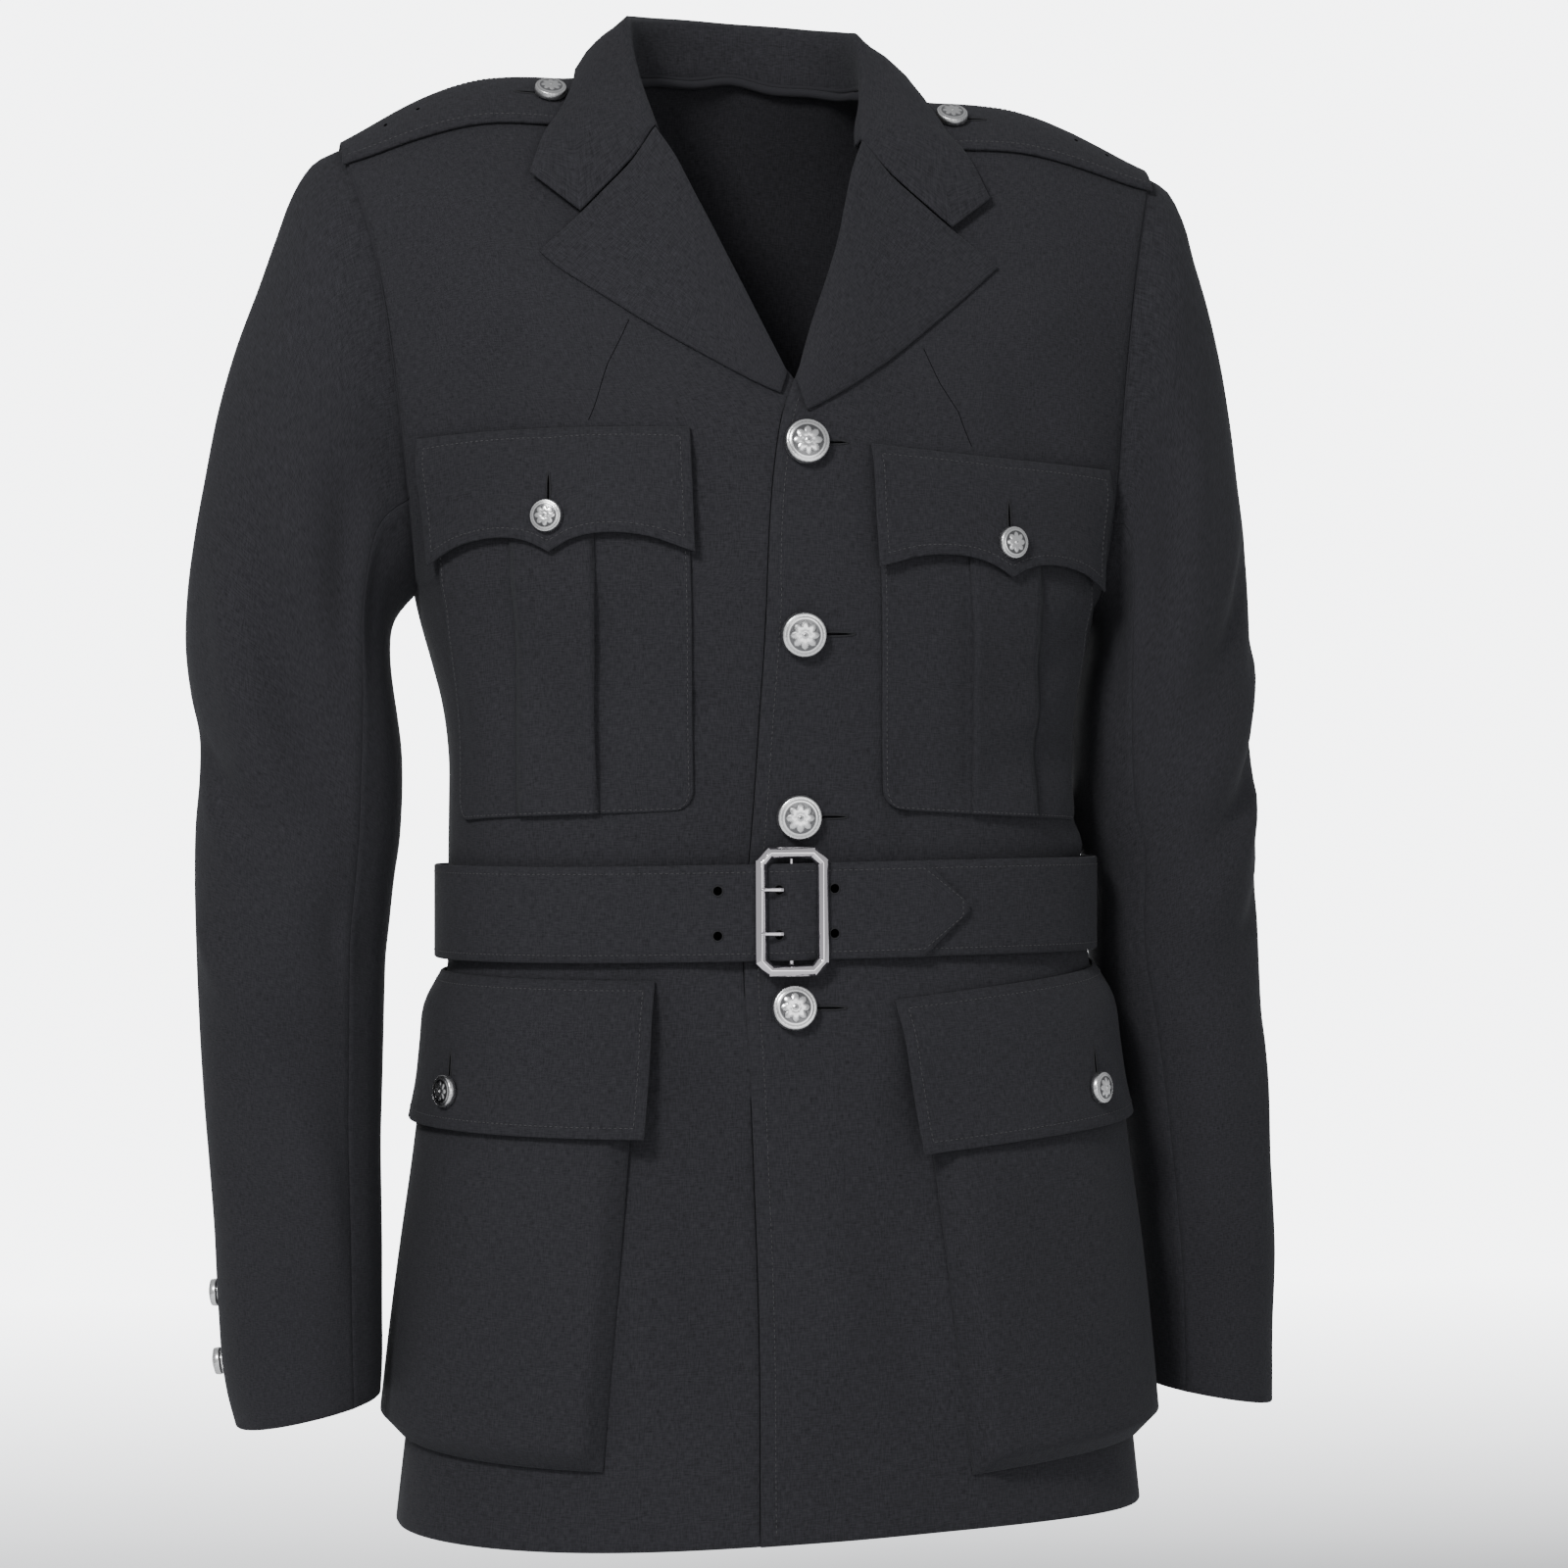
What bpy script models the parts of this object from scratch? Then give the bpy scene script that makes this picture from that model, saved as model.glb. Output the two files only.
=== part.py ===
"""Police uniform tunic with its own belt, in the shape it has when worn.

Every piece of cloth is a thin closed wall. The body of the tunic is one smooth surface, read from short tables,
and the fronts, the back, pockets, flaps, lapels, straps and belt are all cut out of it and lifted off it.
The front faces -Y, +Z is up, +X is the wearer's left, and the origin is the centre of the neck base.
"""
import math
from functools import lru_cache

import bpy
import numpy as np

MM = 0.001

# Cloth and seams
CLOTH = 2.0 * MM
POCKET_CLOTH = 1.6 * MM
SEAM_GAP = 0.3 * MM
LAY_GAP = 0.6 * MM
POCKET_GAP = 0.9 * MM
OVERLAP_LIFT = CLOTH + 0.6 * MM
PROBE = 1.0 * MM

# Heights, measured from the neck base
ARMPIT = -291 * MM
SHOULDER_TIP = -48 * MM
WAIST = -456 * MM

# Girth shape of the body: height, half width, front depth, back depth
BODY = np.array([
    (-786, 205, 128, 130),
    (-720, 198, 125, 126),
    (-678, 194, 123, 123),
    (-619, 188, 120, 120),
    (-565, 184, 117, 117),
    (-518, 181, 115, 113),
    (-485, 176.5, 111, 105.5),
    (-455, 175, 110, 104),
    (-427, 173.5, 110, 103.5),
    (-398, 171.5, 112, 103),
    (-367, 171, 116, 107),
    (-336, 176, 121, 112),
    (-310, 183, 125, 116),
    (-291, 187, 127, 119),
]) * MM
HALF_WIDTH, FRONT_DEPTH, BACK_DEPTH = 1, 2, 3
BODY_SQUARENESS = 2.35

# Rows of the panels: heights up to the armpit, then shares of the way from the armpit to the shoulder line
LEVEL_ROWS = (
    -786, -758, -727, -695, -662, -628, -594, -560, -528, -500, -476, -452, -428, -403, -377, -350, -324, -305,
)
CHEST_ROWS = (0.0, 0.03, 0.07, 0.13, 0.21, 0.30, 0.40, 0.50, 0.60, 0.70, 0.79, 0.87, 0.93, 0.97, 1.0)
FRONT_COLUMNS = 13
BACK_COLUMNS = 23

# Shoulder ridge: distance from the neck centre, height
RIDGE = np.array([
    (0, 34), (40, 17), (66, -2), (91, -9), (131, -11), (147, -13),
    (165, -18.5), (190, -30), (206, -39), (223, -48),
]) * MM
# Armhole seen from the front: height, distance from the centre
ARMHOLE = np.array([
    (-291, 187.5), (-220, 194), (-159, 200), (-110, 207), (-68, 217), (-48, 223),
]) * MM
ARMHOLE_FRONT = 62 * MM
ARMHOLE_BACK = 70 * MM
ARMHOLE_SQUARENESS = 2.3
# How far each row of the chest runs round before the armhole cuts it: row from 0 to 1, angle in degrees
CHEST_ANGLE = np.array([
    (0.0, 90.0), (0.04, 79.0), (0.10, 67.0), (0.20, 57.0), (0.35, 51.0), (1.0, 48.0),
])
SLOPE_FRONT = 1.68
SLOPE_BACK = 2.5
NECK_HALF_WIDTH = 66 * MM
NECK_BACK_DEPTH = 60 * MM

# Worn pose: height, sideways shift of the body, lean of the shoulders and hips
POSE = np.array([
    (-786, 13.5, -0.05), (-518, 14, -0.03), (-455, 12, -0.02), (-405, 9, 0.02), (-291, 5.5, 0.045),
    (-200, 3, 0.055), (-113, 1, 0.05), (-75, 0, 0.05), (-40, 0, 0.05), (40, 0, 0.055),
]) * np.array([MM, MM, 1.0])
LEAN_REACH = 260 * MM

# Inner edges of the fronts, +X positive: height, edge of the left front, edge of the right front
FRONT_EDGES = np.array([
    (-786, -22, 26), (-696, -22.5, 26), (-560, -26.5, 22), (-481, -28, 22), (-389, -17.5, 30),
    (-338, -13.5, 31), (-220, -3.5, 34), (-200, 0, 30), (-188, 4, 18), (-176, 9.5, 7), (-152, 18, -5.5),
    (-118, 31, -22), (-98, 38.5, -30), (-76.5, 44.5, -39), (-57, 51, -47.5), (-38, 58, -57), (-25, 62, -62),
    (-12, 65, -65), (-2, 66, -66),
]) * MM
LEFT_EDGE, RIGHT_EDGE = 1, 2
OVERLAP_FULL = 34 * MM
OVERLAP_FADE = 36 * MM
BREAK_POINT = -176 * MM
OVERLAP_TOP = -120 * MM

# Lapels: roll x, roll z, outer edge x, outer edge z, from the break point up to the gorge
LAPEL_LEFT = np.array([
    (9, -177, 14, -193), (17.5, -150, 33, -182), (29.5, -119, 60, -163), (37, -98, 84, -143.5),
    (42.5, -78, 103, -127.5), (48, -58, 115, -117), (55, -41, 125.5, -107.5),
]) * MM
LAPEL_RIGHT = np.array([
    (5, -173, 1, -184), (-5, -151.5, -12, -179), (-21.5, -115, -32.5, -169), (-30, -95, -61, -153.5),
    (-38, -76.5, -89, -136), (-46, -57, -112, -121), (-55, -41, -121, -112.5),
]) * MM
# Across a lapel: share of its width, and how far the gorge seam dips there
LAPEL_ACROSS = ((0.0, 0.0), (0.06, -2.0), (0.2, -6.0), (0.42, -6.0), (0.65, -4.5), (1.0, 0.0))
GORGE_GAP = 0.6 * MM
LAPEL_BULGE = 3.5 * MM
LAPEL_ROWS = 12

# Collar stations from the centre back round to the gorge, for the wearer's left: foot x, y, z, roll x, y, z,
# then the outer edge and what it lies on: the back (1) or the front (0), as x and z, or the shoulder (2),
# as distance from the neck and run forward of the ridge
COLLAR = np.array([
    (0, 60, 10.3, 0, 63, 40, 0, -4, 1),
    (24, 56, 6.0, 25, 59, 39.5, 34, -5, 1),
    (43, 45.7, 4.6, 45, 47, 37, 63, -8, 1),
    (57, 30.3, 1.7, 58, 28, 33.5, 84, -14, 1),
    (64.3, 9, 0.2, 63, 7, 28, 92, 2, 2),
    (63, -9, -2.5, 64, -9, 13, 98, 30, 2),
    (60.5, -25, -15, 61.5, -28, -8, 107, -37, 0),
    (56.5, -37, -29, 58, -44, -25, 115, -48, 0),
    (55, -47, -41.5, 54.5, -54, -38, 124, -71, 0),
])
COLLAR_SHOULDER_LIFT = 7.5 * MM
ON_BACK, ON_SHOULDER = 1, 2
COLLAR_EDGE_LIFT = 6.0 * MM
COLLAR_FOLD = 2.6 * MM

# Epaulettes: distance from the neck, middle and half width measured forward over the shoulder
EPAULETTE_CLOTH = 2.4 * MM
EPAULETTE_BUTTON = (110 * MM, 31 * MM)
EPAULETTE = np.array([
    (86, 32, 23), (100, 31, 24.5), (130, 28, 26), (160, 24, 27), (190, 19, 27), (214, 14, 26), (221, 12, 26),
]) * MM

# Sleeves in the worn pose: outer x, outer z, inner x, inner z, middle y, half depth, hind seam angle
SLEEVE_RIGHT = np.array([
    (-243, -57, -191, -297, -2, 67, -100),
    (-254, -86, -194, -305, -2, 68, -98),
    (-267, -123, -195, -316, -2, 68, -96),
    (-283, -168, -194, -332, -2, 67, -93),
    (-293.5, -216, -191, -352, -2, 65, -90),
    (-301.5, -262, -188.5, -374, -2, 63, -87),
    (-305.5, -306, -188.5, -398, -2, 61, -83),
    (-302.5, -340, -190, -421, -3, 59, -79),
    (-297, -370, -193, -441, -4, 57, -74),
    (-299.5, -402, -195, -460, -5, 57, -69),
    (-300.5, -438, -197.5, -482, -7, 57, -63),
    (-299.5, -482, -198.5, -510, -9, 57, -56),
    (-297.5, -528, -199.5, -546, -11, 56, -48),
    (-294.5, -572, -200.5, -584, -13, 55, -41),
    (-290.5, -620, -200, -628, -15, 54, -33),
    (-289, -650, -200, -655, -16, 53, -28),
    (-287, -685, -200, -682, -17, 52, -23),
    (-284.5, -710, -200, -700, -18, 51, -21),
    (-278.5, -734, -201, -717, -18, 50, -20),
])
SLEEVE_LEFT = np.array([
    (240, -61, 193.5, -297, 2, 70, -100),
    (247, -86, 194, -306, 4, 73, -98),
    (258, -122, 193, -317, 6, 76, -96),
    (268, -165, 190, -332, 8, 77, -93),
    (275, -212, 188, -350, 10, 77, -90),
    (281, -256, 187, -372, 12, 76, -87),
    (284, -300, 188, -396, 14, 73, -84),
    (286, -340, 191.2, -420, 16, 69, -81),
    (288, -380, 199.5, -442, 18, 65, -78),
    (290, -420, 198.5, -466, 20, 62, -75),
    (292, -462, 201, -494, 22, 60, -72),
    (294, -506, 209, -526, 24, 59, -69),
    (297, -552, 215, -562, 25, 58, -66),
    (300, -598, 221, -602, 26, 56, -63),
    (303, -640, 225, -642, 26, 54, -60),
    (303, -668, 228, -668, 26, 52, -58),
    (302, -694, 229, -690, 26, 51, -57),
    (302, -716, 230, -708, 26, 50, -56),
    (302, -736, 230, -724, 26, 49, -55),
])
FRONT_SEAM_ANGLE = 124.0
SLEEVE_SQUARENESS = 2.2
SLEEVE_CLOTH = 2.0 * MM
SLEEVE_RADIUS = 60 * MM
SLEEVE_ROWS = 27
TOP_COLUMNS = 9
UNDER_COLUMNS = 10

# Chest pockets by girth from the centre: side, inner girth, outer girth, top, bottom, drop of the outer side
CHEST_POCKETS = {
    "right": (-1, 50, 195, -221, -404, 6.0),
    "left": (1, 50, 195, -224, -401, 6.0),
}
CHEST_FLAP_WIDTH_SPARE = 2.5 * MM
CHEST_FLAP_TOP = 16.0 * MM
PLEAT_HALF = 23.0 * MM
PLEAT_RISE = 1.8 * MM
# Lower edge of a chest flap: place across it from 0 to 1, depth below its top
SCALLOP = np.array([
    (0.0, 66), (0.04, 64), (0.12, 59.5), (0.24, 56), (0.34, 56), (0.43, 59), (0.5, 65),
    (0.57, 59), (0.66, 56), (0.76, 56), (0.88, 59.5), (0.96, 64), (1.0, 66),
]) * np.array([1.0, MM])

# Hip pockets: side, inner girth at the top and bottom, outer girth, then heights: top at the inner and outer
# side, bottom at the inner and outer side
HIP_POCKETS = {
    "right": (-1, 84, 104, 292, -493, -489, -744, -736),
    "left": (1, 60, 92, 270, -507, -487, -757, -745),
}
HIP_FLAP_SPARE = 9 * MM
HIP_MOUTH = 0.11
HIP_COLUMNS = (0.0, 0.05, 0.16, 0.29, 0.42, 0.56, 0.70, 0.83, 0.95, 1.0)
HIP_HEM_SLACK = 0.6 * MM
HIP_RISE = 12.5 * MM
HIP_RISE_TOP = 4.5 * MM
HIP_FLAP_DEPTH = 82 * MM

# Belt and buckle
BELT_WIDTH = 50.8 * MM
BELT_CLOTH = 2.6 * MM
BELT_LIFT_FRONT = 4.2 * MM
BELT_LIFT_SIDE = 5.0 * MM
BELT_STATIONS = 50
BELT_TIP = 92 * MM
BELT_TIP_LENGTH = 25 * MM
BELT_PLY_GAP = 0.8 * MM
BELT_HUMP = 3.4 * MM
BELT_HUMP_REACH = 11 * MM
# Where the end that goes through the buckle leaves the body, and where it lies fully over the other end
BELT_LAP_FROM = 72 * MM
BELT_LAP_FULL = 24 * MM
BUCKLE_AT = -3 * MM
BUCKLE_BAR_THICK = 2.2 * MM
BUCKLE_BAR_HALF = 1.5 * MM
BUCKLE_BAR_DROP = 1.0 * MM
# Prongs: height off the middle of the belt, tip inside the frame's edge, root from the buckle's middle
PRONG_OFF_MIDDLE = 11.5 * MM
PRONG_TIP = 2.6 * MM
PRONG_ROOT = 5.0 * MM
PRONG_HALF = 1.3 * MM
PRONG_THICK = 2.4 * MM
BUCKLE_WIDTH = 39 * MM
BUCKLE_HEIGHT = 68 * MM
BUCKLE_BAR = 6.2 * MM
BUCKLE_CORNER = 7 * MM
BUCKLE_DEPTH = 4.0 * MM

# Buttons: diameter and height
FRONT_BUTTON = (24.0 * MM, 7.0 * MM)
SMALL_BUTTON = (17.5 * MM, 6.0 * MM)
CUFF_BUTTON = (15.0 * MM, 5.5 * MM)
BUTTON_SIDES = 10
BUTTON_SEAT = 0.5 * MM
# Place of the hip buttons down the pocket, and of the cuff buttons along the sleeve
HIP_BUTTON_DOWN = 0.235
CUFF_BUTTON_PLACES = (16.4, 17.6)
# Front buttons: girth from the centre, height
FRONT_BUTTONS = ((13, -210), (8, -310), (4.5, -406), (-3, -507))

COLOURS = {
    "cloth": (0.028, 0.029, 0.032),
    "cloth_folded": (0.034, 0.035, 0.038),
    "silver": (0.72, 0.71, 0.70),
    "chrome": (0.80, 0.78, 0.80),
}


def read_table(table, column, at):
    """Smooth value of one column of a table, at a place along its first column."""
    places, values = table[:, 0], table[:, column]
    slopes = np.gradient(values, places)
    k = np.clip(np.searchsorted(places, at) - 1, 0, len(places) - 2)
    step = places[k + 1] - places[k]
    t = np.clip((at - places[k]) / step, 0.0, 1.0)
    start = values[k] * (1 + 2 * t) * (1 - t) ** 2 + slopes[k] * step * t * (1 - t) ** 2
    end = values[k + 1] * t * t * (3 - 2 * t) - slopes[k + 1] * step * t * t * (1 - t)
    return start + end


def smoothstep(value, low, high):
    """0 below low, 1 above high, and a soft step between."""
    t = np.clip((value - low) / (high - low), 0.0, 1.0)
    return t * t * (3 - 2 * t)


def posed(points):
    """The worn pose: the waist shifts sideways and the shoulder and hip lines lean."""
    points = np.asarray(points, dtype=float)
    x, y, z = points[..., 0], points[..., 1], points[..., 2]
    shift = read_table(POSE, 1, z)
    lean = read_table(POSE, 2, z)
    drop = lean * x * (1 - (x / LEAN_REACH) ** 2)
    return np.stack([x + shift, y, z - drop], axis=-1)


def armhole_depth(row, back):
    """Distance of the armhole's edge from the middle plane, at a row from 0 (armpit) to 1 (shoulder tip)."""
    depth = ARMHOLE_BACK if back else ARMHOLE_FRONT
    t = np.clip(np.abs(2 * row - 1), 0.0, 1.0)
    return depth * (1 - t ** ARMHOLE_SQUARENESS) ** (1 / ARMHOLE_SQUARENESS)


def chest_y(x, row, back):
    """Depth of the chest or back above the armpit, at a distance from the centre and a row from 0 to 1."""
    slope = SLOPE_BACK if back else SLOPE_FRONT
    full = BODY[-1, BACK_DEPTH] if back else BODY[-1, FRONT_DEPTH]
    centre = full * (1 - np.clip(row, 0, 1) ** slope) ** (1 / slope)
    edge = armhole_depth(row, back)
    reach = read_table(ARMHOLE, 1, ARMPIT + (SHOULDER_TIP - ARMPIT) * row)
    most = np.radians(read_table(CHEST_ANGLE, 1, row))
    power = 2 / BODY_SQUARENESS
    share = np.clip(np.abs(x) / reach, 0.0, 1.0) * np.sin(most) ** power
    cosine = np.sqrt(np.clip(1 - share ** (2 / power), 0.0, 1.0)) ** power
    last = np.clip(np.cos(most), 0, 1) ** power
    blend = np.clip((cosine - last) / (1 - last), 0.0, 1.0)
    depth = edge + (centre - edge) * blend
    return depth if back else -depth


def ridge_height(x):
    """Height of the shoulder line at a distance from the neck centre."""
    return read_table(RIDGE, 1, np.abs(x))


@lru_cache(maxsize=None)
def level_section(height_key, back):
    """Points of a level cut from the centre to the side, as x, y and the girth run so far."""
    height = height_key * 1e-5
    if height <= ARMPIT:
        angle = np.linspace(0, math.pi / 2, 121)
        power = 2 / BODY_SQUARENESS
        depth = read_table(BODY, BACK_DEPTH if back else FRONT_DEPTH, height)
        x = read_table(BODY, HALF_WIDTH, height) * np.sin(angle) ** power
        y = depth * np.clip(np.cos(angle), 0, 1) ** power
        y = y if back else -y
    else:
        reach = read_table(ARMHOLE, 1, height) if height < SHOULDER_TIP else 0.222
        x = np.linspace(0, reach, 121)
        row = np.clip((height - ARMPIT) / (ridge_height(x) - ARMPIT), 0, 1)
        y = chest_y(x, row, back)
    girth = np.concatenate([[0], np.cumsum(np.hypot(np.diff(x), np.diff(y)))])
    return x, y, girth


def at_girth(girth, height, back=False):
    """Posed point of the body at a signed girth from the centre front (or centre back) and a height."""
    x, y, run = level_section(round(height * 1e5), back)
    reach = abs(girth)
    if reach > run[-1]:
        x2, y2, run2 = level_section(round(height * 1e5), not back)
        rest = run2[-1] - (reach - run[-1])
        point = (np.interp(rest, run2, x2), np.interp(rest, run2, y2))
    else:
        point = (np.interp(reach, run, x), np.interp(reach, run, y))
    return posed((math.copysign(point[0], girth), point[1], height))


def cross_normal(first, second, outward):
    """Unit normal of two tangents, turned to the outward hint."""
    normal = np.cross(first, second)
    normal = normal / np.linalg.norm(normal)
    return normal if np.dot(normal, outward) > 0 else -normal


def on_girth(girth, height, lift, back=False):
    """Posed point lifted off the body, at a signed girth and a height."""
    here = at_girth(girth, height, back)
    along = at_girth(girth + PROBE, height, back) - at_girth(girth - PROBE, height, back)
    up = at_girth(girth, height + PROBE, back) - at_girth(girth, height - PROBE, back)
    return here + cross_normal(along, up, (here[0], here[1], 0.0)) * lift


def at_front(x, height, back=False):
    """Posed point of the body at a distance from the centre and a height, away from the sides."""
    if height <= ARMPIT:
        section_x, section_y, _ = level_section(round(height * 1e5), back)
        y = np.interp(abs(x), section_x, section_y)
    else:
        row = min((height - ARMPIT) / (ridge_height(x) - ARMPIT), 1.0)
        y = float(chest_y(x, row, back))
    return posed((x, y, height))


def on_front(x, height, lift, back=False):
    """Posed point lifted off the body, at a distance from the centre and a height."""
    here = at_front(x, height, back)
    along = at_front(x + PROBE, height, back) - at_front(x - PROBE, height, back)
    up = here - at_front(x, height - PROBE, back)
    return here + cross_normal(along, up, (0.0, 1.0 if back else -1.0, 0.3)) * lift


@lru_cache(maxsize=None)
def shoulder_section(distance_key):
    """Front to back cut over one shoulder at a distance from the neck: y, z and the run forward of the ridge."""
    x = distance_key * 1e-5
    row = 1 - np.linspace(0, 1, 80) ** 2 * 0.75
    height = ARMPIT + (ridge_height(x) - ARMPIT) * row
    front_y = chest_y(x, row, False)
    back_y = chest_y(x, row, True)
    y = np.concatenate([back_y[::-1], front_y[1:]])
    z = np.concatenate([height[::-1], height[1:]])
    run = np.concatenate([[0], np.cumsum(np.hypot(np.diff(y), np.diff(z)))])
    return y, z, run - run[79]


def at_shoulder(side, distance, forward):
    """Posed point over a shoulder, at a distance from the neck and a run forward of the ridge."""
    y, z, run = shoulder_section(round(distance * 1e5))
    return posed((side * distance, np.interp(forward, run, y), np.interp(forward, run, z)))


def on_shoulder(side, distance, forward, lift):
    """Posed point lifted off a shoulder."""
    here = at_shoulder(side, distance, forward)
    along = at_shoulder(side, distance + 2 * PROBE, forward) - at_shoulder(side, distance - 2 * PROBE, forward)
    over = at_shoulder(side, distance, forward + 2 * PROBE) - at_shoulder(side, distance, forward - 2 * PROBE)
    return here + cross_normal(along, over, (0.0, -0.2, 1.0)) * lift


def front_lift(x, height):
    """Lift of the left front where it laps over the right one."""
    across = 1 - smoothstep(x, OVERLAP_FULL, OVERLAP_FULL + OVERLAP_FADE)
    up = 1 - smoothstep(height, BREAK_POINT, OVERLAP_TOP)
    return OVERLAP_LIFT * across * up


def lay_girth(girth, height, lift):
    """Posed point lifted off the worn fronts, with the left front's overlap under it."""
    return on_girth(girth, height, lift + (float(front_lift(girth, height)) if girth > -OVERLAP_FULL else 0.0))


def grid_normals(grid, outward_from):
    """Unit normals of a grid of points, turned away from a centre line given by its x and y."""
    along = np.gradient(grid, axis=1)
    up = np.gradient(grid, axis=0)
    normal = np.cross(along, up)
    length = np.linalg.norm(normal, axis=-1, keepdims=True)
    normal = normal / np.maximum(length, 1e-12)
    middle = normal[grid.shape[0] // 3, grid.shape[1] // 2]
    spot = grid[grid.shape[0] // 3, grid.shape[1] // 2]
    hint = np.array([spot[0] - outward_from[0], spot[1] - outward_from[1], 0.0])
    return normal if np.dot(middle, hint) > 0 else -normal


def finish(name, vertices, faces, palette, smooth=True):
    """A named closed solid with its own material, its faces turned outward."""
    mesh = bpy.data.meshes.new(name)
    mesh.from_pydata([tuple(v) for v in vertices], [], [tuple(f) for f in faces])
    mesh.update()
    points = np.array([v.co[:] for v in mesh.vertices])
    volume = 0.0
    for face in mesh.polygons:
        corners = points[list(face.vertices)]
        for k in range(1, len(corners) - 1):
            volume += np.dot(corners[0], np.cross(corners[k], corners[k + 1]))
    if volume < 0:
        mesh.flip_normals()
    made = bpy.data.materials.new("m_" + name)
    made.use_nodes = True
    shader = made.node_tree.nodes["Principled BSDF"]
    metal = palette in ("silver", "chrome")
    shader.inputs["Base Color"].default_value = (*COLOURS[palette], 1.0)
    shader.inputs["Metallic"].default_value = 1.0 if metal else 0.0
    shader.inputs["Roughness"].default_value = 0.28 if metal else 0.9
    mesh.materials.append(made)
    for face in mesh.polygons:
        face.use_smooth = smooth
    solid = bpy.data.objects.new(name, mesh)
    bpy.context.scene.collection.objects.link(solid)
    return solid


def wall(name, outer, inner, palette="cloth", closed=False):
    """A closed cloth wall between an outer and an inner grid of points, rows by columns."""
    rows, columns = outer.shape[:2]
    vertices = list(outer.reshape(-1, 3)) + list(inner.reshape(-1, 3))
    offset = rows * columns
    last = columns if closed else columns - 1
    faces = []

    def index(row, column):
        return row * columns + column % columns

    for r in range(rows - 1):
        for c in range(last):
            quad = (index(r, c), index(r, c + 1), index(r + 1, c + 1), index(r + 1, c))
            faces.append(quad)
            faces.append(tuple(offset + k for k in reversed(quad)))
    for c in range(last):
        for r, turn in ((0, False), (rows - 1, True)):
            a, b = index(r, c), index(r, c + 1)
            rim = (b, a, offset + a, offset + b)
            faces.append(tuple(reversed(rim)) if turn else rim)
    if not closed:
        for r in range(rows - 1):
            for c, turn in ((0, True), (columns - 1, False)):
                a, b = index(r, c), index(r + 1, c)
                rim = (b, a, offset + a, offset + b)
                faces.append(tuple(reversed(rim)) if turn else rim)
    return finish(name, vertices, faces, palette)


def body_rows():
    """Row levels from the hem to the shoulder: heights below the armpit, then rows from 0 to 1 above it."""
    return [("level", height * MM) for height in LEVEL_ROWS] + [("chest", row) for row in CHEST_ROWS]


def chest_row(row, back, neck_scale=None):
    """Dense points of one chest row from the centre to the armhole: x, y, z."""
    reach = float(read_table(ARMHOLE, 1, ARMPIT + (SHOULDER_TIP - ARMPIT) * row))
    x = np.linspace(0, reach, 121)
    scaled = row * (neck_scale(x) if neck_scale else 1.0)
    z = ARMPIT + (ridge_height(x) - ARMPIT) * scaled
    y = chest_y(x, scaled, back)
    if row == 0.0:
        level_x, level_y, _ = level_section(round(ARMPIT * 1e5), back)
        return level_x, level_y, np.full_like(level_x, ARMPIT)
    return x, y, z


def run_along(x, y, z):
    """Length run so far along a line of points."""
    return np.concatenate([[0], np.cumsum(np.sqrt(np.diff(x) ** 2 + np.diff(y) ** 2 + np.diff(z) ** 2))])


def make_front(side):
    """One front, from its inner edge to the side seam and the armhole."""
    name = "front_left" if side > 0 else "front_right"
    column = LEFT_EDGE if side > 0 else RIGHT_EDGE
    grid = []
    for kind, value in body_rows():
        if kind == "level":
            x, y, run = level_section(round(value * 1e5), False)
            z = np.full_like(x, value)
            edge_x = float(read_table(FRONT_EDGES, column, value)) * side
        else:
            x, y, z = chest_row(value, False)
            run = run_along(x, y, z)
            height = ARMPIT
            for _ in range(6):
                edge_x = float(read_table(FRONT_EDGES, column, height)) * side
                height = float(np.interp(max(edge_x, 0.0), x, z))
        if edge_x >= 0:
            start = float(np.interp(edge_x, x, run))
        else:
            start = -float(np.interp(-edge_x, x, run))
        line = []
        for share in np.linspace(0, 1, FRONT_COLUMNS):
            girth = start + (run[-1] - start) * share
            sign = side if girth >= 0 else -side
            reach = abs(girth)
            point = (np.interp(reach, run, x) * sign, np.interp(reach, run, y), np.interp(reach, run, z))
            line.append(point)
        grid.append(line)
    flat = np.array(grid)
    flat[..., 1] -= SEAM_GAP / 2
    outer = posed(flat)
    normal = grid_normals(outer, (0.0, 0.0))
    for part in (normal[:, -1], normal[-1, :]):
        part[:, 1] = 0.0
    armhole = slice(len(LEVEL_ROWS) + 1, -1)
    normal[armhole, -1] = grid_normals(outer, (0.0, 0.0))[armhole, -1]
    normal /= np.linalg.norm(normal, axis=-1, keepdims=True)
    if side > 0:
        lift = front_lift(flat[..., 0], flat[..., 2])[..., None]
        outer = outer + normal * lift
    return wall(name, outer, outer - normal * CLOTH)


def neck_scale_table():
    """How much of its height each back column keeps under the neckline."""
    places = np.linspace(0, NECK_HALF_WIDTH, 12)
    scales = []
    for x in places:
        want = NECK_BACK_DEPTH * math.sqrt(max(1 - (x / NECK_HALF_WIDTH) ** 2, 0.0))
        low, high = 0.5, 1.0
        for _ in range(40):
            middle = (low + high) / 2
            if float(chest_y(x, middle, True)) > want:
                low = middle
            else:
                high = middle
        scales.append(low)
    return places, np.array(scales)


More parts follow.
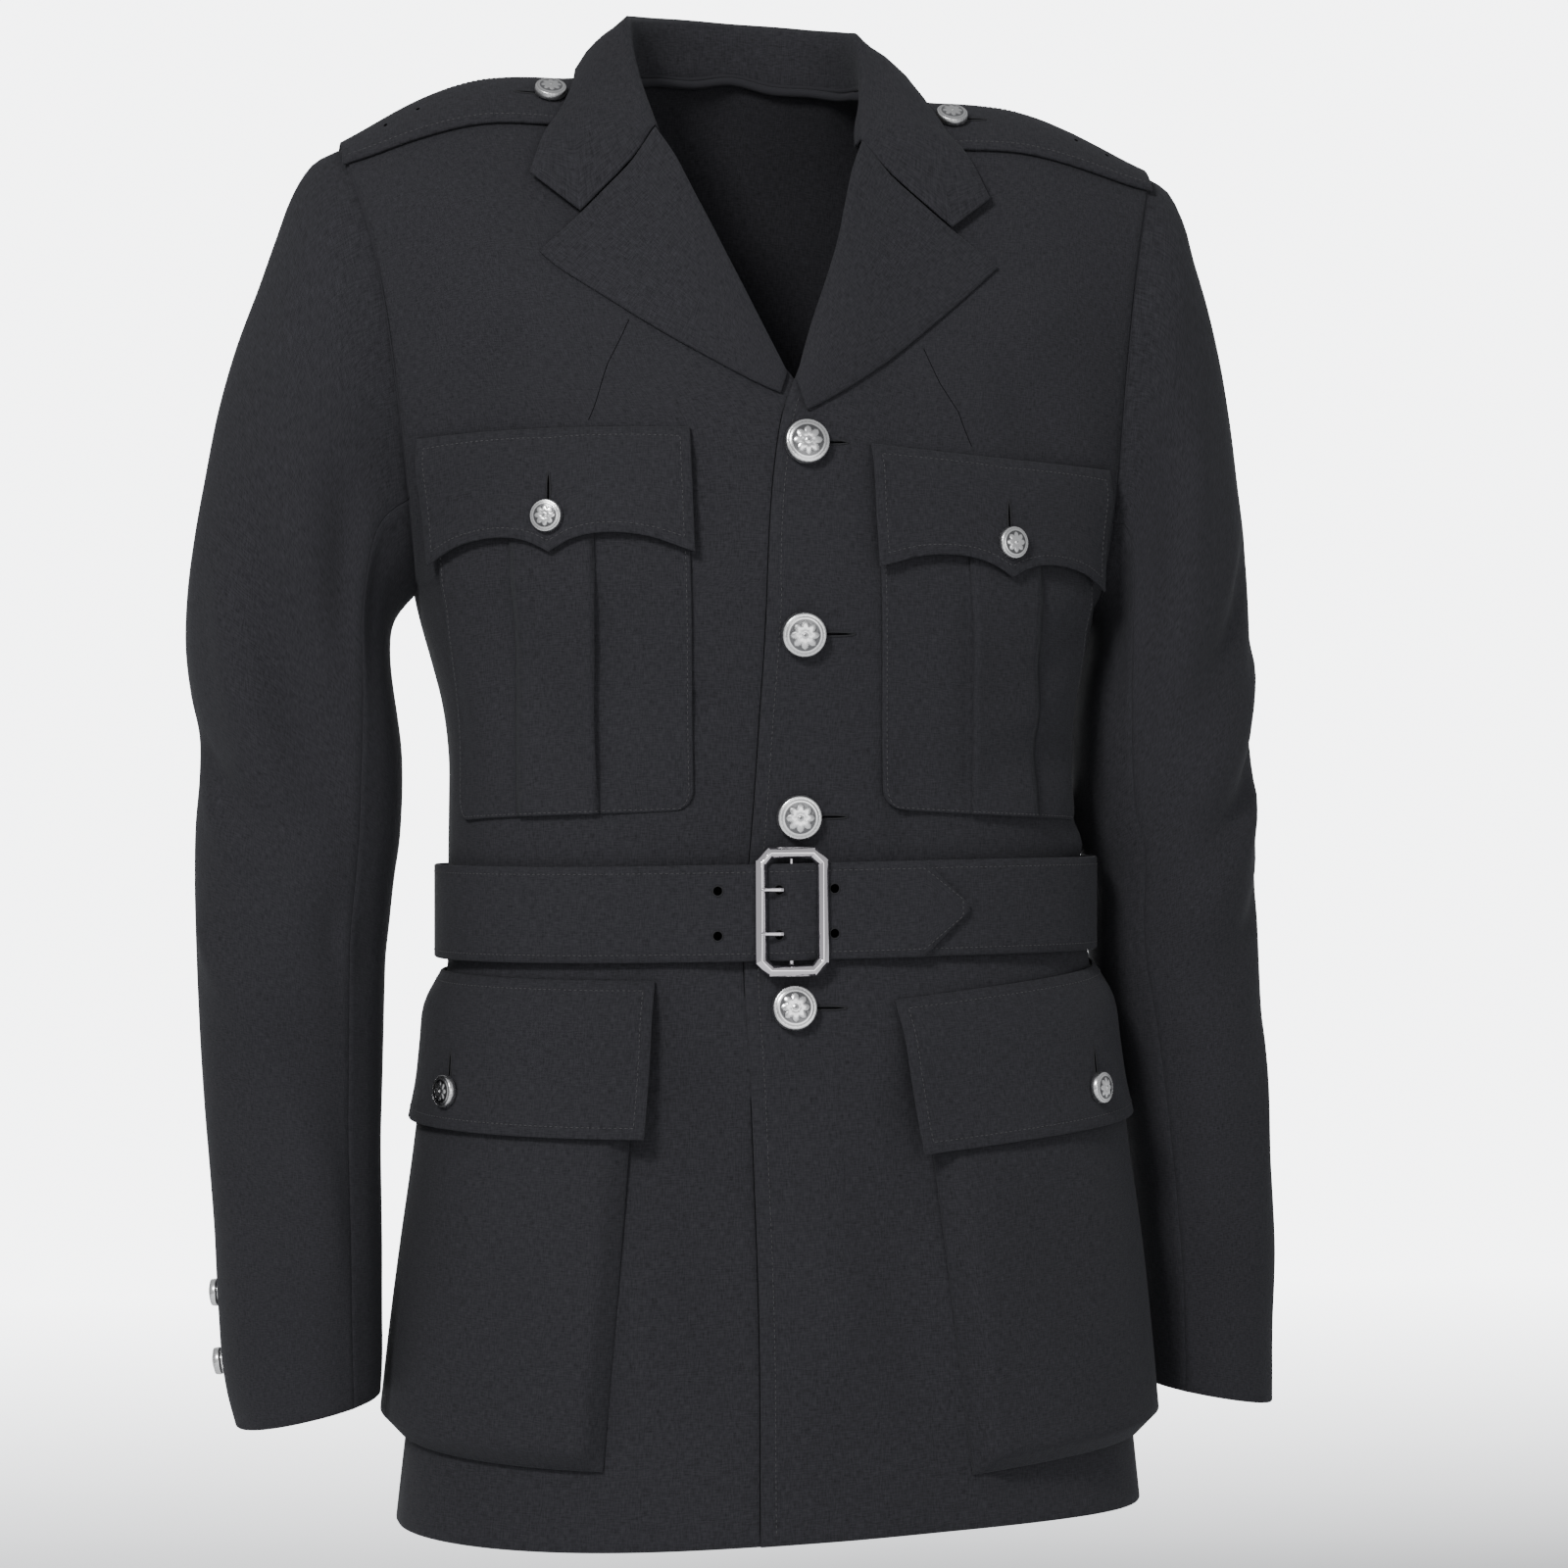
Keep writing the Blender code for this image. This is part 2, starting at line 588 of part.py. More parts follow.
def make_back():
    """The back, from side seam to side seam, up to the armholes, shoulder seams and neckline."""
    places, scales = neck_scale_table()

    def neck_scale(x):
        return np.interp(np.abs(x), places, scales, right=1.0)

    grid = []
    for kind, value in body_rows():
        if kind == "level":
            x, y, run = level_section(round(value * 1e5), True)
            z = np.full_like(x, value)
        else:
            x, y, z = chest_row(value, True, neck_scale)
            run = run_along(x, y, z)
        line = []
        for share in np.linspace(-1, 1, BACK_COLUMNS):
            reach = abs(share) * run[-1]
            point = (
                math.copysign(np.interp(reach, run, x), share), np.interp(reach, run, y), np.interp(reach, run, z),
            )
            line.append(point)
        grid.append(line)
    flat = np.array(grid)
    flat[..., 1] += SEAM_GAP / 2
    outer = posed(flat)
    plain = grid_normals(outer, (0.0, 0.0))
    normal = plain.copy()
    normal[:, 0, 1] = 0.0
    normal[:, -1, 1] = 0.0
    on_seam = np.abs(flat[-1, :, 0]) > NECK_HALF_WIDTH
    normal[-1, on_seam, 1] = 0.0
    armhole = slice(len(LEVEL_ROWS) + 1, -1)
    normal[armhole, 0] = plain[armhole, 0]
    normal[armhole, -1] = plain[armhole, -1]
    normal /= np.linalg.norm(normal, axis=-1, keepdims=True)
    return wall("back", outer, outer - normal * CLOTH)


def make_lapel(side):
    """One lapel: the facing turned back over the front, from the roll to its outer edge."""
    table = LAPEL_LEFT if side > 0 else LAPEL_RIGHT
    rows = np.linspace(0, len(table) - 1, LAPEL_ROWS)
    index = np.arange(len(table))
    keyed = np.column_stack([index, table])
    outer, inner = [], []
    for row in rows:
        roll_x, roll_z, edge_x, edge_z = (float(read_table(keyed, k, row)) for k in (1, 2, 3, 4))
        outer_line, inner_line = [], []
        width = math.hypot(edge_x - roll_x, edge_z - roll_z)
        near_gorge = float(smoothstep(row, len(table) - 3.5, len(table) - 1.0))
        for share, dip in LAPEL_ACROSS:
            x = roll_x + (edge_x - roll_x) * share
            z = roll_z + (edge_z - roll_z) * share + dip * MM * near_gorge
            bulge = LAPEL_BULGE * min(width / (40 * MM), 1.0) * math.sin(math.pi * min(share + 0.12, 1.0)) ** 0.8
            base = LAY_GAP + bulge + (float(front_lift(abs(x), z)) if side > 0 else 0.0)
            inner_line.append(on_front(x, z, base))
            outer_line.append(on_front(x, z, base + CLOTH))
        outer.append(outer_line)
        inner.append(inner_line)
    return wall("lapel_left" if side > 0 else "lapel_right", np.array(outer), np.array(inner))


def gorge_point(side, share, dip):
    """Place on the collar's side of the gorge seam, at a share of the lapel's width."""
    roll_x, roll_z, edge_x, edge_z = (LAPEL_LEFT if side > 0 else LAPEL_RIGHT)[-1]
    along = np.array([edge_x - roll_x, edge_z - roll_z])
    upward = np.array([-along[1] * side, along[0] * side]) / np.linalg.norm(along)
    place = np.array([roll_x, roll_z]) + along * share + np.array([0.0, dip * MM]) + upward * GORGE_GAP
    return place[0], place[1]


def collar_station(row, side):
    """Middle line of the collar at one station: stand foot, stand, fold, fall and outer edge."""
    mirror = np.array([side, 1, 1])
    foot, roll = np.array(row[:3]) * MM * mirror, np.array(row[3:6]) * MM * mirror
    if row[8] == ON_SHOULDER:
        edge = on_shoulder(side, row[6] * MM, row[7] * MM, COLLAR_SHOULDER_LIFT)
    else:
        edge = on_front(row[6] * MM * side, row[7] * MM, COLLAR_EDGE_LIFT, row[8] == ON_BACK)
    reach = math.hypot(roll[0], roll[1])
    outward = np.array([roll[0] / reach, roll[1] / reach, 0.0])
    down = np.array([0, 0, -COLLAR_FOLD])
    top = roll + down - outward * 0.3 * MM
    shed = posed(roll + outward * COLLAR_FOLD * 1.9 + down * 1.2)
    line = [posed(foot), posed((foot + top) / 2), posed(top), posed(roll + outward * COLLAR_FOLD * 0.7), shed]
    bulge = np.array([outward[0], outward[1], 0.6]) * 2.5 * MM
    for share in (0.33, 0.67):
        line.append(shed + (edge - shed) * share + bulge * math.sin(math.pi * share))
    return line + [edge]


def make_collar():
    """The collar: a stand round the neck, a soft roll and a fall with a leaf at each end."""
    stations = [collar_station(row, -1) for row in COLLAR[::-1]]
    stations += [collar_station(row, 1) for row in COLLAR[1:]]
    middle = np.array(stations)
    for end, side in ((0, -1), (-1, 1)):
        for column, k in ((5, 2), (6, 4)):
            x, z = gorge_point(side, *LAPEL_ACROSS[k])
            middle[end, column] = on_front(x, z, COLLAR_EDGE_LIFT - 0.5 * MM)
    normal = np.cross(np.gradient(middle, axis=0), np.gradient(middle, axis=1))
    normal /= np.linalg.norm(normal, axis=-1, keepdims=True)
    return wall("collar", middle + normal * CLOTH / 2, middle - normal * CLOTH / 2)


def sleeve_ring(side, place, angle):
    """Posed point of a sleeve: place runs along the table from 0 (armhole), angle 0 is outer, 90 is front."""
    table = SLEEVE_LEFT if side > 0 else SLEEVE_RIGHT
    keyed = np.column_stack([np.arange(len(table)) + 1.0, table])
    radians = math.radians(angle)
    power = 2 / SLEEVE_SQUARENESS
    outer_part = math.copysign(abs(math.cos(radians)) ** power, math.cos(radians))
    front_part = math.copysign(abs(math.sin(radians)) ** power, math.sin(radians))
    hole_power = 2 / ARMHOLE_SQUARENESS
    row = (1 + math.copysign(abs(math.cos(radians)) ** hole_power, math.cos(radians))) / 2
    depth = float(armhole_depth(row, radians < 0 or radians > math.pi))
    height = ARMPIT + (SHOULDER_TIP - ARMPIT) * row
    distance = float(read_table(ARMHOLE, 1, height)) + SEAM_GAP
    hole = posed((side * distance, -math.copysign(depth, front_part), height))
    if place <= 0:
        return hole
    values = [float(read_table(keyed, k, max(place, 1.0))) * MM for k in range(1, 7)]
    outer_x, outer_z, inner_x, inner_z, middle_y, half_depth = values
    ring = np.array([
        (outer_x + inner_x) / 2 + (outer_x - inner_x) / 2 * outer_part,
        middle_y - half_depth * front_part,
        (outer_z + inner_z) / 2 + (outer_z - inner_z) / 2 * outer_part,
    ])
    return hole + (ring - hole) * place if place < 1 else ring


def seam_angle(side, place):
    """Angle of the hind seam at a place along a sleeve."""
    table = SLEEVE_LEFT if side > 0 else SLEEVE_RIGHT
    keyed = np.column_stack([np.arange(len(table)) + 1.0, table])
    return float(read_table(keyed, 7, max(place, 1.0)))


def make_sleeve(side):
    """One sleeve in two pieces, top sleeve and under sleeve, open at the armhole and at the cuff."""
    table = SLEEVE_LEFT if side > 0 else SLEEVE_RIGHT
    places = np.linspace(0, len(table), SLEEVE_ROWS)
    word = "left" if side > 0 else "right"
    parts = {"sleeve_top_" + word: [], "sleeve_under_" + word: []}
    for place in places:
        hind = seam_angle(side, place)
        spans = (
            np.linspace(hind, FRONT_SEAM_ANGLE, TOP_COLUMNS),
            np.linspace(FRONT_SEAM_ANGLE, hind + 360, UNDER_COLUMNS),
        )
        for key, span in zip(parts, spans):
            trim = math.degrees(SEAM_GAP / 2 / SLEEVE_RADIUS)
            angles = span.copy()
            angles[0] += trim
            angles[-1] -= trim
            line = []
            for angle in angles:
                turned = (angle + 180) % 360 - 180
                line.append(sleeve_ring(side, place, turned))
            parts[key].append(line)
    for key, rows in parts.items():
        outer = np.array(rows)
        centres = np.array([
            (sleeve_ring(side, place, 0.0) + sleeve_ring(side, place, 180.0)) / 2 for place in places
        ])
        along = np.gradient(outer, axis=0)
        around = np.gradient(outer, axis=1)
        normal = np.cross(along, around)
        normal /= np.maximum(np.linalg.norm(normal, axis=-1, keepdims=True), 1e-12)
        away = outer - centres[:, None, :]
        normal *= np.sign((normal * away).sum(axis=-1, keepdims=True))
        for column in (0, -1):
            normal[:, column] = away[:, column] / np.linalg.norm(away[:, column], axis=-1, keepdims=True)
        first = away[0] / np.linalg.norm(away[0], axis=-1, keepdims=True)
        first[:, 0] = 0.0
        normal[0] = first / np.linalg.norm(first, axis=-1, keepdims=True)
        normal /= np.linalg.norm(normal, axis=-1, keepdims=True)
        wall(key, outer, outer - normal * SLEEVE_CLOTH)


def make_epaulette(side):
    """One shoulder strap, from the armhole seam to under the collar."""
    outer, inner = [], []
    for distance in np.linspace(EPAULETTE[0, 0], EPAULETTE[-1, 0], 10):
        middle = float(read_table(EPAULETTE, 1, distance))
        half = float(read_table(EPAULETTE, 2, distance))
        places = [middle + half * share for share in np.linspace(-1, 1, 6)]
        inner.append([on_shoulder(side, distance, place, POCKET_GAP) for place in places])
        outer.append([on_shoulder(side, distance, place, POCKET_GAP + EPAULETTE_CLOTH) for place in places])
    return wall("epaulette_left" if side > 0 else "epaulette_right", np.array(outer), np.array(inner))


def make_chest_pocket(word):
    """A patch pocket with a raised box pleat down its middle, and its scalloped flap."""
    side, inner_girth, outer_girth, top, bottom, drop = CHEST_POCKETS[word]
    low, high = inner_girth * MM, outer_girth * MM
    middle, half = (low + high) / 2, (high - low) / 2
    base = POCKET_GAP
    edges = [-1.0, -0.9, -0.7, -0.5, -(PLEAT_HALF + 1 * MM) / half, -PLEAT_HALF / half, -0.1]
    shares = edges + [-e for e in reversed(edges)]
    outer, inner = [], []
    rows = np.linspace(bottom * MM, top * MM, 11)
    for height in rows:
        outer_line, inner_line = [], []
        corner = smoothstep(rows[0] + 10 * MM - height, 0.0, 10 * MM)
        for share in shares:
            girth = (middle + half * share * (1 - 0.03 * corner)) * side
            rise = PLEAT_RISE if abs(share) <= PLEAT_HALF / half + 1e-9 else 0.0
            level = height - drop * MM * (1 + share) / 2
            inner_line.append(lay_girth(girth, level, base + 0.02 * rise))
            outer_line.append(lay_girth(girth, level, base + POCKET_CLOTH + rise))
        outer.append(outer_line)
        inner.append(inner_line)
    wall("chest_pocket_" + word, np.array(outer), np.array(inner))

    outer, inner = [], []
    flap_half = half + CHEST_FLAP_WIDTH_SPARE
    flap_base = base + POCKET_CLOTH + PLEAT_RISE + POCKET_GAP
    flap_top = top * MM + CHEST_FLAP_TOP
    for down in np.linspace(0, 1, 6):
        outer_line, inner_line = [], []
        for share in np.linspace(0, 1, 17):
            depth = float(read_table(SCALLOP, 1, share))
            girth = (middle + flap_half * (2 * share - 1)) * side
            level = flap_top - depth * down - drop * MM * share
            near_top = smoothstep(down, 0.0, 0.2)
            lift = base + (flap_base - base) * float(near_top)
            inner_line.append(lay_girth(girth, level, lift))
            outer_line.append(lay_girth(girth, level, lift + POCKET_CLOTH))
        outer.append(outer_line)
        inner.append(inner_line)
    wall("chest_flap_" + word, np.array(outer), np.array(inner))


def hip_rise(across, down):
    """Rise of a hip pocket off the skirt, from its place across (0 to 1) and down (0 top, 1 bottom)."""
    side_fall = min(across, 1 - across) / 0.05
    bottom_fall = (1 - down) / 0.04
    full = HIP_RISE_TOP + (HIP_RISE - HIP_RISE_TOP) * float(smoothstep(down, 0.0, 0.75))
    return full * min(side_fall, bottom_fall, 1.0)


def hip_place(word, across, down, spare=0.0):
    """Girth and height on a hip pocket, from its place across and down; spare widens it at both sides."""
    side, inner_top, inner_bottom, outer, top_in, top_out, bottom_in, bottom_out = HIP_POCKETS[word]
    inner = (inner_top + (inner_bottom - inner_top) * down) * MM - spare
    reach = outer * MM + spare
    top = (top_in + (top_out - top_in) * across) * MM
    bottom = (bottom_in + (bottom_out - bottom_in) * across) * MM
    return side * (inner + (reach - inner) * across), top + (bottom - top) * down


def make_hip_pocket(word):
    """A bellows pocket, hollow behind, that stands proud of the skirt, and its straight flap."""
    base = POCKET_GAP
    outer, inner = [], []
    for down in (1.0, 0.96, 0.8, 0.6, 0.4, 0.25, HIP_MOUTH):
        outer_line, inner_line = [], []
        for across in HIP_COLUMNS:
            girth, level = hip_place(word, across, down)
            rise = hip_rise(across, down) + (HIP_HEM_SLACK if down == 1.0 else 0.0)
            inner_line.append(lay_girth(girth, level, base + rise))
            outer_line.append(lay_girth(girth, level, base + rise + CLOTH))
        outer.append(outer_line)
        inner.append(inner_line)
    wall("hip_pocket_" + word, np.array(outer), np.array(inner))

    outer, inner = [], []
    depth_share = HIP_FLAP_DEPTH / abs((HIP_POCKETS[word][6] - HIP_POCKETS[word][4]) * MM)
    for part in np.linspace(0, 1, 5):
        outer_line, inner_line = [], []
        down = depth_share * part - 0.01
        for across in np.linspace(0, 1, 10):
            girth, level = hip_place(word, across, down, HIP_FLAP_SPARE)
            full = HIP_RISE_TOP + (HIP_RISE - HIP_RISE_TOP) * float(smoothstep(down, 0.0, 0.75))
            lift = POCKET_GAP + (full + CLOTH + 1.4 * POCKET_GAP) * float(smoothstep(part, -0.04, 0.22))
            inner_line.append(lay_girth(girth, level, lift))
            outer_line.append(lay_girth(girth, level, lift + POCKET_CLOTH))
        outer.append(outer_line)
        inner.append(inner_line)
    wall("hip_flap_" + word, np.array(outer), np.array(inner))


def turned_grid(centre, normal, up, profile, sides):
    """Rings of points of a turned shape: each profile row is radius and height along the normal."""
    normal = normal / np.linalg.norm(normal)
    first = np.cross(up, normal)
    first /= np.linalg.norm(first)
    second = np.cross(normal, first)
    rings = []
    for radius, height in profile:
        ring = []
        for k in range(sides):
            angle = 2 * math.pi * k / sides
            ring.append(centre + normal * height + (first * math.cos(angle) + second * math.sin(angle)) * radius)
        rings.append(ring)
    return np.array(rings)


def make_button(name, centre, normal, size):
    """A domed button with a rolled rim and a flat back, standing on its cloth."""
    radius, height = size[0] / 2, size[1]
    profile = (
        (radius * 0.80, 0.0), (radius * 0.97, height * 0.16), (radius, height * 0.34),
        (radius * 0.90, height * 0.50), (radius * 0.66, height * 0.80), (radius * 0.34, height * 0.96),
    )
    rings = turned_grid(centre, normal, np.array([0.0, 0.0, 1.0]), profile, BUTTON_SIDES)
    rows, sides = rings.shape[:2]
    vertices = list(rings.reshape(-1, 3)) + [centre, centre + normal / np.linalg.norm(normal) * height]
    back, tip = rows * sides, rows * sides + 1
    faces = []
    for c in range(sides):
        d = (c + 1) % sides
        faces.append((back, d, c))
        faces.append((tip, (rows - 1) * sides + c, (rows - 1) * sides + d))
        for r in range(rows - 1):
            faces.append((r * sides + c, r * sides + d, (r + 1) * sides + d, (r + 1) * sides + c))
    return finish(name, vertices, faces, "silver")


def button_on_girth(name, girth, height, lift, size):
    """A button on the front, at a girth, a height and a lift."""
    base = lay_girth(girth, height, lift)
    normal = lay_girth(girth, height, lift + 10 * MM) - base
    make_button(name, base, normal, size)


def make_buttons():
    """All the buttons: front, pocket flaps, epaulettes and cuffs."""
    for k, (girth, height) in enumerate(FRONT_BUTTONS, start=1):
        button_on_girth(f"button_front_{k}", girth * MM, height * MM, BUTTON_SEAT, FRONT_BUTTON)
    for word, (side, low, high, top, _, drop) in CHEST_POCKETS.items():
        lift = 2 * POCKET_GAP + 2 * POCKET_CLOTH + PLEAT_RISE + BUTTON_SEAT
        height = top * MM + CHEST_FLAP_TOP - (46 + drop / 2) * MM
        button_on_girth(f"button_chest_{word}", side * (low + high) / 2 * MM, height, lift, SMALL_BUTTON)
    for word in HIP_POCKETS:
        girth, level = hip_place(word, 0.5, HIP_BUTTON_DOWN, HIP_FLAP_SPARE)
        full = HIP_RISE_TOP + (HIP_RISE - HIP_RISE_TOP) * float(smoothstep(HIP_BUTTON_DOWN, 0.0, 0.75))
        lift = 2.4 * POCKET_GAP + full + CLOTH + POCKET_CLOTH + BUTTON_SEAT
        button_on_girth(f"button_hip_{word}", girth, level, lift, SMALL_BUTTON)
    for side, word in ((-1, "right"), (1, "left")):
        distance, forward = EPAULETTE_BUTTON
        lift = POCKET_GAP + EPAULETTE_CLOTH + BUTTON_SEAT
        base = on_shoulder(side, distance, forward, lift)
        normal = on_shoulder(side, distance, forward, lift + 10 * MM) - base
        make_button(f"button_epaulette_{word}", base, normal, SMALL_BUTTON)
        for k, place in enumerate(CUFF_BUTTON_PLACES, start=1):
            angle = seam_angle(side, place) + 9
            here = sleeve_ring(side, place, angle)
            along = sleeve_ring(side, place + 0.2, angle) - sleeve_ring(side, place - 0.2, angle)
            around = sleeve_ring(side, place, angle + 3) - sleeve_ring(side, place, angle - 3)
            centre = (sleeve_ring(side, place, 0.0) + sleeve_ring(side, place, 180.0)) / 2
            normal = cross_normal(along, around, here - centre)
            make_button(f"button_cuff_{word}_{k}", here + normal * BUTTON_SEAT / 2, normal, CUFF_BUTTON)


def whole_girth(height):
    """Whole girth of the body at a height."""
    key = round(height * 1e5)
    return 2 * (level_section(key, False)[2][-1] + level_section(key, True)[2][-1])


def belt_point(girth, height, lift):
    """Posed point of the stiff belt: straight up and down, at a signed girth along its middle."""
    base = at_girth(girth, WAIST)
    outward = on_girth(girth, WAIST, 1.0) - base
    outward[2] = 0.0
    return base + outward / np.linalg.norm(outward) * lift + np.array([0.0, 0.0, height - WAIST])


def belt_lift(girth, whole):
    """Lift of the belt's inner face at a girth: close in front, a little off the sides and the back."""
    off_centre = min(girth, whole - girth)
    return BELT_LIFT_FRONT + (BELT_LIFT_SIDE - BELT_LIFT_FRONT) * float(smoothstep(off_centre, 60 * MM, 170 * MM))


def make_belt():
    """The belt: from the buckle's bar round the back, through the buckle and on to its pointed end."""
    whole = whole_girth(WAIST)
    start, end = BUCKLE_AT + 4 * MM, whole + BELT_TIP
    lap_from = whole - BELT_LAP_FROM
    over_bar = [whole + BUCKLE_AT + offset * MM for offset in (-12, -8, -4, 0, 4, 8, 12)]
    stations = list(np.linspace(start, lap_from, BELT_STATIONS)[:-1])
    stations += list(np.linspace(lap_from, over_bar[0], 7)[:-1]) + over_bar
    stations += list(np.linspace(over_bar[-1], end, 10)[1:])
    outer, inner = [], []
    for run in stations:
        girth = run if run <= whole / 2 else run - whole
        lapped = float(smoothstep(run, lap_from, whole - BELT_LAP_FULL))
        lift = belt_lift(run if run <= whole else run - whole, whole)
        lift += lapped * (BELT_CLOTH + BELT_PLY_GAP)
        hump = 1 - min(abs(run - whole - BUCKLE_AT) / BELT_HUMP_REACH, 1.0)
        lift += BELT_HUMP * float(smoothstep(hump, 0.0, 0.6))
        half = BELT_WIDTH / 2
        to_tip = end - run
        if to_tip < BELT_TIP_LENGTH:
            half *= 0.06 + 0.94 * to_tip / BELT_TIP_LENGTH
        outer_line, inner_line = [], []
        for share in (-1.0, 0.0, 1.0):
            height = WAIST + half * share
            inner_line.append(belt_point(girth, height, lift))
            outer_line.append(belt_point(girth, height, lift + BELT_CLOTH))
        outer.append(outer_line)
        inner.append(inner_line)
    return wall("belt", np.array(outer), np.array(inner))


def buckle_axes():
    """Centre of the buckle on the belt, and its across, up and outward directions."""
    lift = BELT_LIFT_FRONT + 2 * BELT_CLOTH + 2 * BELT_PLY_GAP
    centre = on_girth(BUCKLE_AT, WAIST, lift)
    out = on_girth(BUCKLE_AT, WAIST, lift + 10 * MM) - centre
    out /= np.linalg.norm(out)
    across = np.cross(np.array([0.0, 0.0, 1.0]), out)
    across = -across / np.linalg.norm(across)
    across = across if across[0] > 0 else -across
    up = np.cross(out, across)
    up = up if up[2] > 0 else -up
    return centre, across, up, out


def make_buckle():
    """The buckle: an eight-sided bevelled frame, a bar for the belt's end and two prongs."""
    centre, across, up, out = buckle_axes()
    half_w, half_h, cut = BUCKLE_WIDTH / 2, BUCKLE_HEIGHT / 2, BUCKLE_CORNER

    def loop(inset, height):
        w, h = half_w - inset, half_h - inset
        c = max(cut - inset * 0.6, 1.2 * MM)
        corners = ((w - c, h), (w, h - c), (w, c - h), (w - c, -h), (c - w, -h), (-w, c - h), (-w, h - c), (c - w, h))
        return [centre + across * x + up * y + out * height for x, y in corners]

    rings = [
        loop(0.0, 0.0), loop(0.2 * MM, BUCKLE_DEPTH * 0.45), loop(BUCKLE_BAR * 0.42, BUCKLE_DEPTH),
        loop(BUCKLE_BAR * 0.62, BUCKLE_DEPTH), loop(BUCKLE_BAR, BUCKLE_DEPTH * 0.4), loop(BUCKLE_BAR, 0.0),
    ]
    vertices = [point for ring in rings for point in ring]
    faces = []
    count = len(rings)
    for r in range(count):
        for c in range(8):
            a, b = r * 8 + c, r * 8 + (c + 1) % 8
            d, e = ((r + 1) % count) * 8 + (c + 1) % 8, ((r + 1) % count) * 8 + c
            faces.append((a, b, d, e))
    finish("buckle_frame", vertices, faces, "chrome", smooth=False)

    def box(name, low, high):
        spots = []
        for z in (low[2], high[2]):
            for x, y in ((low[0], low[1]), (high[0], low[1]), (high[0], high[1]), (low[0], high[1])):
                spots.append(centre + across * x + up * y + out * z)
        sides = [(0, 3, 2, 1), (4, 5, 6, 7), (0, 1, 5, 4), (1, 2, 6, 5), (2, 3, 7, 6), (3, 0, 4, 7)]
        return finish(name, spots, sides, "chrome", smooth=False)

    bar_reach = half_h - 2.0 * MM
    bar_low = -BUCKLE_BAR_DROP - BUCKLE_BAR_THICK
    box("buckle_bar", (-BUCKLE_BAR_HALF, -bar_reach, bar_low), (BUCKLE_BAR_HALF, bar_reach, -BUCKLE_BAR_DROP))
    for word, sign in (("upper", 1), ("lower", -1)):
        y = sign * PRONG_OFF_MIDDLE
        low, high = BUCKLE_DEPTH + SEAM_GAP, BUCKLE_DEPTH + SEAM_GAP + PRONG_THICK
        box("buckle_prong_" + word, (PRONG_TIP - half_w, y - PRONG_HALF, low), (-PRONG_ROOT, y + PRONG_HALF, high))


def main():
    """Build every piece of the tunic."""
    for existing in list(bpy.data.objects):
        bpy.data.objects.remove(existing)
    make_back()
    for side in (-1, 1):
        make_front(side)
        make_lapel(side)
        make_sleeve(side)
        make_epaulette(side)
    make_collar()
    for word in ("right", "left"):
        make_chest_pocket(word)
        make_hip_pocket(word)
    make_belt()
    make_buckle()
    make_buttons()


if __name__ == "__main__":
    main()
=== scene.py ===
"""Looks of the police uniform tunic: fine cloth shells with soft creases, stitching, relief buttons and buckle.

The front faces -Y, +Z is up, +X is the wearer's left, and the origin is the centre of the neck base.
"""
import logging
import math
from dataclasses import dataclass
from functools import lru_cache

import bpy
import numpy as np
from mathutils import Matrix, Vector

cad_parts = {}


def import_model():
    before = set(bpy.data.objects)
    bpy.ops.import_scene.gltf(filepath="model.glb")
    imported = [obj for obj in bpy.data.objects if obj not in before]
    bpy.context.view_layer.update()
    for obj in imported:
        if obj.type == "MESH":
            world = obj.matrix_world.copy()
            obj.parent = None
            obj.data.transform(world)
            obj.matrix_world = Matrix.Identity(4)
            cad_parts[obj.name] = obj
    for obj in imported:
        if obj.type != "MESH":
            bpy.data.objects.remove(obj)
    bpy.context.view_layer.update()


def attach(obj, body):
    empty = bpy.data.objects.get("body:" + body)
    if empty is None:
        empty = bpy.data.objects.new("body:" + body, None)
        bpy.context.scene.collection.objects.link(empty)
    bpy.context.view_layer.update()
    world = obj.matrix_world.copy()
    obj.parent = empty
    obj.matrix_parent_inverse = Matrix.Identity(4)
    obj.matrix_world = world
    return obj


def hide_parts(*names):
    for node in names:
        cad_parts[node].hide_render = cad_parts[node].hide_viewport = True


LOG = logging.getLogger("tunic")

MM = 0.001

# Cloth and seams
CLOTH = 2.0 * MM
POCKET_CLOTH = 1.6 * MM
SEAM_GAP = -0.1 * MM
LAY_GAP = 0.6 * MM
POCKET_GAP = 0.9 * MM
OVERLAP_LIFT = CLOTH + 0.6 * MM
PROBE = 1.0 * MM

# Heights, measured from the neck base
ARMPIT = -291 * MM
SHOULDER_TIP = -48 * MM
WAIST = -456 * MM

# Girth shape of the body: height, half width, front depth, back depth
BODY = np.array([
    (-786, 205, 128, 130),
    (-720, 198, 125, 126),
    (-678, 194, 123, 123),
    (-619, 188, 120, 120),
    (-565, 184, 117, 117),
    (-518, 181, 115, 113),
    (-485, 176.5, 111, 105.5),
    (-455, 175, 110, 104),
    (-427, 173.5, 110, 103.5),
    (-398, 171.5, 112, 103),
    (-367, 171, 116, 107),
    (-336, 176, 121, 112),
    (-310, 183, 125, 116),
    (-291, 187, 127, 119),
]) * MM
HALF_WIDTH, FRONT_DEPTH, BACK_DEPTH = 1, 2, 3
BODY_SQUARENESS = 2.35

# Rows of the panels: heights up to the armpit, then shares of the way from the armpit to the shoulder line
LEVEL_ROWS = (
    -786, -758, -727, -695, -662, -628, -594, -560, -528, -500, -476, -452, -428, -403, -377, -350, -324, -305,
)
CHEST_ROWS = (0.0, 0.03, 0.07, 0.13, 0.21, 0.30, 0.40, 0.50, 0.60, 0.70, 0.79, 0.87, 0.93, 0.97, 1.0)
FRONT_COLUMNS = 13
BACK_COLUMNS = 23

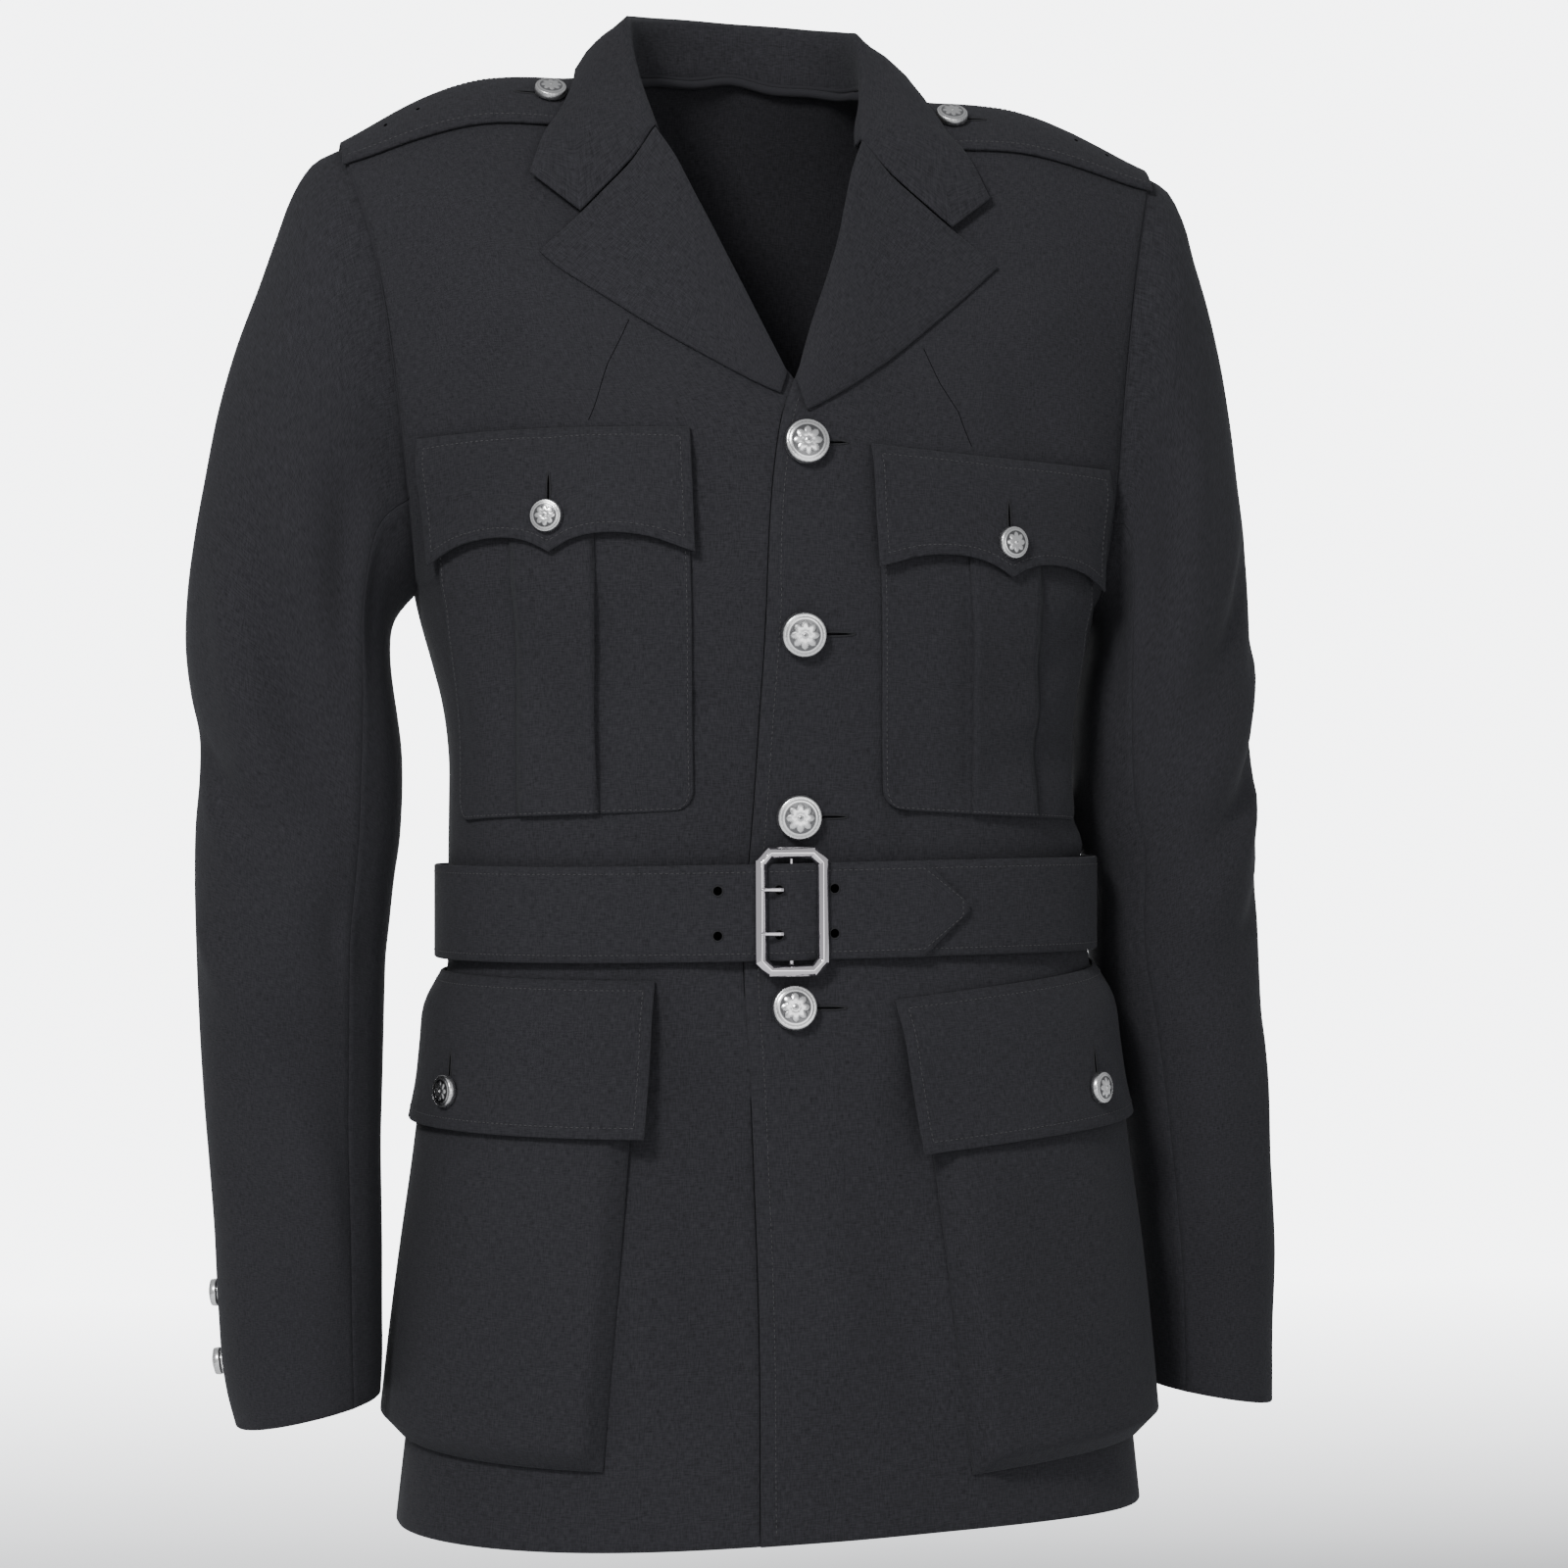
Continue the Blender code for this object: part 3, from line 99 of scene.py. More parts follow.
# Shoulder ridge: distance from the neck centre, height
RIDGE = np.array([
    (0, 34), (40, 17), (66, -2), (91, -9), (131, -11), (147, -13),
    (165, -18.5), (190, -30), (206, -39), (223, -48),
]) * MM
# Armhole seen from the front: height, distance from the centre
ARMHOLE = np.array([
    (-291, 187.5), (-220, 194), (-159, 200), (-110, 207), (-68, 217), (-48, 223),
]) * MM
ARMHOLE_FRONT = 62 * MM
ARMHOLE_BACK = 70 * MM
ARMHOLE_SQUARENESS = 2.3
# How far each row of the chest runs round before the armhole cuts it: row from 0 to 1, angle in degrees
CHEST_ANGLE = np.array([
    (0.0, 90.0), (0.04, 79.0), (0.10, 67.0), (0.20, 57.0), (0.35, 51.0), (1.0, 48.0),
])
SLOPE_FRONT = 1.68
SLOPE_BACK = 2.5
NECK_HALF_WIDTH = 66 * MM
NECK_BACK_DEPTH = 60 * MM

# Worn pose: height, sideways shift of the body, lean of the shoulders and hips
POSE = np.array([
    (-786, 13.5, -0.05), (-518, 14, -0.03), (-455, 12, -0.02), (-405, 9, 0.02), (-291, 5.5, 0.045),
    (-200, 3, 0.055), (-113, 1, 0.05), (-75, 0, 0.05), (-40, 0, 0.05), (40, 0, 0.055),
]) * np.array([MM, MM, 1.0])
LEAN_REACH = 260 * MM

# Inner edges of the fronts, +X positive: height, edge of the left front, edge of the right front
FRONT_EDGES = np.array([
    (-786, -22, 26), (-696, -22.5, 26), (-560, -26.5, 22), (-481, -28, 22), (-389, -17.5, 30),
    (-338, -13.5, 31), (-220, -3.5, 34), (-200, 0, 30), (-188, 4, 18), (-176, 9.5, 7), (-152, 18, -5.5),
    (-118, 31, -22), (-98, 38.5, -30), (-76.5, 44.5, -39), (-57, 51, -47.5), (-38, 58, -57), (-25, 62, -62),
    (-12, 65, -65), (-2, 66, -66),
]) * MM
LEFT_EDGE, RIGHT_EDGE = 1, 2
OVERLAP_FULL = 34 * MM
OVERLAP_FADE = 36 * MM
BREAK_POINT = -176 * MM
OVERLAP_TOP = -120 * MM

# Lapels: roll x, roll z, outer edge x, outer edge z, from the break point up to the gorge
LAPEL_LEFT = np.array([
    (9, -177, 14, -193), (17.5, -150, 33, -182), (29.5, -119, 60, -163), (37, -98, 84, -143.5),
    (42.5, -78, 103, -127.5), (48, -58, 115, -117), (55, -41, 125.5, -107.5),
]) * MM
LAPEL_RIGHT = np.array([
    (5, -173, 1, -184), (-5, -151.5, -12, -179), (-21.5, -115, -32.5, -169), (-30, -95, -61, -153.5),
    (-38, -76.5, -89, -136), (-46, -57, -112, -121), (-55, -41, -121, -112.5),
]) * MM
# Across a lapel: share of its width, and how far the gorge seam dips there
LAPEL_ACROSS = ((0.0, 0.0), (0.06, -2.0), (0.2, -6.0), (0.42, -6.0), (0.65, -4.5), (1.0, 0.0))
GORGE_GAP = 0.6 * MM
LAPEL_BULGE = 3.5 * MM
LAPEL_ROWS = 12

# Collar stations from the centre back round to the gorge, for the wearer's left: foot x, y, z, roll x, y, z,
# then the outer edge and what it lies on: the back (1) or the front (0), as x and z, or the shoulder (2),
# as distance from the neck and run forward of the ridge
COLLAR = np.array([
    (0, 60, 10.3, 0, 63, 40, 0, -4, 1),
    (24, 56, 6.0, 25, 59, 39.5, 34, -5, 1),
    (43, 45.7, 4.6, 45, 47, 37, 63, -8, 1),
    (57, 30.3, 1.7, 58, 28, 33.5, 84, -14, 1),
    (64.3, 9, 0.2, 63, 7, 28, 92, 2, 2),
    (63, -9, -2.5, 64, -9, 13, 98, 30, 2),
    (60.5, -25, -15, 61.5, -28, -8, 107, -37, 0),
    (56.5, -37, -29, 58, -44, -25, 115, -48, 0),
    (55, -47, -41.5, 54.5, -54, -38, 124, -71, 0),
])
COLLAR_SHOULDER_LIFT = 7.5 * MM
ON_BACK, ON_SHOULDER = 1, 2
COLLAR_EDGE_LIFT = 6.0 * MM
COLLAR_FOLD = 2.6 * MM

# Epaulettes: distance from the neck, middle and half width measured forward over the shoulder
EPAULETTE_CLOTH = 2.4 * MM
EPAULETTE_BUTTON = (110 * MM, 31 * MM)
EPAULETTE = np.array([
    (86, 32, 23), (100, 31, 24.5), (130, 28, 26), (160, 24, 27), (190, 19, 27), (214, 14, 26), (221, 12, 26),
]) * MM

# Sleeves in the worn pose: outer x, outer z, inner x, inner z, middle y, half depth, hind seam angle
SLEEVE_RIGHT = np.array([
    (-243, -57, -191, -297, -2, 67, -100),
    (-254, -86, -194, -305, -2, 68, -98),
    (-267, -123, -195, -316, -2, 68, -96),
    (-283, -168, -194, -332, -2, 67, -93),
    (-293.5, -216, -191, -352, -2, 65, -90),
    (-301.5, -262, -188.5, -374, -2, 63, -87),
    (-305.5, -306, -188.5, -398, -2, 61, -83),
    (-302.5, -340, -190, -421, -3, 59, -79),
    (-297, -370, -193, -441, -4, 57, -74),
    (-299.5, -402, -195, -460, -5, 57, -69),
    (-300.5, -438, -197.5, -482, -7, 57, -63),
    (-299.5, -482, -198.5, -510, -9, 57, -56),
    (-297.5, -528, -199.5, -546, -11, 56, -48),
    (-294.5, -572, -200.5, -584, -13, 55, -41),
    (-290.5, -620, -200, -628, -15, 54, -33),
    (-289, -650, -200, -655, -16, 53, -28),
    (-287, -685, -200, -682, -17, 52, -23),
    (-284.5, -710, -200, -700, -18, 51, -21),
    (-278.5, -734, -201, -717, -18, 50, -20),
])
SLEEVE_LEFT = np.array([
    (240, -61, 193.5, -297, 2, 70, -100),
    (247, -86, 194, -306, 4, 73, -98),
    (258, -122, 193, -317, 6, 76, -96),
    (268, -165, 190, -332, 8, 77, -93),
    (275, -212, 188, -350, 10, 77, -90),
    (281, -256, 187, -372, 12, 76, -87),
    (284, -300, 188, -396, 14, 73, -84),
    (286, -340, 191.2, -420, 16, 69, -81),
    (288, -380, 199.5, -442, 18, 65, -78),
    (290, -420, 198.5, -466, 20, 62, -75),
    (292, -462, 201, -494, 22, 60, -72),
    (294, -506, 209, -526, 24, 59, -69),
    (297, -552, 215, -562, 25, 58, -66),
    (300, -598, 221, -602, 26, 56, -63),
    (303, -640, 225, -642, 26, 54, -60),
    (303, -668, 228, -668, 26, 52, -58),
    (302, -694, 229, -690, 26, 51, -57),
    (302, -716, 230, -708, 26, 50, -56),
    (302, -736, 230, -724, 26, 49, -55),
])
FRONT_SEAM_ANGLE = 124.0
SLEEVE_SQUARENESS = 2.2
SLEEVE_CLOTH = 2.0 * MM
SLEEVE_RADIUS = 60 * MM
SLEEVE_ROWS = 27
TOP_COLUMNS = 9
UNDER_COLUMNS = 10

# Chest pockets by girth from the centre: side, inner girth, outer girth, top, bottom, drop of the outer side
CHEST_POCKETS = {
    "right": (-1, 50, 195, -221, -404, 6.0),
    "left": (1, 50, 195, -224, -401, 6.0),
}
CHEST_FLAP_WIDTH_SPARE = 2.5 * MM
CHEST_FLAP_TOP = 16.0 * MM
PLEAT_HALF = 23.0 * MM
PLEAT_RISE = 1.8 * MM
PLEAT_CURL = 3.6 * MM
POCKET_CORNER = 11 * MM
PLEAT_TUCK = 2.4 * MM
PLEAT_TOP = (5, 6, 7, 8)
FLAP_CURL = 2.2 * MM
# Lower edge of a chest flap: place across it from 0 to 1, depth below its top
SCALLOP = np.array([
    (0.0, 66), (0.04, 64), (0.12, 59.5), (0.24, 56), (0.34, 56), (0.43, 59), (0.5, 65),
    (0.57, 59), (0.66, 56), (0.76, 56), (0.88, 59.5), (0.96, 64), (1.0, 66),
]) * np.array([1.0, MM])

# Hip pockets: side, inner girth at the top and bottom, outer girth, then heights: top at the inner and outer
# side, bottom at the inner and outer side
HIP_POCKETS = {
    "right": (-1, 84, 104, 292, -493, -489, -744, -736),
    "left": (1, 60, 92, 270, -507, -487, -757, -745),
}
HIP_FLAP_SPARE = 9 * MM
HIP_MOUTH = 0.11
HIP_COLUMNS = (0.0, 0.05, 0.16, 0.29, 0.42, 0.56, 0.70, 0.83, 0.95, 1.0)
HIP_HEM_SLACK = 0.6 * MM
HIP_RISE = 12.5 * MM
HIP_RISE_TOP = 4.5 * MM
HIP_FLAP_DEPTH = 82 * MM

# Belt and buckle
BELT_WIDTH = 50.8 * MM
BELT_CLOTH = 2.6 * MM
BELT_LIFT_FRONT = 4.2 * MM
BELT_LIFT_SIDE = 5.0 * MM
BELT_STATIONS = 110
BELT_TIP = 92 * MM
BELT_TIP_LENGTH = 25 * MM
BELT_PLY_GAP = 0.8 * MM
BELT_HUMP = 3.4 * MM
BELT_HUMP_REACH = 11 * MM
# Where the end that goes through the buckle leaves the body, and where it lies fully over the other end
BELT_LAP_FROM = 72 * MM
BELT_LAP_FULL = 24 * MM
BUCKLE_AT = -3 * MM
BUCKLE_BAR_THICK = 2.2 * MM
BUCKLE_BAR_HALF = 1.5 * MM
BUCKLE_BAR_DROP = 1.0 * MM
# Prongs: height off the middle of the belt, tip inside the frame's edge, root from the buckle's middle
PRONG_OFF_MIDDLE = 11.5 * MM
PRONG_TIP = 2.6 * MM
PRONG_ROOT = 5.0 * MM
PRONG_HALF = 1.3 * MM
PRONG_THICK = 2.4 * MM
BUCKLE_WIDTH = 39 * MM
BUCKLE_HEIGHT = 68 * MM
BUCKLE_BAR = 6.2 * MM
BUCKLE_CORNER = 7 * MM
BUCKLE_DEPTH = 4.0 * MM

# Buttons: diameter and height
FRONT_BUTTON = (24.0 * MM, 7.0 * MM)
SMALL_BUTTON = (17.5 * MM, 6.0 * MM)
CUFF_BUTTON = (15.0 * MM, 5.5 * MM)
BUTTON_SIDES = 10
BUTTON_SEAT = 0.5 * MM
# Place of the hip buttons down the pocket, and of the cuff buttons along the sleeve
HIP_BUTTON_DOWN = 0.235
CUFF_BUTTON_PLACES = (16.4, 17.6)
# Front buttons: girth from the centre, height
FRONT_BUTTONS = ((13, -210), (8, -310), (4.5, -406), (-3, -507))


# Fineness of the cloth shells, and the roundness of their edges
CELL = 6.5 * MM
EDGE_ROUND = 0.7 * MM
EDGE_SHARE = 0.42
SEAM_STIFF = 16 * MM
# Fold lines of a piece that stay crisp, by the start of its name: columns, rows
FOLD_LINES = {
    "collar": ((6,), ()), "chest_pocket": ((4, 5, 8, 9), ()), "chest_flap": ((8,), ()), "hip_pocket": ((1, 8), (1,)),
}


@dataclass(frozen=True)
class Crease:
    """A soft ridge (depth above 0) or trough (below 0) along a line from start to end."""

    start: tuple
    end: tuple
    half_width: float
    depth: float

    def push(self, points):
        """Displacement of points along their own normals."""
        a, b = np.array(self.start), np.array(self.end)
        line = b - a
        length = np.linalg.norm(line)
        t = np.clip(((points - a) @ line) / length ** 2, 0.0, 1.0)
        near = a + t[..., None] * line
        away = np.linalg.norm(points - near, axis=-1)
        taper = 0.25 + 0.75 * np.sin(math.pi * (0.08 + 0.84 * t))
        return self.depth * taper * np.exp(-((away / (self.half_width * (0.7 + 0.6 * t))) ** 2))


CREASES = []


@dataclass
class Shell:
    """A finished cloth shell: its outer grid, normals and the lengths along its columns and rows."""

    name: str
    outer: np.ndarray
    normal: np.ndarray
    across: np.ndarray
    along: np.ndarray

    def at(self, u, v, lift=0.0):
        """Point and normal on the outer side, u along the columns and v along the rows, in metres."""
        c = np.interp(u, self.across, np.arange(len(self.across)))
        r = np.interp(v, self.along, np.arange(len(self.along)))
        c0, r0 = int(min(c, len(self.across) - 2)), int(min(r, len(self.along) - 2))
        fc, fr = c - c0, r - r0

        def mix(grid):
            top = grid[r0, c0] * (1 - fc) + grid[r0, c0 + 1] * fc
            low = grid[r0 + 1, c0] * (1 - fc) + grid[r0 + 1, c0 + 1] * fc
            return top * (1 - fr) + low * fr

        n = mix(self.normal)
        n = n / np.linalg.norm(n)
        return mix(self.outer) + n * lift, n


SHELLS = {}


def refine_axis(grid, places, wanted, axis, sharp=()):
    """Smooth values of a grid at new places along one axis, with a fold at each sharp line."""
    moved = np.moveaxis(grid, axis, 0)
    leaving = np.gradient(moved, places, axis=0)
    arriving = leaving.copy()
    chords = np.diff(moved, axis=0) / np.diff(places)[:, None, None]
    for line in sharp:
        leaving[line], arriving[line] = chords[line], chords[line - 1]
    k = np.clip(np.searchsorted(places, wanted, side="right") - 1, 0, len(places) - 2)
    step = (places[k + 1] - places[k])[:, None, None]
    t = ((wanted - places[k])[:, None, None]) / step
    value = (
        moved[k] * (1 + 2 * t) * (1 - t) ** 2 + leaving[k] * step * t * (1 - t) ** 2
        + moved[k + 1] * t * t * (3 - 2 * t) - arriving[k + 1] * step * t * t * (1 - t)
    )
    return np.moveaxis(value, 0, axis)


def finer_places(places):
    """Places split to the cell size, with a narrow first and last strip for the rounded edge."""
    total = places[-1] - places[0]
    made = [places[0]]
    for low, high in zip(places[:-1], places[1:]):
        count = max(1, int(math.ceil((high - low) / CELL)))
        made += [low + (high - low) * k / count for k in range(1, count + 1)]
    made = np.array(made)
    rim = min(EDGE_ROUND, total * 0.1)
    inside = made[(made > places[0] + rim * 1.3) & (made < places[-1] - rim * 1.3)]
    return np.concatenate([[places[0], places[0] + rim], inside, [places[-1] - rim, places[-1]]])


def edge_fade(places):
    """0 on both ends of a run and 1 a little inside, so that creases leave the seams closed."""
    inside = np.minimum(places - places[0], places[-1] - places)
    return smoothstep(inside, 0.0, SEAM_STIFF)


def chord_places(grid, axis):
    """Mean length run along one axis of a grid."""
    steps = np.linalg.norm(np.diff(grid, axis=axis), axis=-1).mean(axis=1 - axis)
    return np.concatenate([[0], np.cumsum(np.maximum(steps, 1e-5))])


def grid_area(grid):
    """Area of a grid of points."""
    a = np.cross(grid[1:, :-1] - grid[:-1, :-1], grid[:-1, 1:] - grid[:-1, :-1])
    b = np.cross(grid[1:, :-1] - grid[1:, 1:], grid[:-1, 1:] - grid[1:, 1:])
    return float((np.linalg.norm(a, axis=-1) + np.linalg.norm(b, axis=-1)).sum() / 2)


def wall(name, outer, inner, palette="cloth"):
    """A cloth shell on a form given by its outer and inner grids, with rounded edges and the creases."""
    middle, half = (outer + inner) / 2, (outer - inner) / 2
    across, along = chord_places(middle, 1), chord_places(middle, 0)
    new_across, new_along = finer_places(across), finer_places(along)
    columns, rows = next((lines for start, lines in FOLD_LINES.items() if name.startswith(start)), ((), ()))
    middle = refine_axis(refine_axis(middle, across, new_across, 1, columns), along, new_along, 0, rows)
    half = refine_axis(refine_axis(half, across, new_across, 1, columns), along, new_along, 0, rows)
    thick = np.ones(middle.shape[:2])
    thick[0] *= EDGE_SHARE
    thick[-1] *= EDGE_SHARE
    thick[:, 0] *= EDGE_SHARE
    thick[:, -1] *= EDGE_SHARE
    area = grid_area(middle)
    normal = half / np.linalg.norm(half, axis=-1, keepdims=True)
    push = np.zeros(middle.shape[:2])
    for crease in CREASES:
        push += crease.push(middle)
    push *= edge_fade(new_along)[:, None] * edge_fade(new_across)[None, :]
    middle = middle + normal * push[..., None]
    fine_outer, fine_inner = middle + half * thick[..., None], middle - half * thick[..., None]
    rows, columns = middle.shape[:2]
    offset = rows * columns
    base = (np.arange(rows - 1)[:, None] * columns + np.arange(columns - 1)[None, :]).ravel()
    quads = np.column_stack([base, base + 1, base + columns + 1, base + columns])
    back = quads[:, ::-1] + offset
    ring = np.concatenate([
        np.arange(columns), np.arange(1, rows) * columns + columns - 1,
        (rows - 1) * columns + np.arange(columns - 2, -1, -1), np.arange(rows - 2, 0, -1) * columns,
    ])
    after = np.roll(ring, -1)
    rim = np.column_stack([after, ring, ring + offset, after + offset])
    vertices = np.concatenate([fine_outer.reshape(-1, 3), fine_inner.reshape(-1, 3)])
    faces = np.concatenate([quads, back, rim])
    uv_u, uv_v = np.meshgrid(new_across, new_along)
    uv = np.column_stack([uv_u.ravel(), uv_v.ravel()])
    uv = np.concatenate([uv, uv])
    piece = mesh_object(name + "_cloth", vertices, faces, FINISHES[palette], uv=uv)
    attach(piece, "root")
    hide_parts(name)
    width = max(np.linalg.norm(np.diff(middle, axis=1), axis=-1).sum(axis=1))
    length = max(np.linalg.norm(np.diff(middle, axis=0), axis=-1).sum(axis=0))
    width, length = round(float(width), 4), round(float(length), 4)
    CUTS.append((name, width, length, area))
    SHELLS[name] = Shell(name, fine_outer, normal, new_across, new_along)
    LOG.info("%s: %d faces, cut %.0f x %.0f mm", name, len(faces), width * 1000, length * 1000)
    return SHELLS[name]


def mesh_object(name, vertices, faces, finish, uv=None, smooth=True):
    """A mesh object with faces turned outward and an optional UV for each vertex."""
    mesh = bpy.data.meshes.new(name)
    mesh.from_pydata([tuple(map(float, v)) for v in vertices], [], [tuple(int(k) for k in f) for f in faces])
    mesh.update()
    points = np.array([v.co[:] for v in mesh.vertices])
    mesh.calc_loop_triangles()
    tri = np.array([t.vertices[:] for t in mesh.loop_triangles])
    a, b, c = points[tri[:, 0]], points[tri[:, 1]], points[tri[:, 2]]
    if float((a * np.cross(b, c)).sum()) < 0:
        mesh.flip_normals()
    if uv is not None:
        layer = mesh.uv_layers.new(name="Cut")
        index = np.empty(len(mesh.loops), dtype=np.int64)
        mesh.loops.foreach_get("vertex_index", index)
        layer.data.foreach_set("uv", uv[index].astype(np.float32).ravel())
    mesh.materials.append(finish)
    mesh.polygons.foreach_set("use_smooth", [smooth] * len(mesh.polygons))
    made = bpy.data.objects.new(name, mesh)
    bpy.context.scene.collection.objects.link(made)
    return made


FINISHES = {}
CUTS = []


def read_table(table, column, at):
    """Smooth value of one column of a table, at a place along its first column."""
    places, values = table[:, 0], table[:, column]
    slopes = np.gradient(values, places)
    k = np.clip(np.searchsorted(places, at) - 1, 0, len(places) - 2)
    step = places[k + 1] - places[k]
    t = np.clip((at - places[k]) / step, 0.0, 1.0)
    start = values[k] * (1 + 2 * t) * (1 - t) ** 2 + slopes[k] * step * t * (1 - t) ** 2
    end = values[k + 1] * t * t * (3 - 2 * t) - slopes[k + 1] * step * t * t * (1 - t)
    return start + end


def smoothstep(value, low, high):
    """0 below low, 1 above high, and a soft step between."""
    t = np.clip((value - low) / (high - low), 0.0, 1.0)
    return t * t * (3 - 2 * t)


def posed(points):
    """The worn pose: the waist shifts sideways and the shoulder and hip lines lean."""
    points = np.asarray(points, dtype=float)
    x, y, z = points[..., 0], points[..., 1], points[..., 2]
    shift = read_table(POSE, 1, z)
    lean = read_table(POSE, 2, z)
    drop = lean * x * (1 - (x / LEAN_REACH) ** 2)
    return np.stack([x + shift, y, z - drop], axis=-1)


def armhole_depth(row, back):
    """Distance of the armhole's edge from the middle plane, at a row from 0 (armpit) to 1 (shoulder tip)."""
    depth = ARMHOLE_BACK if back else ARMHOLE_FRONT
    t = np.clip(np.abs(2 * row - 1), 0.0, 1.0)
    return depth * (1 - t ** ARMHOLE_SQUARENESS) ** (1 / ARMHOLE_SQUARENESS)


def chest_y(x, row, back):
    """Depth of the chest or back above the armpit, at a distance from the centre and a row from 0 to 1."""
    slope = SLOPE_BACK if back else SLOPE_FRONT
    full = BODY[-1, BACK_DEPTH] if back else BODY[-1, FRONT_DEPTH]
    centre = full * (1 - np.clip(row, 0, 1) ** slope) ** (1 / slope)
    edge = armhole_depth(row, back)
    reach = read_table(ARMHOLE, 1, ARMPIT + (SHOULDER_TIP - ARMPIT) * row)
    most = np.radians(read_table(CHEST_ANGLE, 1, row))
    power = 2 / BODY_SQUARENESS
    share = np.clip(np.abs(x) / reach, 0.0, 1.0) * np.sin(most) ** power
    cosine = np.sqrt(np.clip(1 - share ** (2 / power), 0.0, 1.0)) ** power
    last = np.clip(np.cos(most), 0, 1) ** power
    blend = np.clip((cosine - last) / (1 - last), 0.0, 1.0)
    depth = edge + (centre - edge) * blend
    return depth if back else -depth


def ridge_height(x):
    """Height of the shoulder line at a distance from the neck centre."""
    return read_table(RIDGE, 1, np.abs(x))


@lru_cache(maxsize=None)
def level_section(height_key, back):
    """Points of a level cut from the centre to the side, as x, y and the girth run so far."""
    height = height_key * 1e-5
    if height <= ARMPIT:
        angle = np.linspace(0, math.pi / 2, 121)
        power = 2 / BODY_SQUARENESS
        depth = read_table(BODY, BACK_DEPTH if back else FRONT_DEPTH, height)
        x = read_table(BODY, HALF_WIDTH, height) * np.sin(angle) ** power
        y = depth * np.clip(np.cos(angle), 0, 1) ** power
        y = y if back else -y
    else:
        reach = read_table(ARMHOLE, 1, height) if height < SHOULDER_TIP else 0.222
        x = np.linspace(0, reach, 121)
        row = np.clip((height - ARMPIT) / (ridge_height(x) - ARMPIT), 0, 1)
        y = chest_y(x, row, back)
    girth = np.concatenate([[0], np.cumsum(np.hypot(np.diff(x), np.diff(y)))])
    return x, y, girth


def at_girth(girth, height, back=False):
    """Posed point of the body at a signed girth from the centre front (or centre back) and a height."""
    x, y, run = level_section(round(height * 1e5), back)
    reach = abs(girth)
    if reach > run[-1]:
        x2, y2, run2 = level_section(round(height * 1e5), not back)
        rest = run2[-1] - (reach - run[-1])
        point = (np.interp(rest, run2, x2), np.interp(rest, run2, y2))
    else:
        point = (np.interp(reach, run, x), np.interp(reach, run, y))
    return posed((math.copysign(point[0], girth), point[1], height))


def cross_normal(first, second, outward):
    """Unit normal of two tangents, turned to the outward hint."""
    normal = np.cross(first, second)
    normal = normal / np.linalg.norm(normal)
    return normal if np.dot(normal, outward) > 0 else -normal


def on_girth(girth, height, lift, back=False):
    """Posed point lifted off the body, at a signed girth and a height."""
    here = at_girth(girth, height, back)
    along = at_girth(girth + PROBE, height, back) - at_girth(girth - PROBE, height, back)
    up = at_girth(girth, height + PROBE, back) - at_girth(girth, height - PROBE, back)
    return here + cross_normal(along, up, (here[0], here[1], 0.0)) * lift


def at_front(x, height, back=False):
    """Posed point of the body at a distance from the centre and a height, away from the sides."""
    if height <= ARMPIT:
        section_x, section_y, _ = level_section(round(height * 1e5), back)
        y = np.interp(abs(x), section_x, section_y)
    else:
        row = min((height - ARMPIT) / (ridge_height(x) - ARMPIT), 1.0)
        y = float(chest_y(x, row, back))
    return posed((x, y, height))


def on_front(x, height, lift, back=False):
    """Posed point lifted off the body, at a distance from the centre and a height."""
    here = at_front(x, height, back)
    along = at_front(x + PROBE, height, back) - at_front(x - PROBE, height, back)
    up = here - at_front(x, height - PROBE, back)
    return here + cross_normal(along, up, (0.0, 1.0 if back else -1.0, 0.3)) * lift


@lru_cache(maxsize=None)
def shoulder_section(distance_key):
    """Front to back cut over one shoulder at a distance from the neck: y, z and the run forward of the ridge."""
    x = distance_key * 1e-5
    row = 1 - np.linspace(0, 1, 80) ** 2 * 0.75
    height = ARMPIT + (ridge_height(x) - ARMPIT) * row
    front_y = chest_y(x, row, False)
    back_y = chest_y(x, row, True)
    y = np.concatenate([back_y[::-1], front_y[1:]])
    z = np.concatenate([height[::-1], height[1:]])
    run = np.concatenate([[0], np.cumsum(np.hypot(np.diff(y), np.diff(z)))])
    return y, z, run - run[79]


def at_shoulder(side, distance, forward):
    """Posed point over a shoulder, at a distance from the neck and a run forward of the ridge."""
    y, z, run = shoulder_section(round(distance * 1e5))
    return posed((side * distance, np.interp(forward, run, y), np.interp(forward, run, z)))


def on_shoulder(side, distance, forward, lift):
    """Posed point lifted off a shoulder."""
    here = at_shoulder(side, distance, forward)
    along = at_shoulder(side, distance + 2 * PROBE, forward) - at_shoulder(side, distance - 2 * PROBE, forward)
    over = at_shoulder(side, distance, forward + 2 * PROBE) - at_shoulder(side, distance, forward - 2 * PROBE)
    return here + cross_normal(along, over, (0.0, -0.2, 1.0)) * lift


def front_lift(x, height):
    """Lift of the left front where it laps over the right one."""
    across = 1 - smoothstep(x, OVERLAP_FULL, OVERLAP_FULL + OVERLAP_FADE)
    up = 1 - smoothstep(height, BREAK_POINT, OVERLAP_TOP)
    return OVERLAP_LIFT * across * up


def lay_girth(girth, height, lift):
    """Posed point lifted off the worn fronts, with the left front's overlap under it."""
    return on_girth(girth, height, lift + (float(front_lift(girth, height)) if girth > -OVERLAP_FULL else 0.0))


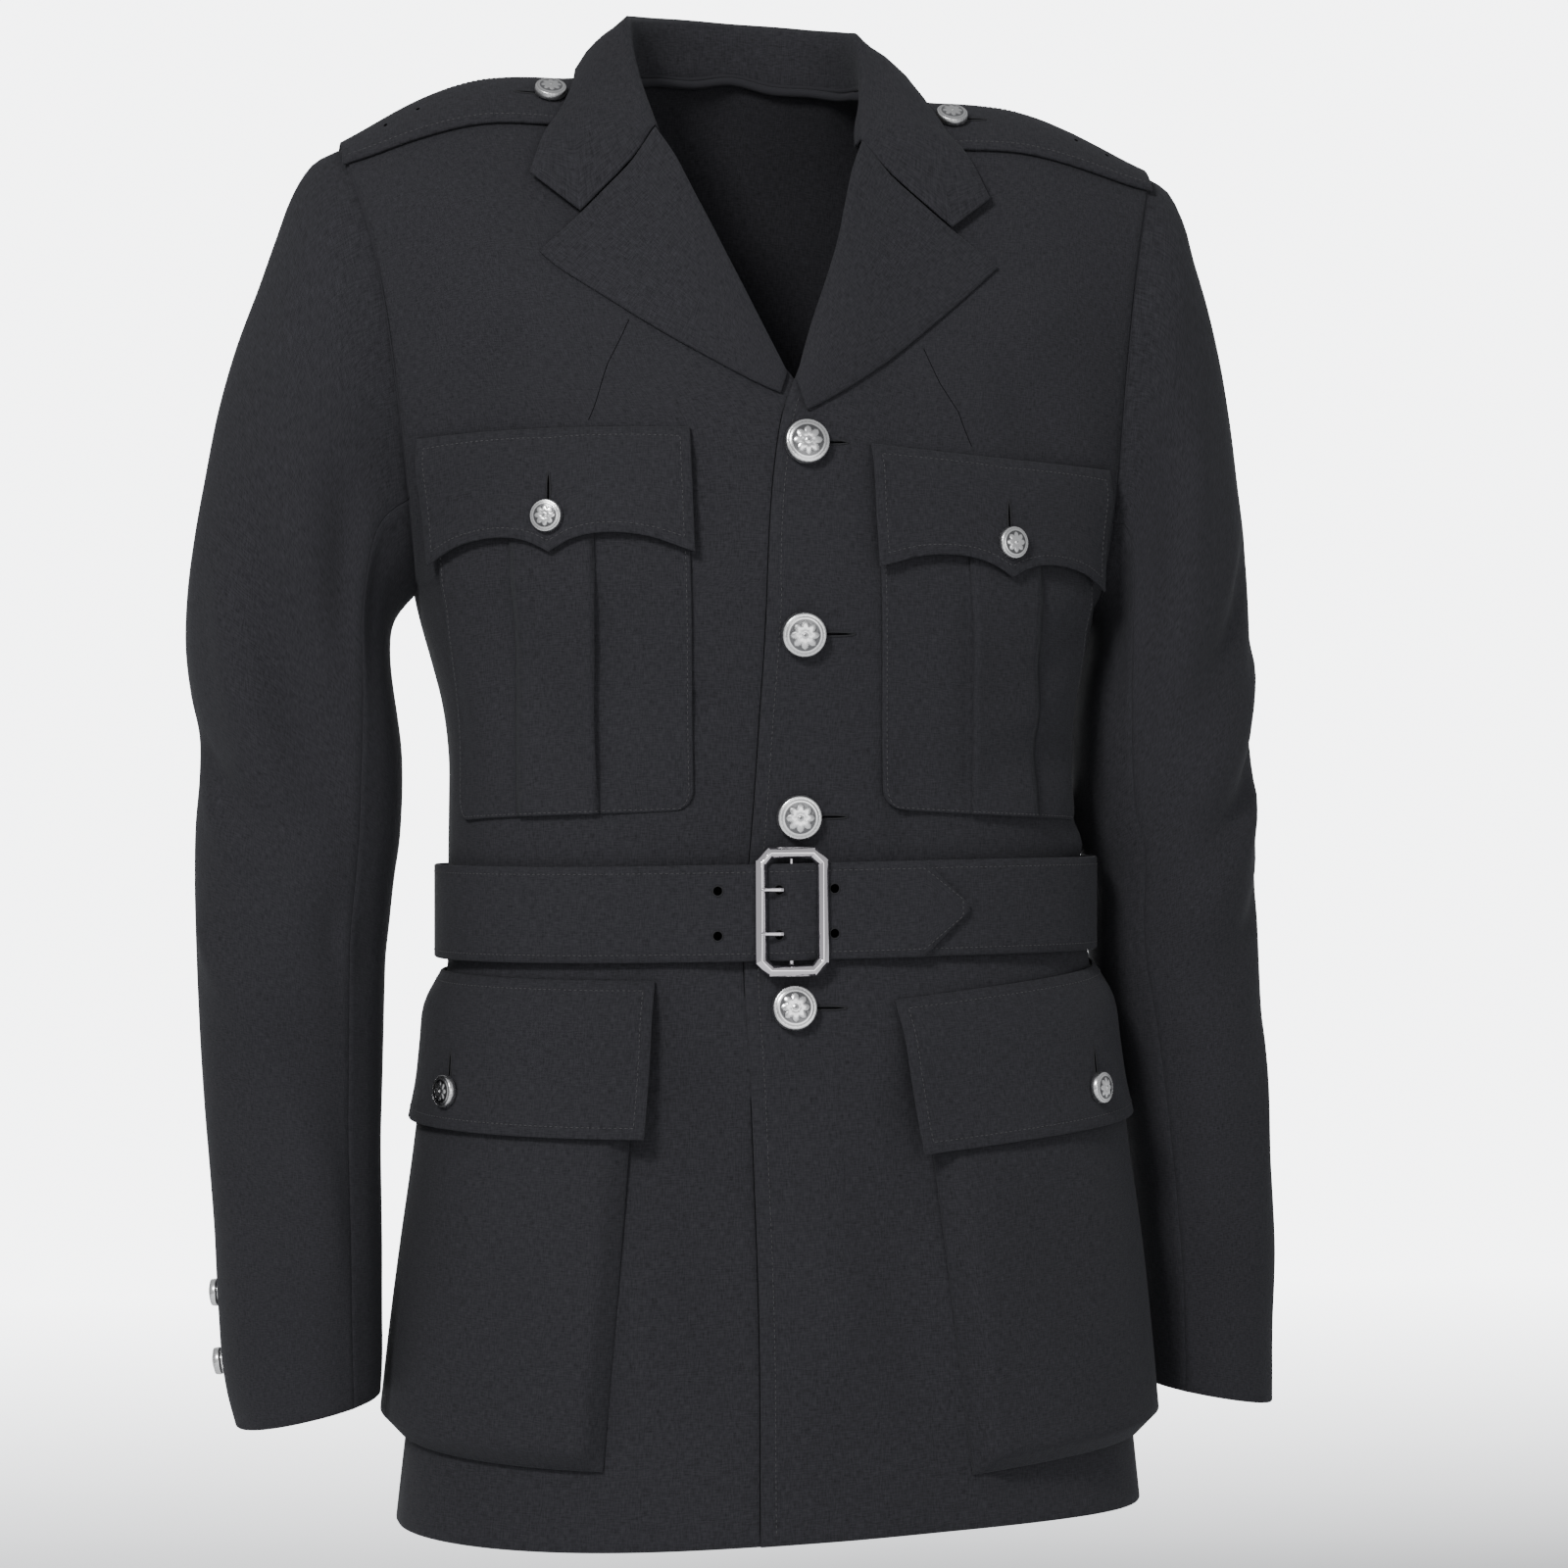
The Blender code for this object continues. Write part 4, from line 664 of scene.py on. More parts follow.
def grid_normals(grid, outward_from):
    """Unit normals of a grid of points, turned away from a centre line given by its x and y."""
    along = np.gradient(grid, axis=1)
    up = np.gradient(grid, axis=0)
    normal = np.cross(along, up)
    length = np.linalg.norm(normal, axis=-1, keepdims=True)
    normal = normal / np.maximum(length, 1e-12)
    middle = normal[grid.shape[0] // 3, grid.shape[1] // 2]
    spot = grid[grid.shape[0] // 3, grid.shape[1] // 2]
    hint = np.array([spot[0] - outward_from[0], spot[1] - outward_from[1], 0.0])
    return normal if np.dot(middle, hint) > 0 else -normal


def body_rows():
    """Row levels from the hem to the shoulder: heights below the armpit, then rows from 0 to 1 above it."""
    return [("level", height * MM) for height in LEVEL_ROWS] + [("chest", row) for row in CHEST_ROWS]


def chest_row(row, back, neck_scale=None):
    """Dense points of one chest row from the centre to the armhole: x, y, z."""
    reach = float(read_table(ARMHOLE, 1, ARMPIT + (SHOULDER_TIP - ARMPIT) * row))
    x = np.linspace(0, reach, 121)
    scaled = row * (neck_scale(x) if neck_scale else 1.0)
    z = ARMPIT + (ridge_height(x) - ARMPIT) * scaled
    y = chest_y(x, scaled, back)
    if row == 0.0:
        level_x, level_y, _ = level_section(round(ARMPIT * 1e5), back)
        return level_x, level_y, np.full_like(level_x, ARMPIT)
    return x, y, z


def run_along(x, y, z):
    """Length run so far along a line of points."""
    return np.concatenate([[0], np.cumsum(np.sqrt(np.diff(x) ** 2 + np.diff(y) ** 2 + np.diff(z) ** 2))])


def make_front(side):
    """One front, from its inner edge to the side seam and the armhole."""
    name = "front_left" if side > 0 else "front_right"
    column = LEFT_EDGE if side > 0 else RIGHT_EDGE
    grid = []
    for kind, value in body_rows():
        if kind == "level":
            x, y, run = level_section(round(value * 1e5), False)
            z = np.full_like(x, value)
            edge_x = float(read_table(FRONT_EDGES, column, value)) * side
        else:
            x, y, z = chest_row(value, False)
            run = run_along(x, y, z)
            height = ARMPIT
            for _ in range(6):
                edge_x = float(read_table(FRONT_EDGES, column, height)) * side
                height = float(np.interp(max(edge_x, 0.0), x, z))
        if edge_x >= 0:
            start = float(np.interp(edge_x, x, run))
        else:
            start = -float(np.interp(-edge_x, x, run))
        line = []
        for share in np.linspace(0, 1, FRONT_COLUMNS):
            girth = start + (run[-1] - start) * share
            sign = side if girth >= 0 else -side
            reach = abs(girth)
            point = (np.interp(reach, run, x) * sign, np.interp(reach, run, y), np.interp(reach, run, z))
            line.append(point)
        grid.append(line)
    flat = np.array(grid)
    flat[..., 1] -= SEAM_GAP / 2
    outer = posed(flat)
    normal = grid_normals(outer, (0.0, 0.0))
    for part in (normal[:, -1], normal[-1, :]):
        part[:, 1] = 0.0
    armhole = slice(len(LEVEL_ROWS) + 1, -1)
    normal[armhole, -1] = grid_normals(outer, (0.0, 0.0))[armhole, -1]
    normal /= np.linalg.norm(normal, axis=-1, keepdims=True)
    if side > 0:
        lift = front_lift(flat[..., 0], flat[..., 2])[..., None]
        outer = outer + normal * lift
    return wall(name, outer, outer - normal * CLOTH)


def neck_scale_table():
    """How much of its height each back column keeps under the neckline."""
    places = np.linspace(0, NECK_HALF_WIDTH, 12)
    scales = []
    for x in places:
        want = NECK_BACK_DEPTH * math.sqrt(max(1 - (x / NECK_HALF_WIDTH) ** 2, 0.0))
        low, high = 0.5, 1.0
        for _ in range(40):
            middle = (low + high) / 2
            if float(chest_y(x, middle, True)) > want:
                low = middle
            else:
                high = middle
        scales.append(low)
    return places, np.array(scales)


def make_back():
    """The back, from side seam to side seam, up to the armholes, shoulder seams and neckline."""
    places, scales = neck_scale_table()

    def neck_scale(x):
        return np.interp(np.abs(x), places, scales, right=1.0)

    grid = []
    for kind, value in body_rows():
        if kind == "level":
            x, y, run = level_section(round(value * 1e5), True)
            z = np.full_like(x, value)
        else:
            x, y, z = chest_row(value, True, neck_scale)
            run = run_along(x, y, z)
        line = []
        for share in np.linspace(-1, 1, BACK_COLUMNS):
            reach = abs(share) * run[-1]
            point = (
                math.copysign(np.interp(reach, run, x), share), np.interp(reach, run, y), np.interp(reach, run, z),
            )
            line.append(point)
        grid.append(line)
    flat = np.array(grid)
    flat[..., 1] += SEAM_GAP / 2
    outer = posed(flat)
    plain = grid_normals(outer, (0.0, 0.0))
    normal = plain.copy()
    normal[:, 0, 1] = 0.0
    normal[:, -1, 1] = 0.0
    on_seam = np.abs(flat[-1, :, 0]) > NECK_HALF_WIDTH
    normal[-1, on_seam, 1] = 0.0
    armhole = slice(len(LEVEL_ROWS) + 1, -1)
    normal[armhole, 0] = plain[armhole, 0]
    normal[armhole, -1] = plain[armhole, -1]
    normal /= np.linalg.norm(normal, axis=-1, keepdims=True)
    return wall("back", outer, outer - normal * CLOTH)


def make_lapel(side):
    """One lapel: the facing turned back over the front, from the roll to its outer edge."""
    table = LAPEL_LEFT if side > 0 else LAPEL_RIGHT
    rows = np.linspace(0, len(table) - 1, LAPEL_ROWS)
    index = np.arange(len(table))
    keyed = np.column_stack([index, table])
    outer, inner = [], []
    for row in rows:
        roll_x, roll_z, edge_x, edge_z = (float(read_table(keyed, k, row)) for k in (1, 2, 3, 4))
        outer_line, inner_line = [], []
        width = math.hypot(edge_x - roll_x, edge_z - roll_z)
        near_gorge = float(smoothstep(row, len(table) - 3.5, len(table) - 1.0))
        for share, dip in LAPEL_ACROSS:
            x = roll_x + (edge_x - roll_x) * share
            z = roll_z + (edge_z - roll_z) * share + dip * MM * near_gorge
            bulge = LAPEL_BULGE * min(width / (40 * MM), 1.0) * math.sin(math.pi * min(share + 0.12, 1.0)) ** 0.8
            base = LAY_GAP + bulge + (float(front_lift(abs(x), z)) if side > 0 else 0.0)
            inner_line.append(on_front(x, z, base))
            outer_line.append(on_front(x, z, base + CLOTH))
        outer.append(outer_line)
        inner.append(inner_line)
    return wall("lapel_left" if side > 0 else "lapel_right", np.array(outer), np.array(inner))


def gorge_point(side, share, dip):
    """Place on the collar's side of the gorge seam, at a share of the lapel's width."""
    roll_x, roll_z, edge_x, edge_z = (LAPEL_LEFT if side > 0 else LAPEL_RIGHT)[-1]
    along = np.array([edge_x - roll_x, edge_z - roll_z])
    upward = np.array([-along[1] * side, along[0] * side]) / np.linalg.norm(along)
    place = np.array([roll_x, roll_z]) + along * share + np.array([0.0, dip * MM]) + upward * GORGE_GAP
    return place[0], place[1]


def collar_station(row, side):
    """Middle line of the collar at one station: stand foot, stand, fold, fall and outer edge."""
    mirror = np.array([side, 1, 1])
    foot, roll = np.array(row[:3]) * MM * mirror, np.array(row[3:6]) * MM * mirror
    if row[8] == ON_SHOULDER:
        edge = on_shoulder(side, row[6] * MM, row[7] * MM, COLLAR_SHOULDER_LIFT)
    else:
        edge = on_front(row[6] * MM * side, row[7] * MM, COLLAR_EDGE_LIFT, row[8] == ON_BACK)
    reach = math.hypot(roll[0], roll[1])
    outward = np.array([roll[0] / reach, roll[1] / reach, 0.0])
    down = np.array([0, 0, -COLLAR_FOLD])
    top = roll + down - outward * 0.3 * MM
    shed = posed(roll + outward * COLLAR_FOLD * 1.9 + down * 1.2)
    line = [posed(foot), posed((foot + top) / 2), posed(top), posed(roll + outward * COLLAR_FOLD * 0.7), shed]
    bulge = np.array([outward[0], outward[1], 0.6]) * 2.5 * MM
    for share in (0.33, 0.67):
        line.append(shed + (edge - shed) * share + bulge * math.sin(math.pi * share))
    return line + [edge]


def make_collar():
    """The collar: a stand round the neck, a soft roll and a fall with a leaf at each end."""
    stations = [collar_station(row, -1) for row in COLLAR[::-1]]
    stations += [collar_station(row, 1) for row in COLLAR[1:]]
    middle = np.array(stations)
    for end, side in ((0, -1), (-1, 1)):
        for column, k in ((5, 2), (6, 4)):
            x, z = gorge_point(side, *LAPEL_ACROSS[k])
            middle[end, column] = on_front(x, z, COLLAR_EDGE_LIFT - 0.5 * MM)
    normal = np.cross(np.gradient(middle, axis=0), np.gradient(middle, axis=1))
    normal /= np.linalg.norm(normal, axis=-1, keepdims=True)
    return wall("collar", middle + normal * CLOTH / 2, middle - normal * CLOTH / 2)


def sleeve_ring(side, place, angle):
    """Posed point of a sleeve: place runs along the table from 0 (armhole), angle 0 is outer, 90 is front."""
    table = SLEEVE_LEFT if side > 0 else SLEEVE_RIGHT
    keyed = np.column_stack([np.arange(len(table)) + 1.0, table])
    radians = math.radians(angle)
    power = 2 / SLEEVE_SQUARENESS
    outer_part = math.copysign(abs(math.cos(radians)) ** power, math.cos(radians))
    front_part = math.copysign(abs(math.sin(radians)) ** power, math.sin(radians))
    hole_power = 2 / ARMHOLE_SQUARENESS
    row = (1 + math.copysign(abs(math.cos(radians)) ** hole_power, math.cos(radians))) / 2
    depth = float(armhole_depth(row, radians < 0 or radians > math.pi))
    height = ARMPIT + (SHOULDER_TIP - ARMPIT) * row
    distance = float(read_table(ARMHOLE, 1, height)) + SEAM_GAP
    hole = posed((side * distance, -math.copysign(depth, front_part), height))
    if place <= 0:
        return hole
    values = [float(read_table(keyed, k, max(place, 1.0))) * MM for k in range(1, 7)]
    outer_x, outer_z, inner_x, inner_z, middle_y, half_depth = values
    ring = np.array([
        (outer_x + inner_x) / 2 + (outer_x - inner_x) / 2 * outer_part,
        middle_y - half_depth * front_part,
        (outer_z + inner_z) / 2 + (outer_z - inner_z) / 2 * outer_part,
    ])
    return hole + (ring - hole) * place if place < 1 else ring


def seam_angle(side, place):
    """Angle of the hind seam at a place along a sleeve."""
    table = SLEEVE_LEFT if side > 0 else SLEEVE_RIGHT
    keyed = np.column_stack([np.arange(len(table)) + 1.0, table])
    return float(read_table(keyed, 7, max(place, 1.0)))


def make_sleeve(side):
    """One sleeve in two pieces, top sleeve and under sleeve, open at the armhole and at the cuff."""
    table = SLEEVE_LEFT if side > 0 else SLEEVE_RIGHT
    places = np.linspace(0, len(table), SLEEVE_ROWS)
    word = "left" if side > 0 else "right"
    parts = {"sleeve_top_" + word: [], "sleeve_under_" + word: []}
    for place in places:
        hind = seam_angle(side, place)
        spans = (
            np.linspace(hind, FRONT_SEAM_ANGLE, TOP_COLUMNS),
            np.linspace(FRONT_SEAM_ANGLE, hind + 360, UNDER_COLUMNS),
        )
        for key, span in zip(parts, spans):
            trim = math.degrees(SEAM_GAP / 2 / SLEEVE_RADIUS)
            angles = span.copy()
            angles[0] += trim
            angles[-1] -= trim
            line = []
            for angle in angles:
                turned = (angle + 180) % 360 - 180
                line.append(sleeve_ring(side, place, turned))
            parts[key].append(line)
    for key, rows in parts.items():
        outer = np.array(rows)
        centres = np.array([
            (sleeve_ring(side, place, 0.0) + sleeve_ring(side, place, 180.0)) / 2 for place in places
        ])
        along = np.gradient(outer, axis=0)
        around = np.gradient(outer, axis=1)
        normal = np.cross(along, around)
        normal /= np.maximum(np.linalg.norm(normal, axis=-1, keepdims=True), 1e-12)
        away = outer - centres[:, None, :]
        normal *= np.sign((normal * away).sum(axis=-1, keepdims=True))
        for column in (0, -1):
            normal[:, column] = away[:, column] / np.linalg.norm(away[:, column], axis=-1, keepdims=True)
        first = away[0] / np.linalg.norm(away[0], axis=-1, keepdims=True)
        first[:, 0] = 0.0
        normal[0] = first / np.linalg.norm(first, axis=-1, keepdims=True)
        normal /= np.linalg.norm(normal, axis=-1, keepdims=True)
        wall(key, outer, outer - normal * SLEEVE_CLOTH)


def make_epaulette(side):
    """One shoulder strap, from the armhole seam to under the collar."""
    outer, inner = [], []
    for distance in np.linspace(EPAULETTE[0, 0], EPAULETTE[-1, 0], 10):
        middle = float(read_table(EPAULETTE, 1, distance))
        half = float(read_table(EPAULETTE, 2, distance))
        places = [middle + half * share for share in np.linspace(-1, 1, 6)]
        inner.append([on_shoulder(side, distance, place, POCKET_GAP) for place in places])
        outer.append([on_shoulder(side, distance, place, POCKET_GAP + EPAULETTE_CLOTH) for place in places])
    return wall("epaulette_left" if side > 0 else "epaulette_right", np.array(outer), np.array(inner))


def make_chest_pocket(word):
    """A patch pocket with a raised box pleat down its middle, and its scalloped flap."""
    side, inner_girth, outer_girth, top, bottom, drop = CHEST_POCKETS[word]
    low, high = inner_girth * MM, outer_girth * MM
    middle, half = (low + high) / 2, (high - low) / 2
    base = POCKET_GAP
    edges = [-1.0, -0.9, -0.7, -0.5, -(PLEAT_HALF - PLEAT_TUCK) / half, -PLEAT_HALF / half, -0.1]
    shares = edges + [-e for e in reversed(edges)]
    outer, inner = [], []
    rows = [bottom * MM + up * MM for up in (0, 0.8, 2, 4, 7, 10, 14)]
    rows += list(np.linspace(rows[-1] + 12 * MM, top * MM, 14))
    for height in rows:
        outer_line, inner_line = [], []
        missing = max(POCKET_CORNER - (height - rows[0]), 0.0)
        tuck = POCKET_CORNER - math.sqrt(POCKET_CORNER ** 2 - missing ** 2)
        below_flap = float(smoothstep(top * MM - 62 * MM - height, 0.0, 14 * MM))
        near_hem = float(smoothstep(height - rows[0], 4 * MM, 22 * MM))
        for k, share in enumerate(shares):
            girth = (middle + (half - tuck * abs(share) ** 6) * share) * side
            rise = PLEAT_RISE if k in PLEAT_TOP else 0.0
            rise += PLEAT_CURL * below_flap * near_hem * max(-share * half / PLEAT_HALF, 0.0) ** 2 if rise else 0.0
            level = height - drop * MM * (1 + share) / 2
            inner_line.append(lay_girth(girth, level, base + 0.02 * rise))
            outer_line.append(lay_girth(girth, level, base + POCKET_CLOTH + rise))
        outer.append(outer_line)
        inner.append(inner_line)
    wall("chest_pocket_" + word, np.array(outer), np.array(inner))

    outer, inner = [], []
    flap_half = half + CHEST_FLAP_WIDTH_SPARE
    flap_base = base + POCKET_CLOTH + PLEAT_RISE + POCKET_GAP
    flap_top = top * MM + CHEST_FLAP_TOP
    for down in np.linspace(0, 1, 6):
        outer_line, inner_line = [], []
        for share in np.linspace(0, 1, 17):
            depth = float(read_table(SCALLOP, 1, share))
            girth = (middle + flap_half * (2 * share - 1)) * side
            level = flap_top - depth * down - drop * MM * share
            near_top = smoothstep(down, 0.0, 0.2)
            lift = base + (flap_base - base) * float(near_top) + FLAP_CURL * float(smoothstep(down, 0.55, 1.0))
            inner_line.append(lay_girth(girth, level, lift))
            outer_line.append(lay_girth(girth, level, lift + POCKET_CLOTH))
        outer.append(outer_line)
        inner.append(inner_line)
    wall("chest_flap_" + word, np.array(outer), np.array(inner))


def hip_rise(across, down):
    """Rise of a hip pocket off the skirt, from its place across (0 to 1) and down (0 top, 1 bottom)."""
    side_fall = min(across, 1 - across) / 0.05
    bottom_fall = (1 - down) / 0.04
    full = HIP_RISE_TOP + (HIP_RISE - HIP_RISE_TOP) * float(smoothstep(down, 0.0, 0.75))
    return full * min(side_fall, bottom_fall, 1.0)


def hip_place(word, across, down, spare=0.0):
    """Girth and height on a hip pocket, from its place across and down; spare widens it at both sides."""
    side, inner_top, inner_bottom, outer, top_in, top_out, bottom_in, bottom_out = HIP_POCKETS[word]
    inner = (inner_top + (inner_bottom - inner_top) * down) * MM - spare
    reach = outer * MM + spare
    top = (top_in + (top_out - top_in) * across) * MM
    bottom = (bottom_in + (bottom_out - bottom_in) * across) * MM
    return side * (inner + (reach - inner) * across), top + (bottom - top) * down


def make_hip_pocket(word):
    """A bellows pocket, hollow behind, that stands proud of the skirt, and its straight flap."""
    base = POCKET_GAP
    outer, inner = [], []
    for down in (1.0, 0.96, 0.8, 0.6, 0.4, 0.25, HIP_MOUTH):
        outer_line, inner_line = [], []
        for across in HIP_COLUMNS:
            girth, level = hip_place(word, across, down)
            rise = hip_rise(across, down) + (HIP_HEM_SLACK if down == 1.0 else 0.0)
            inner_line.append(lay_girth(girth, level, base + rise))
            outer_line.append(lay_girth(girth, level, base + rise + CLOTH))
        outer.append(outer_line)
        inner.append(inner_line)
    wall("hip_pocket_" + word, np.array(outer), np.array(inner))

    outer, inner = [], []
    depth_share = HIP_FLAP_DEPTH / abs((HIP_POCKETS[word][6] - HIP_POCKETS[word][4]) * MM)
    for part in np.linspace(0, 1, 5):
        outer_line, inner_line = [], []
        down = depth_share * part - 0.01
        for across in np.linspace(0, 1, 10):
            girth, level = hip_place(word, across, down, HIP_FLAP_SPARE)
            full = HIP_RISE_TOP + (HIP_RISE - HIP_RISE_TOP) * float(smoothstep(down, 0.0, 0.75))
            lift = POCKET_GAP + (full + CLOTH + 1.4 * POCKET_GAP) * float(smoothstep(part, -0.04, 0.22))
            lift += FLAP_CURL * float(smoothstep(part, 0.65, 1.0))
            inner_line.append(lay_girth(girth, level, lift))
            outer_line.append(lay_girth(girth, level, lift + POCKET_CLOTH))
        outer.append(outer_line)
        inner.append(inner_line)
    wall("hip_flap_" + word, np.array(outer), np.array(inner))


def whole_girth(height):
    """Whole girth of the body at a height."""
    key = round(height * 1e5)
    return 2 * (level_section(key, False)[2][-1] + level_section(key, True)[2][-1])


def belt_point(girth, height, lift):
    """Posed point of the stiff belt: straight up and down, at a signed girth along its middle."""
    base = at_girth(girth, WAIST)
    outward = on_girth(girth, WAIST, 1.0) - base
    outward[2] = 0.0
    return base + outward / np.linalg.norm(outward) * lift + np.array([0.0, 0.0, height - WAIST])


def belt_lift(girth, whole):
    """Lift of the belt's inner face at a girth: close in front, a little off the sides and the back."""
    off_centre = min(girth, whole - girth)
    return BELT_LIFT_FRONT + (BELT_LIFT_SIDE - BELT_LIFT_FRONT) * float(smoothstep(off_centre, 60 * MM, 170 * MM))


def make_belt():
    """The belt: from the buckle's bar round the back, through the buckle and on to its pointed end."""
    whole = whole_girth(WAIST)
    start, end = BUCKLE_AT + 4 * MM, whole + BELT_TIP
    lap_from = whole - BELT_LAP_FROM
    over_bar = [whole + BUCKLE_AT + offset * MM for offset in (-12, -8, -4, 0, 4, 8, 12)]
    stations = list(np.linspace(start, lap_from, BELT_STATIONS)[:-1])
    stations += list(np.linspace(lap_from, over_bar[0], 7)[:-1]) + over_bar
    stations += list(np.linspace(over_bar[-1], end - BELT_TIP_LENGTH, 12)[1:])
    stations += [end - BELT_TIP_LENGTH * share for share in (0.98, 0.75, 0.5, 0.25, 0.1, 0.0)]
    outer, inner = [], []
    for run in stations:
        girth = run if run <= whole / 2 else run - whole
        lapped = float(smoothstep(run, lap_from, whole - BELT_LAP_FULL))
        lift = belt_lift(run if run <= whole else run - whole, whole)
        lift += lapped * (BELT_CLOTH + BELT_PLY_GAP)
        hump = 1 - min(abs(run - whole - BUCKLE_AT) / BELT_HUMP_REACH, 1.0)
        lift += BELT_HUMP * float(smoothstep(hump, 0.0, 0.6))
        half = BELT_WIDTH / 2
        to_tip = end - run
        if to_tip < BELT_TIP_LENGTH:
            half *= 0.06 + 0.94 * to_tip / BELT_TIP_LENGTH
        outer_line, inner_line = [], []
        for share in (-1.0, 0.0, 1.0):
            height = WAIST + half * share
            inner_line.append(belt_point(girth, height, lift))
            outer_line.append(belt_point(girth, height, lift + BELT_CLOTH))
        outer.append(outer_line)
        inner.append(inner_line)
    return wall("belt", np.array(outer), np.array(inner))


def buckle_axes():
    """Centre of the buckle on the belt, and its across, up and outward directions."""
    lift = BELT_LIFT_FRONT + 2 * BELT_CLOTH + 2 * BELT_PLY_GAP
    centre = on_girth(BUCKLE_AT, WAIST, lift)
    out = on_girth(BUCKLE_AT, WAIST, lift + 10 * MM) - centre
    out /= np.linalg.norm(out)
    across = np.cross(np.array([0.0, 0.0, 1.0]), out)
    across = -across / np.linalg.norm(across)
    across = across if across[0] > 0 else -across
    up = np.cross(out, across)
    up = up if up[2] > 0 else -up
    return centre, across, up, out


@dataclass(frozen=True)
class ClothFinish:
    """Fine worsted: a plain weave on the cut's own lengths, mottled yarn colour and a little fuzz."""

    name: str
    colour: tuple
    fleck: float = 0.46
    thread: float = 0.00055
    bump: float = 0.35

    def build(self):
        """The node material."""
        made, tree, shader, output = new_material(self.name)
        uv = node(tree, "ShaderNodeUVMap", (-1500, 0))
        uv.uv_map = "Cut"
        place = node(tree, "ShaderNodeTexCoord", (-1500, -400))
        waves = []
        for direction, spot in (("X", 200), ("Y", -50)):
            wave = node(tree, "ShaderNodeTexWave", (-1200, spot))
            wave.wave_type, wave.bands_direction, wave.wave_profile = "BANDS", direction, "SIN"
            wave.inputs["Scale"].default_value = 0.314 / self.thread
            wave.inputs["Distortion"].default_value = 0.6
            wave.inputs["Detail"].default_value = 1.0
            wave.inputs["Detail Scale"].default_value = 1.5
            tree.links.new(uv.outputs[0], wave.inputs["Vector"])
            waves.append(wave)
        weave = maths(tree, "MULTIPLY", waves[0].outputs["Fac"], waves[1].outputs["Fac"], (-950, 100))
        slub = stretched_noise(tree, uv, (1500.0, 210.0, 1.0), (-1200, -300))
        cloud = stretched_noise(tree, uv, (230.0, 1500.0, 1.0), (-1200, -520))
        wide = noise(tree, place, 9.0, 2.0, 0.5, (-1200, -740))
        mixed = maths(tree, "ADD", slub.outputs["Fac"], cloud.outputs["Fac"], (-950, -350))
        mixed = maths(tree, "ADD", mixed.outputs[0], maths(
            tree, "MULTIPLY", wide.outputs["Fac"], 0.2, (-950, -700)).outputs[0], (-760, -350))
        ramp = node(tree, "ShaderNodeMapRange", (-560, -300))
        ramp.inputs["From Min"].default_value = 0.72
        ramp.inputs["From Max"].default_value = 1.48
        ramp.inputs["To Min"].default_value = 1.0 - self.fleck
        ramp.inputs["To Max"].default_value = 1.0 + self.fleck
        tree.links.new(mixed.outputs[0], ramp.inputs["Value"])
        tint = node(tree, "ShaderNodeVectorMath", (-360, -100))
        tint.operation = "SCALE"
        tint.inputs[0].default_value = self.colour
        tree.links.new(ramp.outputs[0], tint.inputs["Scale"])
        tree.links.new(tint.outputs[0], shader.inputs["Base Color"])
        height = maths(tree, "ADD", weave.outputs[0], maths(
            tree, "MULTIPLY", slub.outputs["Fac"], 0.8, (-760, 0)).outputs[0], (-560, 60))
        bump = node(tree, "ShaderNodeBump", (-300, 120))
        bump.inputs["Strength"].default_value = self.bump
        bump.inputs["Distance"].default_value = 0.00025
        tree.links.new(height.outputs[0], bump.inputs["Height"])
        pucker = node(tree, "ShaderNodeBump", (-120, 60))
        pucker.inputs["Strength"].default_value = 0.18
        pucker.inputs["Distance"].default_value = 0.004
        soft = noise(tree, place, 38.0, 2.0, 0.5, (-560, 300))
        tree.links.new(soft.outputs["Fac"], pucker.inputs["Height"])
        tree.links.new(bump.outputs[0], pucker.inputs["Normal"])
        tree.links.new(pucker.outputs[0], shader.inputs["Normal"])
        shader.inputs["Roughness"].default_value = 1.0
        shader.inputs["Specular IOR Level"].default_value = 0.12
        shader.inputs["Sheen Weight"].default_value = 0.04
        shader.inputs["Sheen Roughness"].default_value = 0.55
        shader.inputs["Sheen Tint"].default_value = (0.75, 0.78, 0.82, 1.0)
        return made


@dataclass(frozen=True)
class ThreadFinish:
    """Sewing thread with a fine twist; the same build also makes the near-black painted shade of sunk seam lines and
    holes.
    """

    name: str
    colour: tuple
    gloss: float = 0.3

    def build(self):
        """The node material."""
        made, tree, shader, output = new_material(self.name)
        place = node(tree, "ShaderNodeTexCoord", (-900, 0))
        twist = noise(tree, place, 2600.0, 2.0, 0.6, (-650, 0))
        ramp = node(tree, "ShaderNodeMapRange", (-420, 60))
        ramp.inputs["To Min"].default_value = 0.7
        ramp.inputs["To Max"].default_value = 1.35
        tree.links.new(twist.outputs["Fac"], ramp.inputs["Value"])
        tint = node(tree, "ShaderNodeVectorMath", (-220, 60))
        tint.operation = "SCALE"
        tint.inputs[0].default_value = self.colour
        tree.links.new(ramp.outputs[0], tint.inputs["Scale"])
        tree.links.new(tint.outputs[0], shader.inputs["Base Color"])
        bump = node(tree, "ShaderNodeBump", (-220, -160))
        bump.inputs["Strength"].default_value = 0.4
        bump.inputs["Distance"].default_value = 0.0001
        tree.links.new(twist.outputs["Fac"], bump.inputs["Height"])
        tree.links.new(bump.outputs[0], shader.inputs["Normal"])
        shader.inputs["Roughness"].default_value = 0.85
        shader.inputs["Specular IOR Level"].default_value = self.gloss
        return made


